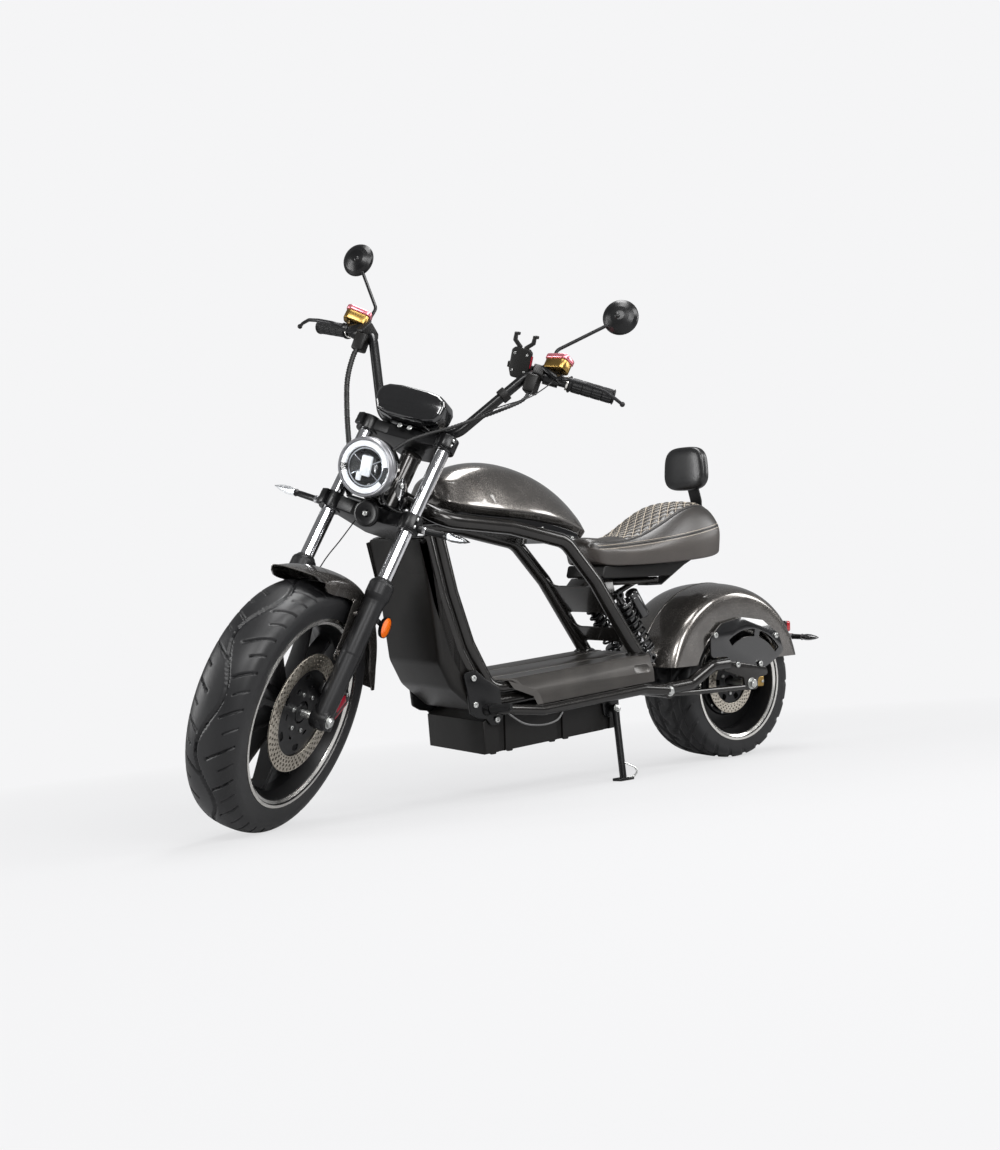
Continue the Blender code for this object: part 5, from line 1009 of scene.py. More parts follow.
# %% Levers, reservoirs and switch pods
for side, word in SIDES:
    flip = Vector((1, side, 1))
    middle = INNER + OUT * 0.055

    def beside(x, y, z):
        return (middle + Vector((x, y, z))) * flip

    aimed = aim(*flipped([middle, middle + OUT], side))
    collar = hoop(BAR_BORE, 0.0185, 0.02, -0.02, 32, 0.0012)
    rows = [(collar, aimed)]
    master = lathe(even([(0, 0.03), (0.0095, 0.03), (0.0115, 0.026)]), 28)
    rows.append((master, at(*beside(0.02, 0.004, 0.004)) @ turn(side * 68, "X") @ turn(6, "Y")))
    rows.append((box((0.024, 0.03, 0.016), 0.003), at(*beside(0.012, 0.01, 0.008)) @ turn(-side * 20, "Z")))
    rows.append((box((0.02, 0.016, 0.018), 0.003),
        at(*beside(0.024, 0.034, -0.006)) @ turn(-side * 20, "Z")))
    piece(f"brake_master_{word}", rows, FORK, "fork", SATIN_BLACK, (f"brake_control_{word}",))
    lever = [beside(0.02, 0.03, -0.006), beside(0.04, 0.06, -0.01), beside(0.034, 0.11, -0.009),
             beside(0.018, 0.15, -0.006), beside(-0.004, 0.177, -0.009), beside(-0.025, 0.195, -0.01)]
    arm = swept(lever, 0.0058, 16, 0.03, 0.0042)
    bead = bmesh.new()
    bmesh.ops.create_uvsphere(bead, u_segments=18, v_segments=12, radius=0.0068)
    piece(f"brake_lever_{word}", [arm, (bead, at(*lever[-1]))], FORK, "fork", DARK_STEEL)
    pot = beside(0.024, 0.012, 0.029)
    base = slab(oblong(0.021, 0.033), -0.017, 0.009, FLAT, 0.013, 0.002)
    lid = slab(oblong(0.0235, 0.0355), 0.0095, 0.0225, FLAT, 0.014, 0.003, segments=3)
    place = FORK @ at(*pot) @ turn(-side * 20, "Z")
    piece(f"reservoir_{word}", base, place, "fork", GOLD)
    piece(f"reservoir_lid_{word}", lid, place, "fork", ROSE)
    heads = [(bolt(0.003, 0.0015), place @ at(x, y, 0.0223)) for x, y in ((0.016, 0.027), (-0.016, -0.027))]
    piece(f"reservoir_screws_{word}", heads, FLAT, "fork", ZINC)
    start, end = flipped([INNER + OUT * 0.004, INNER + OUT * 0.03], side)
    pod = slab([(-0.022, -0.03), (0.018, -0.03), (0.022, 0.012), (0.014, 0.024), (-0.018, 0.024)], -0.014,
        0.014, FLAT, 0.007, 0.003, segments=3)
    rows = [(pod, FORK @ aim(start, end) @ at(0, 0, 0.014) @ turn(-90 if side > 0 else 90, "Z"))]
    piece(f"switch_pod_{word}", rows, FLAT, "fork", BLACK_ABS)

# %% [markdown]
# **Display.** The instrument sits in a wide gloss-black housing with soft corners, thicker at the
# front and cut back above. Its screen faces the rider and stays blank.

# %% Instrument housing
half = [(0.0, 0.044), (0.04, 0.044), (0.072, 0.04), (0.09, 0.03), (0.098, 0.012), (0.096, -0.012),
    (0.084, -0.032), (0.05, -0.04), (0.0, -0.041)]
outline = half + [(-u, w) for u, w in reversed(half[1:-1])]
shell = slab(outline, -0.038, 0.038, YZ_PLATE, 0.012, 0.013, segments=5)
rows = [(shell, at(0.1, 0, 0.287) @ turn(8)), (box((0.034, 0.07, 0.036), 0.003), at(0.067, 0, 0.262))]
rows.append(slab(even([(0.07, -0.06), (0.124, -0.036)]), 0.245, 0.25, FLAT, 0.008))
piece("instrument_housing", rows, FORK, "fork", GLOSS_BLACK, ("instrument_pod",), crease=50)
screen = slab([(-0.078, -0.02), (0.078, -0.02), (0.078, 0.026), (-0.078, 0.026)], 0.0, 0.0016, YZ_PLATE,
    0.01, 0.0005)
piece("instrument_screen", screen, FORK @ at(0.1, 0, 0.287) @ turn(8) @ at(-0.0394, 0, 0), "fork",
    MIRROR_GLASS)
rows = [(bolt(0.0065, 0.004), FORK @ at(0.1005, side * 0.014, 0.232) @ turn(90)) for side in (1, -1)]
piece("clamp_front_bolts", rows, FLAT, "fork", ZINC)

# %% [markdown]
# **Mirrors and signals.** Each mirror is a round black dish on a bent stem, its glass let into the
# rider's side. The front signals are leaf-shaped clear lenses on short black stalks and the rear ones
# are smoked.

# %% Mirrors
for side, word in SIDES:
    flip = Vector((1, side, 1))
    glass = Vector((0.027, 0.391, 0.712)) * flip
    facing = (Vector((1, 0.1, -0.25)) * flip).normalized()
    place = FORK @ aim(glass, glass + facing)
    dish = lathe([(0, 0.02), (0.012, 0.0192), (0.024, 0.0165), (0.036, 0.011), (0.044, 0.0045),
        (0.0465, -0.001), (0.0465, -0.004), (0.0445, -0.004), (0.044, -0.0015), (0.0, -0.001)], 72,
        bend=0.0008)
    stem = flipped([(0.035, 0.272, 0.5154), (0.033, 0.268, 0.575), (0.024, 0.372, 0.69),
        (0.035, 0.391, 0.712)], side)
    rows = [(dish, place), (swept(stem, 0.0045, 18, 0.02), FORK)]
    knuckle = lathe([(0, 0.016), (0.0075, 0.016), (0.0085, 0.012), (0.0085, 0.002), (0.006, 0.0), (0, 0.0)],
        24)
    rows.append((knuckle, FORK @ aim(stem[0], stem[1]) @ at(0, 0, 0.004)))
    ball = bmesh.new()
    bmesh.ops.create_uvsphere(ball, u_segments=20, v_segments=12, radius=0.0105)
    rows.append((ball, FORK @ at(*(glass + Vector((0.012, -0.004 * side, -0.006))))))
    piece(f"mirror_{word}_shell", rows, FLAT, "fork", SATIN_BLACK, (f"mirror_{word}",), crease=60)
    pane = lathe([(0, -0.0012), (0.0436, -0.0018), (0.0436, -0.0036), (0, -0.003)], 72)
    piece(f"mirror_{word}_glass", pane, place, "fork", MIRROR_GLASS)

# %% Signals
ring_side = LEG_HALF + 0.028 + 0.0006
SIGNALS = (
    ("front", FORK, "fork", (FORK_OFFSET, ring_side, -0.01), (0.077, 0.281, -0.007), CLEAR_LENS),
    ("rear", UPRIGHT, "frame", (-0.276, 0.0543, 0.352), (-0.276, 0.178, 0.352), SMOKED),
)
for (end, place, body, root, tip, lens_finish), (side, word) in product(SIGNALS, SIDES):
    name = f"{end}_signal_{word}"
    root, tip = flipped([root, tip], side)
    reach = (tip - root).length
    aimed = place @ aim(root, tip)
    stalk = lathe([(0, reach - 0.06), (0.0085, reach - 0.062), (0.01, reach - 0.066),
        (0.0075, reach - 0.072), (0.0082, reach - 0.078), (0.0082, 0.012), (0.0095, 0.009), (0.01, 0.0),
        (0, 0.0)], 28)
    piece(f"{name}_stalk", stalk, aimed, body, SATIN_BLACK, (name,))
    leaf = lathe([(0, reach), (0.003, reach - 0.004), (0.0085, reach - 0.016), (0.0135, reach - 0.034),
        (0.0145, reach - 0.048), (0.012, reach - 0.06), (0.0085, reach - 0.066), (0, reach - 0.066)], 32)
    bmesh.ops.scale(leaf, vec=(1.15, 0.7, 1), verts=leaf.verts)
    collar = hollow([(0.0085, 0.02), (0.0098, 0.0185), (0.0098, 0.0125), (0.0085, 0.011)], 28)
    piece(f"{name}_collar", collar, aimed, body, CHROME)
    piece(f"{name}_lens", leaf, aimed, body, lens_finish)
    if body == "fork":
        core = swept([(0, 0, reach - 0.063), (0, 0, reach - 0.02)], 0.0042, 12, end_radius=0.0012)
        piece(f"{name}_led_core", core, aimed, body, LED_WHITE)

# %% [markdown]
# **Brakes.** The front caliper straddles its disc behind the left leg, a black body with a red bridge.
# The rear one is gold, on a stay from the left axle hanger.

# %% Calipers
centre = (FORK_OFFSET - 0.125, 0.0605, -FORK_DROP + 0.072)
TILTED = FORK @ at(*centre) @ turn(-28)
rows = []
for side in (1, -1):
    cheek = slab(even([(-0.024, -0.042), (0.02, -0.042), (0.026, -0.02)]),
        *sorted((side * 0.0065, side * 0.0205)), corner=0.008, edge=0.003, segments=3)
    rows.append((cheek, TILTED))
hanger = slab([(-0.115, -0.02), (0.006, -0.016), (0.006, 0.014), (-0.06, 0.016), (-0.115, 0.008)],
    -0.0045, 0.0045, corner=0.006, edge=0.001)
rows.append((hanger, FORK @ at(FORK_OFFSET, LEG_HALF - 0.026 - 0.0048, -FORK_DROP + 0.076)))
piece("front_caliper_body", rows, FLAT, "fork", SATIN_BLACK, ("front_caliper",))
rows = [(box((0.012, 0.0405, 0.06), 0.002), TILTED @ at(-0.0215, 0, 0)),
    (box((0.02, 0.003, 0.044), 0.001), TILTED @ at(0, 0.0215, 0))]
piece("front_caliper_bridge", rows, FLAT, "fork", RED_PAINT)
head = bolt(0.0052, 0.005)
rows = [(head, TILTED @ at(0.006, 0.0205, side * 0.03) @ turn(-90, "X")) for side in (1, -1)]
rows += [(head, FORK @ at(FORK_OFFSET + x, LEG_HALF - 0.0258, -FORK_DROP + 0.078) @ turn(-90, "X"))
    for x in (-0.05, -0.098)]
piece("front_caliper_bolts", rows, FLAT, "fork", ZINC)

GRIP = UPRIGHT @ at(-0.095, 0.065, 0.226) @ turn(-4)
rows = []
for side in (1, -1):
    cheek = slab([(-0.032, -0.016), (0.03, -0.016), (0.032, 0.006), (0.02, 0.016), (-0.032, 0.016)],
        *sorted((side * 0.0062, side * 0.0178)), corner=0.006, edge=0.0025, segments=3)
    rows.append((cheek, GRIP))
rows.append((box((0.012, 0.03, 0.028), 0.002), GRIP @ at(-0.027, 0, 0)))
piece("rear_caliper_body", rows, FLAT, "frame", GOLD, ("rear_caliper",))
stay = slab([(-0.076, 0.216), (-0.018, 0.216), (-0.014, 0.228), (-0.018, 0.24), (-0.076, 0.24)], 0.0745,
    0.0815, corner=0.006, edge=0.001)
pin = disc(0.007, 0.1345, 0.076, 24)
piece("rear_caliper_stay", [stay, (pin, at(-0.024, 0, 0.228) @ turn(-90, "X"))], UPRIGHT,
    "frame", DARK_STEEL)
head = bolt(0.0045, 0.0045)
rows = [(head, GRIP @ at(x, 0.0178, 0) @ turn(-90, "X")) for x in (-0.022, 0.02)]
piece("rear_caliper_bolts", rows, FLAT, "frame", ZINC)

# %% [markdown]
# **Frame.** Welded round tubes in graphite powder coat. Two run back from the head under the tank and
# turn down as the rear legs, and two close pairs run down the front and back under the floor. The
# leg shield closes the gap between the pairs. Cross plates with a rounded opening tie the rear legs.

# %% Upper frame
FLOOR_FRONT, FLOOR_REAR = (0.912, 0.319), (0.412, 0.3505)
HALF = 0.11
LEG_BEND, LEG_FOOT_X = (0.585, 0.56), 0.437


def floor_z(x):
    share = (FLOOR_FRONT[0] - x) / (FLOOR_FRONT[0] - FLOOR_REAR[0])
    return FLOOR_FRONT[1] + share * (FLOOR_REAR[1] - FLOOR_FRONT[1])


def leg_point(z, behind=0.0):
    """A point on the rear legs' middle line at a height, moved behind it."""
    foot = Vector((LEG_FOOT_X, floor_z(LEG_FOOT_X)))
    along = (Vector(LEG_BEND) - foot).normalized()
    place = foot + along * ((z - foot.y) / along.y)
    return place.x - along.y * behind, place.y + along.x * behind


neck = HEAD + Matrix.Rotation(-RAKE, 3, "Y") @ Vector((-0.02, 0, 0.085))
head_tube = hollow([(0.0128, 0.2042), (0.0275, 0.2042), (0.0275, 0.192), (0.026, 0.19), (0.026, 0.034),
    (0.0275, 0.032), (0.0275, 0.0188), (0.0128, 0.0188)], 56, 0.001)
rows = [(head_tube, HEAD_FRAME)]
welds = []
for side in (1, -1):
    y = side * HALF
    route = [(neck.x, side * 0.018, neck.z), (1.085, y, 0.733), (0.877, y, 0.713), (0.69, y, 0.672),
             (LEG_BEND[0], y, LEG_BEND[1]), (LEG_FOOT_X, y, floor_z(LEG_FOOT_X) + 0.001)]
    rows.append((swept(route, 0.02, 36, 0.075, steps=12), UPRIGHT))
    foot = hollow([(0.0205, 0.006), (0.026, 0.004), (0.031, 0.0005), (0.031, -0.001), (0.0205, -0.001)], 40)
    welds.append((foot, UPRIGHT @ at(LEG_FOOT_X + 0.001, y, floor_z(LEG_FOOT_X) + 0.0008) @ turn(3.5)))
tilt = math.degrees(math.atan2(LEG_BEND[0] - LEG_FOOT_X, LEG_BEND[1] - floor_z(LEG_FOOT_X)))
for low, high, edge in ((0.47, 0.545, 0.012), (0.385, 0.425, 0.006)):
    x, z = leg_point((low + high) / 2)
    tall = (high - low) / math.cos(math.radians(tilt)) / 2
    web = slab(oblong(HALF, tall), -0.003, 0.003, YZ_PLATE, 0.0, 0.001)
    rows.append((web, UPRIGHT @ at(x, 0, z) @ turn(tilt)))
    for side in (1, -1):
        for end in (1, -1):
            corner = [(HALF - 0.018, 0), (HALF - 0.05, 0), (HALF - 0.036, end * 0.005),
                (HALF - 0.026, end * 0.014), (HALF - 0.018, end * 0.034)]
            gusset = slab([(side * u, w) for u, w in corner], -0.003, 0.003, YZ_PLATE, 0.0, 0.0008)
            rows.append((gusset, UPRIGHT @ at(x, 0, z) @ turn(tilt) @ at(0, 0, end * (tall - 0.0005))))
piece("upper_frame_tubes", rows, FLAT, "frame", GRAPHITE, ("upper_frame",))
piece("rear_leg_feet", welds, FLAT, "frame", GRAPHITE)

# %% Down tubes
PITCH_TUBES, DOWN_RADIUS = 0.0346, 0.0168


def offset_route(route, distance):
    """The (x, z) route moved sideways with mitred corners, to the right of its direction."""
    points = [Vector(point) for point in route]
    runs = [(after - before).normalized() for before, after in zip(points, points[1:])]
    moved = []
    for index, point in enumerate(points):
        before, after = runs[max(index - 1, 0)], runs[min(index, len(runs) - 1)]
        along = (before + after).normalized()
        reach = distance / along.dot(before)
        moved.append((point.x + along.y * reach, point.y - along.x * reach))
    return moved


FLOOR_SHEET, GAP = 0.006, 0.0003
seat_drop = FLOOR_SHEET + GAP + PITCH_TUBES / 2 + DOWN_RADIUS
DOWN = [(1.128, 0.7), (1.088, 0.545), (1.04, 0.41)] + [(x, floor_z(x) - seat_drop) for x in (0.965, 0.44)]
rows = []
for side in (1, -1):
    for distance in (-PITCH_TUBES / 2, PITCH_TUBES / 2):
        route = [(x, side * HALF, z) for x, z in offset_route(DOWN, distance)]
        rows.append(swept(route, DOWN_RADIUS, 32, 0.06, steps=12))
    bead = [(x, side * HALF, z) for x, z in DOWN]
    rows.append(swept(bead, 0.0062, 10, 0.06, steps=10))
for run, share in ((0, 0.12), (3, 0.35), (3, 0.93)):
    middle = Vector(DOWN[run]).lerp(Vector(DOWN[run + 1]), share)
    along = Vector(DOWN[run + 1]) - Vector(DOWN[run])
    bar = box((PITCH_TUBES + 0.004, 2 * HALF + 0.006, 0.022), 0.002)
    rows.append((bar, at(middle.x, 0, middle.y) @ turn(math.degrees(math.atan2(along.x, along.y)))))
piece("down_tube_pairs", rows, UPRIGHT, "frame", GRAPHITE, ("down_tubes",))

# %% [markdown]
# **Leg shield.** A deep panel, open behind, whose front swells forward at the knees and tucks in to
# the battery. Its side faces are flat and its front edges are generously rounded.

# %% Leg shield
behind = offset_route(DOWN, -(PITCH_TUBES / 2 + DOWN_RADIUS + GAP))[:4]
front = [(1.006, 0.24), (1.085, 0.306), (1.12, 0.372), (1.135, 0.48), (1.152, 0.6), (1.172, 0.69)]
shield = slab(behind + front, -0.1235, 0.1235, XZ_PLATE, 0.05, 0.016, segments=5)
piece("leg_shield_panel", shield, UPRIGHT, "frame", SHIELD_PAINT, ("leg_shield",), crease=50)

# %% [markdown]
# **Tank.** A pressed cover with a sharp crease low on each side, a hollow above it and a ridge on top.
# The form is skinned through rings, creased and subdivided, which gives a lacquered panel its
# unbroken highlight. A gloss black panel closes the gap to the tubes, and small screws hold it.

# %% Tank and the panel under it
TANK = (
    (1.085, 0.775, 0.79, 0.825, 0.838, 0.04, 0.07, 0.045),
    (1.04, 0.752, 0.775, 0.85, 0.868, 0.09, 0.112, 0.065),
    (0.96, 0.744, 0.765, 0.872, 0.896, 0.105, 0.132, 0.072),
    (0.86, 0.738, 0.756, 0.872, 0.899, 0.108, 0.136, 0.07),
    (0.74, 0.722, 0.742, 0.842, 0.868, 0.104, 0.13, 0.062),
    (0.64, 0.694, 0.716, 0.788, 0.812, 0.092, 0.114, 0.052),
    (0.575, 0.664, 0.684, 0.722, 0.738, 0.07, 0.088, 0.04),
)


def skinned(rings, levels, creased=()):
    """Closed rings of equal counts bridged in turn, capped, creased and subdivided."""
    bm = bmesh.new()
    crease = bm.edges.layers.float.new("crease_edge")
    loops = []
    for ring in rings:
        verts = [bm.verts.new(point) for point in ring]
        loops.append([bm.edges.new((a, b)) for a, b in zip(verts, verts[1:] + verts[:1])])
    for one, other in zip(loops, loops[1:]):
        bmesh.ops.bridge_loops(bm, edges=one + other)
    for loop in (loops[0], loops[-1]):
        bmesh.ops.edgeloop_fill(bm, edges=loop)
    for index, weight in creased:
        for one, other in zip(rings, rings[1:]):
            ends = (Vector(one[index]), Vector(other[index]))
            for edge in bm.edges:
                here = (edge.verts[0].co, edge.verts[1].co)
                if all(min((place - end).length for place in here) < 1e-5 for end in ends):
                    edge[crease] = weight
    bmesh.ops.recalc_face_normals(bm, faces=bm.faces)
    thing = linked("cage", bm)
    smooth = thing.modifiers.new("smooth", "SUBSURF")
    smooth.levels = smooth.render_levels = levels
    return applied(thing)


def cage_ring(x, half, top, bottom):
    """A ring at x: the (y, z) points up the left side, the top, the same down the right, the bottom."""
    down = [(x, -y, z) for y, z in reversed(half)]
    return [(x, y, z) for y, z in half] + [(x, 0, top)] + down + [(x, 0, bottom)]


rings = []
for x, low, side, shoulder, ridge, low_half, side_half, shoulder_half in TANK:
    waist = (0.8 * side_half, side + (shoulder - side) * 0.5)
    half = [(low_half, low), (side_half, side), waist, (shoulder_half, shoulder)]
    rings.append(cage_ring(x, half, ridge, low))
tank = skinned(rings, 3, ((0, 0.8), (1, 0.9), (7, 0.9), (8, 0.8), (3, 0.25), (5, 0.25)))
piece("tank_shell", tank, UPRIGHT, "frame", GUNMETAL, ("tank_cover",), crease=40)
dressed("tank_tray", GLOSS_BLACK, 0.0015)
head = bolt(0.0045, 0.002)
rows = []
for side in (1, -1):
    for x, z in ((1.000, 0.735), (0.905, 0.7295), (0.77, 0.708), (0.665, 0.68)):
        rows.append((head, UPRIGHT @ at(x, side * 0.11, z) @ outward(side)))
piece("tray_screws", rows, FLAT, "frame", ZINC)

# %% [markdown]
# **Battery box.** A moulded case in grained ABS with upright channels. Its corners are soft.

# %% Battery box
box_front, box_rear, box_low, BATTERY = 0.99, 0.525, 0.129, 0.1264
slope = math.tan(math.radians(3.0))
under = FLOOR_SHEET + PITCH_TUBES + 2 * DOWN_RADIUS + 0.0009
case = slab([(box_front, box_low), (box_front + 0.006, box_low + 0.086),
    (box_front - 0.04, floor_z(0.95) - under - 0.002), (box_rear, floor_z(box_rear) - under),
    (box_rear - 0.008, box_low + slope * (box_front - box_rear) + 0.02),
    (box_rear, box_low + slope * (box_front - box_rear))], -BATTERY, BATTERY, XZ_PLATE, 0.0, 0.005,
    segments=3)
channels = [(box((0.022, 0.016, 0.3), 0.003), at(x, side * BATTERY, box_low + 0.06))
            for x in (0.935, 0.74, 0.57) for side in (1, -1)]
piece("battery_case", carved(case, channels), UPRIGHT, "frame", BLACK_ABS, ("battery_box",))
rows = []
for side in (1, -1):
    for x in (0.962, 0.908, 0.7635, 0.7165):
        z = box_low + slope * (box_front - x)
        rows.append((box((0.018, 0.01, 0.01), 0.003), at(x, side * (BATTERY - 0.006), z + 0.0015)))
piece("battery_feet", rows, UPRIGHT, "frame", BLACK_ABS)

# %% [markdown]
# **Floor.** One pressed panel: a raised middle between two grooves, a sloping flank on each side and
# a lip down to the rail. Domed screws sit in the grooves, and a notch behind leaves room for a strap.

# %% Floor
top = [(0.156, -0.0775), (0.1548, -0.064), (0.1535, -0.05), (0.1485, -0.034), (0.142, -0.02),
    (0.1385, -0.004), (0.1345, 0.0), (0.0665, 0.0), (0.0645, -0.0008), (0.0625, -0.0042), (0.0555, -0.0042),
    (0.0535, -0.0008), (0.0515, 0.0)]
low = [(0.0515, -0.006), (0.13, -0.006), (0.137, -0.028), (0.1495, -0.054), (0.152, -0.0775)]
outline = top + [(-y, z) for y, z in reversed(top)] + [(-y, z) for y, z in reversed(low)] + low
rings = []
for x, rake in ((FLOOR_FRONT[0], -0.095 / 0.022), (FLOOR_REAR[0], 0.0)):
    places = [x + rake * max(0.0, abs(y) - 0.134) for y, z in outline]
    rings.append([(place, y, floor_z(place) + z) for place, (y, z) in zip(places, outline)])
bm = bmesh.new()
made = [[bm.verts.new(point) for point in ring] for ring in rings]
for index in range(len(outline)):
    after = (index + 1) % len(outline)
    bm.faces.new((made[0][index], made[0][after], made[1][after], made[1][index]))
for ring in made:
    bm.faces.new(ring)
bmesh.ops.recalc_face_normals(bm, faces=bm.faces)
pockets = [(box((0.06, 0.03, 0.03), 0.009, 3),
    at(0.455, side * 0.16, floor_z(0.455) - 0.034) @ turn(side * 20, "X")) for side in (1, -1)]
piece("floor_panel", carved(bm, pockets), UPRIGHT, "frame", FLOOR_PAINT, ("floor_plate",), crease=28)
head = lathe([(0, 0.0028), (0.0035, 0.0024), (0.0062, 0.0008), (0.0065, 0.0), (0, 0.0)], 24)
rows = []
for side in (1, -1):
    for x in (0.885, 0.67, 0.44):
        rows.append((head, at(x, side * 0.059, floor_z(x) - 0.0042) @ turn(3.6)))
piece("floor_screws", rows, UPRIGHT, "frame", DARK_STEEL)

# %% Side rails, their lugs and the foot pegs
PIVOT = (0.376, 0.243)
rail_front, bracket_face = FLOOR_FRONT[0] - 0.08, HALF + DOWN_RADIUS + 0.008 + 0.0006
end_z = floor_z(rail_front) - 0.078
rows, caps = [], []
for side, word in SIDES:
    route = [(rail_front + 0.128, side * bracket_face, end_z),
        (rail_front + 0.128, side * (bracket_face + 0.02), end_z),
        (rail_front, side * 0.168, floor_z(rail_front) - 0.092),
        (PIVOT[0] + 0.09, side * 0.168, floor_z(PIVOT[0] + 0.09) - 0.092),
        (PIVOT[0] + 0.004, side * 0.174, PIVOT[1] + 0.002)]
    rail = swept(route, 0.014, 28, 0.03, steps=8)
    lug = lathe([(0, 0.0212), (0.0195, 0.0212), (0.021, 0.0195), (0.021, 0.0), (0, 0.0)], 36)
    place = at(PIVOT[0], side * 0.1588, PIVOT[1]) @ outward(side)
    piece(f"floor_rail_{word}_tube", [rail, (lug, place)], UPRIGHT, "frame", GRAPHITE,
          (f"floor_rail_{word}",))
    caps.append((nut(0.0115, 0.006), UPRIGHT @ place @ at(0, 0, 0.0212)))
piece("pivot_nuts", caps, FLAT, "frame", ZINC)
rows = []
inner = HALF + DOWN_RADIUS + GAP
head = bolt(0.0078, 0.0055)
for side, word in SIDES:
    low_y, high_y = sorted((side * inner, side * (inner + 0.008)))
    bracket = slab([(1.06, 0.345), (1.02, 0.35), (0.985, 0.322), (0.945, 0.3), (0.94, 0.262),
        (0.935, 0.225), (0.948, 0.206), (0.975, 0.203), (0.99, 0.222), (1.015, 0.226), (1.04, 0.24),
        (1.046, 0.29)], low_y, high_y, XZ_PLATE, 0.01, 0.0015)
    rod = swept([(0.99, side * (inner + 0.003), 0.245), (0.96, side * (inner + 0.072), 0.256)], 0.0085, 24)
    collar = swept([(0.9905, side * (inner + 0.006), 0.2448), (0.9855, side * (inner + 0.018), 0.2466)],
        0.0135, 28)
    rub = swept([(0.9835, side * (inner + 0.02), 0.2472), (0.961, side * (inner + 0.07), 0.2556)], 0.011,
        28)
    piece(f"foot_peg_{word}_bracket", [bracket, rod, collar], UPRIGHT,
        "frame", SATIN_BLACK, (f"foot_peg_{word}",))
    piece(f"foot_peg_{word}_sleeve", rub, UPRIGHT, "frame", GRIP_RUBBER)
    for x, z in ((1.026, 0.262), (0.958, 0.218), (1.03, 0.33)):
        rows.append((head, at(x, side * (inner + 0.008), z) @ outward(side)))
piece("foot_peg_bolts", rows, UPRIGHT, "frame", ZINC)

# %% [markdown]
# **Seat.** Moulded foam in coated leatherette. A welt runs round the top panel, which is quilted in
# diamonds of about 40 mm. The quilting pulls the surface down along its lines, and a light thread
# shows in the furrows. The backrest is a plain rounded pad on a steel strap.

# %% Seat cushion
SEAT = (
    (0.56, 0.605, 0.655, 0.692, 0.062, 0.07), (0.48, 0.598, 0.64, 0.674, 0.094, 0.104),
    (0.38, 0.6, 0.642, 0.69, 0.118, 0.13), (0.29, 0.604, 0.655, 0.742, 0.138, 0.15),
    (0.2, 0.61, 0.68, 0.786, 0.144, 0.154), (0.12, 0.618, 0.7, 0.784, 0.138, 0.146),
    (0.085, 0.64, 0.7, 0.742, 0.118, 0.126),
)
rings = []
for x, low, side, top, low_half, side_half in SEAT:
    bolster = [(0.72 * side_half, top - 0.016), (0.42 * side_half, top - 0.004)]
    rings.append(cage_ring(x, [(low_half, low), (side_half, side)] + bolster, top, low))
cushion = skinned(rings, 5, ((0, 0.8), (8, 0.8), (1, 0.2), (7, 0.2)))
WELT, DIAMOND, SLANT = 0.62, 0.036, 1.15
QUILT_REAR, QUILT_FRONT = 0.135, 0.43


def seat_half(x):
    """Half width of the cushion at x."""
    for first, second in zip(SEAT, SEAT[1:]):
        if second[0] <= x <= first[0]:
            return second[5] + (first[5] - second[5]) * (x - second[0]) / (first[0] - second[0])
    return SEAT[0][5] if x > SEAT[0][0] else SEAT[-1][5]


def quilt(x, y):
    """How far the nearest quilting line is, in metres."""
    one, other = (x + SLANT * y) / DIAMOND, (x - SLANT * y) / DIAMOND
    return min(near(one), near(other)) * DIAMOND * 0.75


bmesh.ops.recalc_face_normals(cushion, faces=cushion.faces)
cushion.normal_update()
for vert in cushion.verts:
    if vert.normal.z < 0.25:
        continue
    x, y = vert.co.x, vert.co.y
    half = seat_half(x) * WELT
    inside = half - abs(y)
    furrow = math.exp(-((inside / 0.0035) ** 2)) * 0.003
    if inside > 0.004 and QUILT_REAR < x < QUILT_FRONT:
        fade = min(1.0, (inside - 0.004) / 0.006, (x - QUILT_REAR) / 0.01, (QUILT_FRONT - x) / 0.01)
        puff = min(1.0, quilt(x, y) / 0.011)
        furrow += (0.0022 * (1 - puff) ** 2 - 0.0008 * math.sin(puff * math.pi / 2)) * fade
    vert.co -= vert.normal * furrow
seat = piece("seat_cushion_quilted", cushion, UPRIGHT, "frame", LEATHER, ("seat_cushion",), crease=60)


def seam_height(x):
    """Height of the seam between the side panel and the bolster: low in front, high behind."""
    return 0.652 + 0.058 * min(1.0, max(0.0, (0.52 - x) / 0.42)) ** 1.5


REAR_CAP = 0.104
# Faces of the flank and front below the seam take the lighter side leatherette: a separate panel whose
# lighter tone is partly painted sheen where light falls on it. The rear cap takes black vinyl.
seat.data.materials.append(SIDE_LEATHER_WITH_PAINTED_SHEEN)
seat.data.materials.append(BLACK_VINYL)
upright = UPRIGHT.inverted()
for face in seat.data.polygons:
    spot = upright @ face.center
    side_face = abs(spot.y) > 0.55 * seat_half(spot.x) or spot.x > 0.53
    if spot.x < REAR_CAP:
        face.material_index = 2
    elif side_face and spot.z < seam_height(spot.x):
        face.material_index = 1

# %% Seat piping and thread
over_seat = BVHTree.FromPolygons([UPRIGHT.inverted() @ v.co for v in seat.data.vertices],
                                 [tuple(face.vertices) for face in seat.data.polygons])


def on_seat(x, y, lift):
    hit = over_seat.ray_cast(Vector((x, y, 1.2)), Vector((0, 0, -1)))[0]
    return hit + Vector((0, 0, lift)) if hit else None


rows = []
for side in (1, -1):
    route = [on_seat(0.095 + 0.0086 * step, side * seat_half(0.095 + 0.0086 * step) * WELT, 0.0006)
        for step in range(54)]
    route = [point for point in route if point]
    rows.append((swept(route, 0.0015, 8), UPRIGHT))
piece("seat_piping", rows, FLAT, "frame", GRIP_RUBBER)


def beside_seat(x, z, side, lift):
    """A point on the cushion's flank and the way out of it there."""
    hit, normal = over_seat.ray_cast(Vector((x, side * 0.4, z)), Vector((0, -side, 0)))[:2]
    return hit + normal * lift, normal


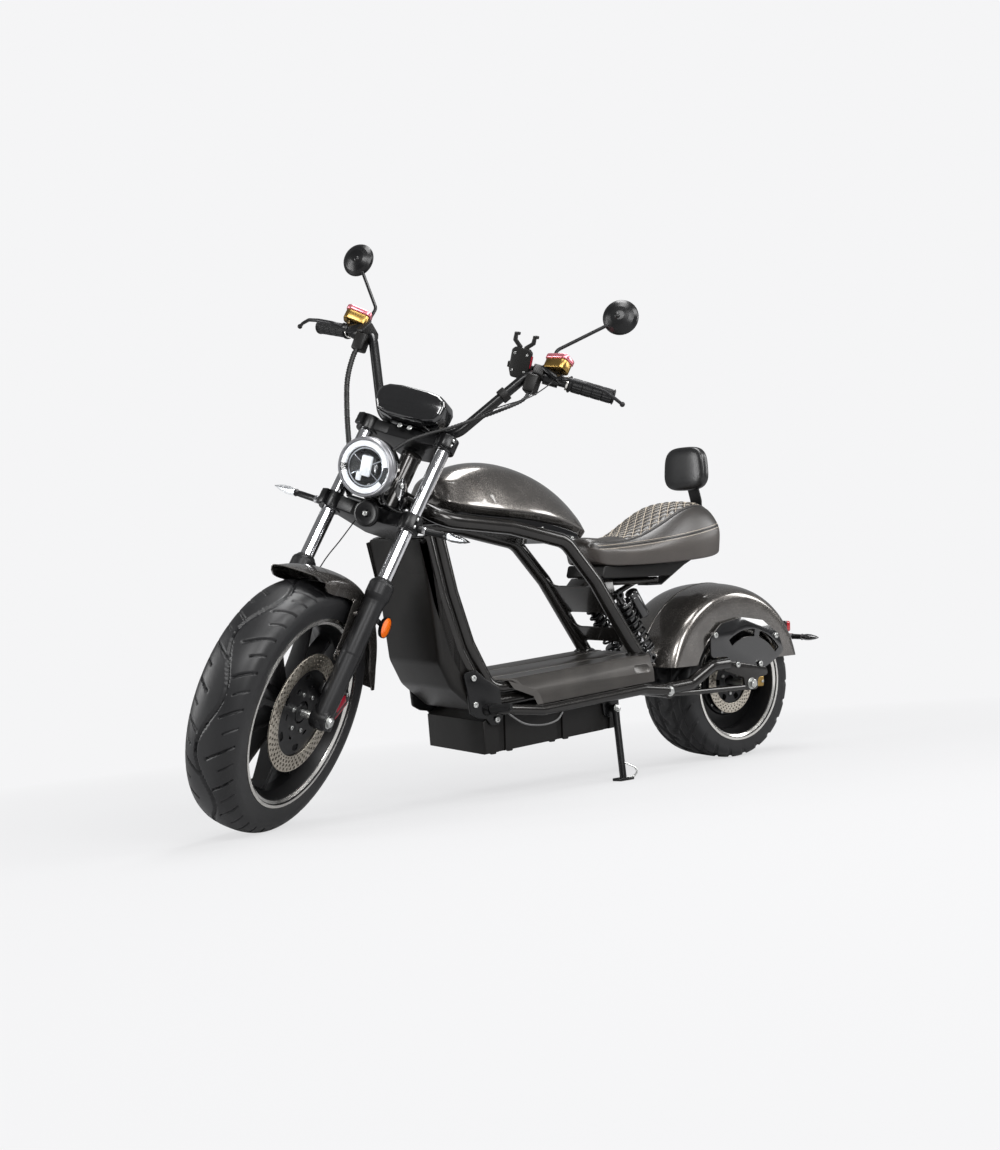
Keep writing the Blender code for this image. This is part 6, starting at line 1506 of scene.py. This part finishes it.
rows, furrows = [], []
stitch = swept([(-0.0029, 0, 0), (-0.0018, 0, 0.0006), (0.0018, 0, 0.0006), (0.0029, 0, 0)], 0.0006, 6)
for side in (1, -1):
    line = [beside_seat(0.112 + 0.0105 * step, seam_height(0.112 + 0.0105 * step), side, 0.0002)[0]
        for step in range(41)]
    furrows.append((swept(line, 0.0016, 8), UPRIGHT))
    for row in (-0.0052, 0.0052):
        for step in range(68):
            x = 0.113 + 0.0062 * step
            point, out = beside_seat(x, seam_height(x) + row, side, 0.0001)
            ahead = beside_seat(x + 0.003, seam_height(x + 0.003) + row, side, 0.0001)[0]
            along = (ahead - point).normalized()
            place = Matrix((along, out.cross(along), out)).transposed().to_4x4()
            rows.append((stitch, UPRIGHT @ Matrix.Translation(point) @ place))
piece("seat_seam_stitches", rows, FLAT, "frame", THREAD)
piece("seat_seam_welt", furrows, FLAT, "frame", BLACK_VINYL)
stitch = swept([(-0.0028, 0, 0), (-0.0018, 0, 0.0006), (0.0018, 0, 0.0006), (0.0028, 0, 0)], 0.00085, 6)
rows = []
for way in (1, -1):
    for line in range(-4, 16):
        step = 0.0
        while step < 0.34:
            x = 0.105 + step
            y = way * (line * DIAMOND - x) / SLANT
            step += 0.0052
            inside = seat_half(x) * WELT - abs(y)
            if inside < 0.005 or not QUILT_REAR + 0.005 < x < QUILT_FRONT - 0.005:
                continue
            point = on_seat(x, y, 0.0005)
            ahead = on_seat(x + 0.002, y - way * 0.002 / SLANT, 0.0005)
            if point and ahead:
                along = (ahead - point).normalized()
                place = Matrix.Translation(point) @ swing(Vector((1, 0, 0)), along)
                rows.append((stitch, UPRIGHT @ place))
print("stitches on the seat:", len(rows))
piece("seat_thread", rows, FLAT, "frame", THREAD)

# %% Seat pan, backrest and its strap
dressed("seat_pan", BLACK_ABS, 0.004)
pad = bmesh.new()
bmesh.ops.create_uvsphere(pad, u_segments=72, v_segments=44, radius=1, matrix=turn(90))
for vert in pad.verts:
    across = math.hypot(vert.co.y, vert.co.z)
    angle = math.atan2(vert.co.z, vert.co.y)
    outline = (abs(math.cos(angle) / 0.0855) ** 3.4 + abs(math.sin(angle) / 0.0655) ** 3.4) ** (-1 / 3.4)
    reach = outline * min(1.0, across) ** 0.62
    depth = math.copysign(0.0222 * abs(vert.co.x) ** 0.62, vert.co.x)
    height = reach * math.sin(angle)
    waist = 1 - 0.9 * max(0.0, height + 0.03)
    vert.co = (0.108 + depth, reach * math.cos(angle) * waist, 0.881 + height)
bmesh.ops.remove_doubles(pad, verts=pad.verts, dist=0.00001)
back = piece("backrest_cushion", pad, UPRIGHT, "frame", BLACK_VINYL, ("backrest_pad",), crease=80)
dressed("backrest_bracket", SATIN_BLACK, 0.0006)
head = bolt(0.007, 0.005)
rows = [(head, at(0.0666, 0, z) @ turn(-90)) for z in (0.7, 0.745)]
piece("backrest_bolts", rows, UPRIGHT, "frame", ZINC)

# %% [markdown]
# **Seat support and swingarm.** A bent plate and two rails carry the seat pan. The swingarm is a pair
# of bent tubes on a cross tube, with a second tube low on each side and a cut plate for the axle.

# %% Seat support
SHOCK_TOP, SHOCK_FOOT = (0.462, 0.515), (0.34, 0.33)


def crossbar(place, half, radius, sides=24):
    """A round bar from side to side at an (x, z) place."""
    return swept([(place[0], -half, place[1]), (place[0], half, place[1])], radius, sides)


rows = []
profile = [leg_point(0.54, 0.0033), leg_point(0.478, 0.0033), (0.48, 0.47), (0.44, 0.505),
    (0.455, 0.5636), (0.545, 0.5646)]
rows.append(slab(profile, -0.038, 0.038, XZ_PLATE, 0.006, 0.002))
for side in (1, -1):
    rows.append(swept([(0.48, side * 0.018, 0.5515), (0.262, side * 0.018, 0.5515)], 0.01, 24))
rows.append((box((0.016, 0.04, 0.014), 0.002), at(0.33, 0, 0.5507)))
rows.append(swept([(0.45, 0, 0.5), (0.33, 0, 0.549)], 0.008, 20))
rows.append(crossbar(SHOCK_TOP, 0.0567, 0.008))
piece("seat_support_welded", rows, UPRIGHT, "frame", GRAPHITE, ("seat_support",))

# %% Swingarm and axle
rows = [crossbar(PIVOT, 0.1585, 0.02, 32)]
for side in (1, -1):
    y = side * 0.14
    bar = [(PIVOT[0], y, PIVOT[1]), (0.255, y, 0.25), (0.162, y, 0.296), (0.1, y, 0.298)]
    rows.append(swept(bar, 0.018, 28, 0.05, steps=10))
    low_y, high_y = y - 0.005, y + 0.005
    hanger = slab([(0.14, 0.3125), (-0.07, 0.2755), (-0.076, 0.252), (-0.03, 0.247), (-0.028, 0.212),
        (0.026, 0.212), (0.032, 0.252), (0.14, 0.286)], low_y, high_y, XZ_PLATE, 0.012, 0.0012)
    rows.append(hanger)
    brace = [(PIVOT[0] - 0.006, y, PIVOT[1] - 0.012), (0.27, y, 0.226), (0.03, y, 0.222)]
    rows.append(swept(brace, 0.0085, 20, 0.04))
rows.append(slab([(PIVOT[0] + 0.01, PIVOT[1] + 0.004), (0.352, 0.34), (0.33, 0.34),
    (PIVOT[0] - 0.024, PIVOT[1] + 0.006)], -0.036, 0.036, XZ_PLATE, 0.004, 0.002))
rows.append(crossbar(SHOCK_FOOT, 0.0567, 0.008))
piece("swingarm_welded", rows, UPRIGHT, "frame", GRAPHITE, ("swingarm",))
axle_bar = lathe(even([(0, 0.16), (0.0075, 0.16), (0.009, 0.158)]), 32)
rows = [(axle_bar, UPRIGHT @ at(0, 0, REAR_RADIUS) @ turn(-90, "X"))]
for side in (1, -1):
    rows.append((nut(0.0138, 0.011), UPRIGHT @ at(0, side * 0.1453, REAR_RADIUS) @ outward(side)))
piece("rear_axle_bar", rows, FLAT, "frame", ZINC, ("rear_axle",))

# %% [markdown]
# **Rear fender.** A wide bobbed fender: one pressed sheet with a full round crown and a rolled edge.
# A slotted plate on each side carries it, on bright cap screws.

# %% Rear fender
FENDER_AT, FENDER_RADIUS, FENDER_HALF = (0.035, REAR_RADIUS), 0.3, 0.128
sheet = fender_sheet(crowned(FENDER_RADIUS + 0.001, FENDER_HALF, 0.115, 0.005, 30), FENDER_AT, 8, 172, 84,
    0.0026)
below = box((0.8, 0.6, 0.3), 0.0)
piece("rear_fender_pressed", carved(sheet, [(below, at(FENDER_AT[0], 0, 0.15))]), UPRIGHT,
    "frame", GUNMETAL, ("rear_fender",), crease=50)
def on_fender(radius, angle, y):
    x, z = on_circle(radius, angle)
    return FENDER_AT[0] + x, y, FENDER_AT[1] + z


lip_rows = []
for side in (1, -1):
    arc = [on_fender(0.187, 40 + 102 * step / 59, side * (FENDER_HALF - 0.001)) for step in range(60)]
    lip_rows.append(swept(arc, 0.0028, 10))
rib = [on_fender(FENDER_RADIUS - 0.0012, angle, 0) for angle in range(14, 168, 2)]
lip_rows.append(swept(rib, 0.0042, 12))
piece("rear_fender_lips", lip_rows, UPRIGHT, "frame", GUNMETAL)
screws = []
head = bolt(0.0085, 0.0055)
for side, word in SIDES:
    y = side * 0.14
    plate = slab([(0.098, 0.3185), (0.168, 0.3185), (0.168, 0.38), (0.12, 0.418), (0.035, 0.432),
        (-0.06, 0.418), (-0.13, 0.372), (-0.152, 0.318), (-0.105, 0.292), (-0.068, 0.2764),
        (0.096, 0.3053)], y - 0.003, y + 0.003, XZ_PLATE, 0.014, 0.001)
    slots = []
    for radius, start, end in ((0.152, 56, 98), (0.152, 106, 142)):
        outer = [(radius + 0.011, start + (end - start) * step / 12) for step in range(13)]
        inner = [(radius - 0.011, start + (end - start) * step / 12) for step in range(12, -1, -1)]
        arc = [on_circle(*place) for place in outer + inner]
        outline = [(x, REAR_RADIUS + z) for x, z in arc]
        slots.append(slab(outline, y - 0.02, y + 0.02, XZ_PLATE, 0.0, 0.0))
    plate = carved(plate, slots)
    bosses = [plate]
    for x, z in ((0.15, 0.385), (-0.115, 0.368)):
        bosses.append(swept([(x, side * 0.1301, z), (x, y, z)], 0.008, 24))
        screws.append((head, at(x, y + side * 0.003, z) @ outward(side)))
    for x, z in ((0.128, 0.3), (0.06, 0.296), (-0.04, 0.292)):
        screws.append((head, at(x, y + side * 0.005, z - 0.004) @ outward(side)))
    piece(f"fender_bracket_{word}_cut", bosses, UPRIGHT, "frame", GLOSS_BLACK, (f"fender_bracket_{word}",))
piece("fender_bracket_bolts", screws, UPRIGHT, "frame", ZINC)

# %% [markdown]
# **Shocks.** Each has a coil spring round a plated rod, two collars and a reservoir beside it.

# %% Rear shocks
foot, top = Vector((SHOCK_FOOT[0], 0, SHOCK_FOOT[1])), Vector((SHOCK_TOP[0], 0, SHOCK_TOP[1]))
length = (top - foot).length
turned_to = aim(foot, top)
for side, word in SIDES:
    place = UPRIGHT @ at(0, side * 0.068, 0) @ turned_to
    eye = hollow(even([(0.0062, 0.011), (0.0125, 0.011), (0.013, 0.0095)]), 36)
    upper = lathe([(0, length - 0.008), (0.011, length - 0.01), (0.014, length - 0.024),
        (0.0255, length - 0.027), (0.027, length - 0.029), (0.027, length - 0.0355),
        (0.0255, length - 0.037), (0.017, length - 0.038), (0.0165, length * 0.46), (0.015, length * 0.45),
        (0, length * 0.45)], 48, bend=0.0006)
    lower = lathe([(0, 0.038), (0.016, 0.038), (0.0255, 0.0372), (0.027, 0.0355), (0.027, 0.0295),
        (0.0255, 0.028), (0.012, 0.022), (0.011, 0.008), (0, 0.007)], 48, bend=0.0006)
    neck = swept([(0, 0, length - 0.032), (-0.046, 0, length - 0.032)], 0.008, 20)
    can = lathe([(0, 0.088), (0.015, 0.088), (0.019, 0.084), (0.019, 0.074), (0.018, 0.073),
        (0.018, 0.071), (0.019, 0.07), (0.019, 0.004), (0.015, 0.0), (0, 0.0)], 40, bend=0.0006)
    cross = turn(90, "X")
    rows = [(eye, cross), (eye, at(0, 0, length) @ cross), upper, lower, neck,
        (can, at(-0.046, 0, length * 0.52))]
    piece(f"shock_{word}_body", rows, place, "frame", GLOSS_BLACK, (f"shock_{word}",))
    piece(f"shock_{word}_rod", disc(0.0062, length * 0.47, 0.034, 32), place, "frame", CHROME)
    coil = []
    turns = 6.5
    for step in range(int(turns * 24) + 1):
        angle = math.tau * step / 24
        coil.append((0.0222 * math.cos(angle), 0.0222 * math.sin(angle),
                     0.0385 + (length - 0.0385 - 0.0415) * step / (turns * 24)))
    piece(f"shock_{word}_spring", swept(coil, 0.0036, 12), place, "frame", SATIN_BLACK)

# %% Tail lamp and its bracket
dressed("tail_bracket", SATIN_BLACK, 0.0012)
lamp = box((0.02, 0.084, 0.034), 0.006, 4)
shell = box((0.008, 0.086, 0.036), 0.003, 3)
piece("tail_light_lens", [(lamp, at(-0.2962, 0, 0.382))], UPRIGHT, "frame", RED_LENS, ("tail_light",))
piece("tail_light_base", shell, UPRIGHT @ at(-0.2838, 0, 0.382), "frame", GLOSS_BLACK)

# %% [markdown]
# **Side stand.** A round leg on a hinge bolt, with a flat foot on the ground and a wire tang to push
# it down with.

# %% Side stand
pivot = Vector((0.558, 0.1345, 0.205))
hinge = Vector((0, 0.963215, 0.268731))
foot = Vector((0.567998, 0.185816, 0.021068))
plate = slab([(0.6, 0.31), (0.52, 0.31), (0.53, 0.225), (0.535, 0.19), (0.555, 0.18),
    (0.585, 0.192)], 0.1271, 0.1331, XZ_PLATE, 0.008, 0.0008)
axle_line = aim(pivot, pivot + hinge)
pin = disc(0.006, 0.0245, -0.002, 28)
piece("stand_bracket_cut", [plate, (pin, axle_line)], UPRIGHT, "frame", SATIN_BLACK, ("stand_bracket",))
piece("stand_bolt_hex", nut(0.009, 0.0044), UPRIGHT @ axle_line @ at(0, 0, 0.0233), "frame", ZINC)
boss = hollow([(0.0063, 0.023), (0.012, 0.023), (0.013, 0.022), (0.013, 0.009), (0.012, 0.008),
    (0.0063, 0.008)], 40)
middle = pivot + hinge * 0.0155
down = (foot - middle).normalized()
leg = swept([middle + down * 0.01, middle + down * 0.12, foot], 0.0095, 24)
pad = box((0.05, 0.036, 0.008), 0.0025, 3)
settled_foot = at(PARKED.x, PARKED.y) @ at(0.568, 0.187, 0.004)
tang = [(0.565, 0.176, 0.066), (0.556, 0.19, 0.062), (0.54, 0.203, 0.052), (0.536, 0.208, 0.04),
        (0.544, 0.204, 0.028), (0.564, 0.19, 0.024)]
rows = [(boss, UPRIGHT @ axle_line), (leg, UPRIGHT), (pad, settled_foot)]
piece("side_stand_leg", rows, FLAT, "stand", SATIN_BLACK, ("side_stand",))
piece("side_stand_tang", swept(tang, 0.0024, 12, 0.008), UPRIGHT, "stand", ZINC)

# %% [markdown]
# **Small things on the fork.** A phone holder sits beside the left control and a switch box hangs
# under the bar on each side. An amber reflector stands behind the left leg, and a horn looks forward
# under the lamp.

# %% Phone holder
HOLDER = FORK @ at(0.05, 0.196, 0.508) @ turn(34)
back_plate = slab([(-0.02, -0.04), (0.02, -0.04), (0.028, -0.02), (0.028, 0.03), (0.02, 0.038),
    (-0.02, 0.038), (-0.028, 0.03), (-0.028, -0.02)], -0.006, 0.006, YZ_PLATE, 0.008, 0.003, segments=3)
rows = [(back_plate, HOLDER)]
for side in (1, -1):
    claw = slab([(side * 0.01, 0.034), (side * 0.03, 0.052), (side * 0.03, 0.068), (side * 0.022, 0.068),
                 (side * 0.021, 0.056), (side * 0.002, 0.04)], -0.005, 0.005, YZ_PLATE, 0.003, 0.001)
    rows.append((claw, HOLDER))
    rows.append((box((0.022, 0.01, 0.008), 0.002), HOLDER @ at(-0.008, side * 0.026, 0.07)))
    rows.append((box((0.02, 0.008, 0.016), 0.002), HOLDER @ at(-0.008, side * 0.031, -0.01)))
neck = swept([(-0.004, 0, -0.03), (0.000, 0.012, -0.052)], 0.009, 20)
rows.append((neck, HOLDER))
loop = hoop(BAR_BORE, 0.0185, 0.01, -0.01, 32, 0.001)
rows.append((loop, FORK @ aim((0.0445, 0.188, 0.41), (0.048, 0.232, 0.487))))
piece("phone_holder", rows, FLAT, "fork", BLACK_ABS)
screw = bolt(0.0035, 0.002)
rows = [(screw, HOLDER @ at(0.006, y, z) @ turn(90)) for y in (-0.017, 0.017) for z in (-0.022, 0.022)]
piece("phone_holder_screws", rows, FLAT, "fork", ZINC)
piece("phone_holder_pad", box((0.01, 0.003, 0.03), 0.001), HOLDER @ at(-0.001, 0.0285, 0.006), "fork",
    RED_PAINT)

# %% Switch boxes, reflector and horn
rows, rings = [], []
for side in (1, -1):
    rows.append((box((0.034, 0.034, 0.048), 0.006, 3), FORK @ at(0.054, side * 0.251, 0.454) @ turn(12)))
    start, end = flipped([INNER + OUT * 0.094, INNER + OUT * 0.1], side)
    band = hoop(BAR_BORE, 0.0178, 0.006, 0.0, 32, 0.0008)
    rings.append((band, FORK @ aim(start, end)))
piece("switch_boxes", rows, FLAT, "fork", BLACK_ABS)
piece("grip_collars", rings, FLAT, "fork", MACHINED)
REFLEX = FORK @ at(0.011, 0.1345, -0.256) @ turn(-90, "X")
piece("side_reflector_lens", lathe([(0, 0.0082), (0.015, 0.007), (0.025, 0.004), (0.025, 0.0),
    (0, 0.0)], 56), REFLEX, "fork", AMBER)
rim = hollow([(0.025, 0.0046), (0.0268, 0.0046), (0.0272, 0.0), (0.0255, -0.004), (0, -0.004), (0, 0.0),
    (0.025, 0.0)], 56)
strap = box((0.052, 0.0026, 0.014), 0.001)
piece("side_reflector_base", [(rim, REFLEX),
    (strap, FORK @ at(0.034, 0.13, -0.256) @ turn(-6, "Z"))], FLAT, "fork", SATIN_BLACK)
HORN = FORK @ at(0.112, 0.01, -0.022) @ turn(115)
horn = lathe([(0, 0.004), (0.008, 0.004), (0.01, 0.000), (0.022, 0.002), (0.028, 0.004), (0.033, 0.002),
    (0.034, -0.006), (0.026, -0.012), (0.016, -0.024), (0, -0.026)], 56, bend=0.001)
rows = [(horn, HORN), (box((0.044, 0.016, 0.003), 0.001), FORK @ at(0.094, 0.01, -0.01))]
piece("horn_disc", rows, FLAT, "fork", SATIN_BLACK)
piece("horn_nut", bolt(0.006, 0.004), HORN @ at(0, 0, 0.004), "fork", ZINC)

# %% [markdown]
# **Cables.** Each one leaves its part straight, hangs in one easy curve and goes back in somewhere
# else, so its length is what that route needs. The two looms and the lamp's wire are ribbed sleeves,
# and the rest are single hoses and wires.

# %% Cables
def smooth(points, spacing):
    """Points about `spacing` apart on one smooth curve through the given ones."""
    points = [Vector(point) for point in points]
    ends = [2 * points[0] - points[1], *points, 2 * points[-1] - points[-2]]
    fine = []
    for before, start, end, after in zip(ends, ends[1:], ends[2:], ends[3:]):
        for step in range(40):
            t = step / 40
            fine.append(0.5 * (2 * start + (end - before) * t
                + (2 * before - 5 * start + 4 * end - after) * t**2
                + (3 * start - before - 3 * end + after) * t**3))
    fine.append(points[-1])
    total = sum((b - a).length for a, b in zip(fine, fine[1:]))
    count = max(14, round(total / spacing))
    route, gone, wanted = [fine[0]], 0.0, total / count
    for first, second in zip(fine, fine[1:]):
        gone += (second - first).length
        if gone >= wanted - 1e-9 and len(route) < count:
            route.append(second)
            wanted += total / count
    return route + [fine[-1]]


def cable(name, points, diameter, surface=CABLE_JACKET, place=FORK, body="fork", ribbed=False):
    """A cable along the route that the points give, with rings round it if it's a ribbed sleeve."""
    sides = 14
    route = smooth(points, 0.0042 if ribbed else 0.012)
    bm = swept(route, diameter / 2, sides)
    if ribbed:
        bm.verts.ensure_lookup_table()
        for index, vert in enumerate(bm.verts):
            ring = min(index // sides, len(route) - 1)
            if ring % 2:
                vert.co += (route[ring] - vert.co) * 0.24
    middle_line = smooth(points, 0.012)
    made = piece(name, bm, place, body, surface, crease=50)


cable("loom_right", [(0.056, -0.251, 0.443), (0.062, -0.249, 0.405), (0.074, -0.226, 0.33),
    (0.088, -0.18, 0.242), (0.098, -0.132, 0.16), (0.103, -0.098, 0.105), (0.104, -0.082, 0.076)], 0.015,
    ribbed=True)
cable("loom_left", [(0.054, 0.251, 0.443), (0.062, 0.25, 0.402), (0.078, 0.212, 0.352),
    (0.092, 0.16, 0.3), (0.106, 0.116, 0.256), (0.122, 0.078, 0.22), (0.138, 0.044, 0.18),
    (0.15, 0.022, 0.138)], 0.01, ribbed=True)
cable("lever_hose_left", [(0.052, 0.3, 0.484), (0.066, 0.3, 0.458), (0.088, 0.276, 0.402),
    (0.098, 0.232, 0.362), (0.096, 0.19, 0.332), (0.094, 0.166, 0.306)], 0.003)
cable("switch_wire_left", [(0.058, 0.262, 0.444), (0.071, 0.266, 0.414), (0.09, 0.246, 0.368),
    (0.092, 0.206, 0.338), (0.088, 0.178, 0.318)], 0.0026)
cable("lamp_wire", [(0.13, 0.036, 0.044), (0.133, 0.044, 0.022), (0.124, 0.062, 0.008),
    (0.11, 0.08, 0.006), (0.098, 0.092, 0.01)], 0.005, ribbed=True)
cable("front_brake_hose", [(0.046, 0.078, -0.02), (0.043, 0.082, -0.06), (0.034, 0.092, -0.15),
    (0.014, 0.1, -0.25), (-0.012, 0.099, -0.33), (-0.034, 0.084, -0.392), (-0.043, 0.07, -0.424)], 0.005)
cable("speed_sensor_wire", [(0.072, -0.03, -0.022), (0.074, -0.031, -0.04), (0.082, -0.04, -0.1),
    (0.088, -0.05, -0.15), (0.09, -0.056, -0.197)], 0.0032)
cable("rail_cable_left", [(0.95, 0.154, 0.246), (0.938, 0.168, 0.23), (0.905, 0.184, 0.206),
    (0.852, 0.19, 0.198), (0.8, 0.186, 0.204), (0.77, 0.176, 0.222)], 0.005, GREY_CABLE, UPRIGHT, "frame")
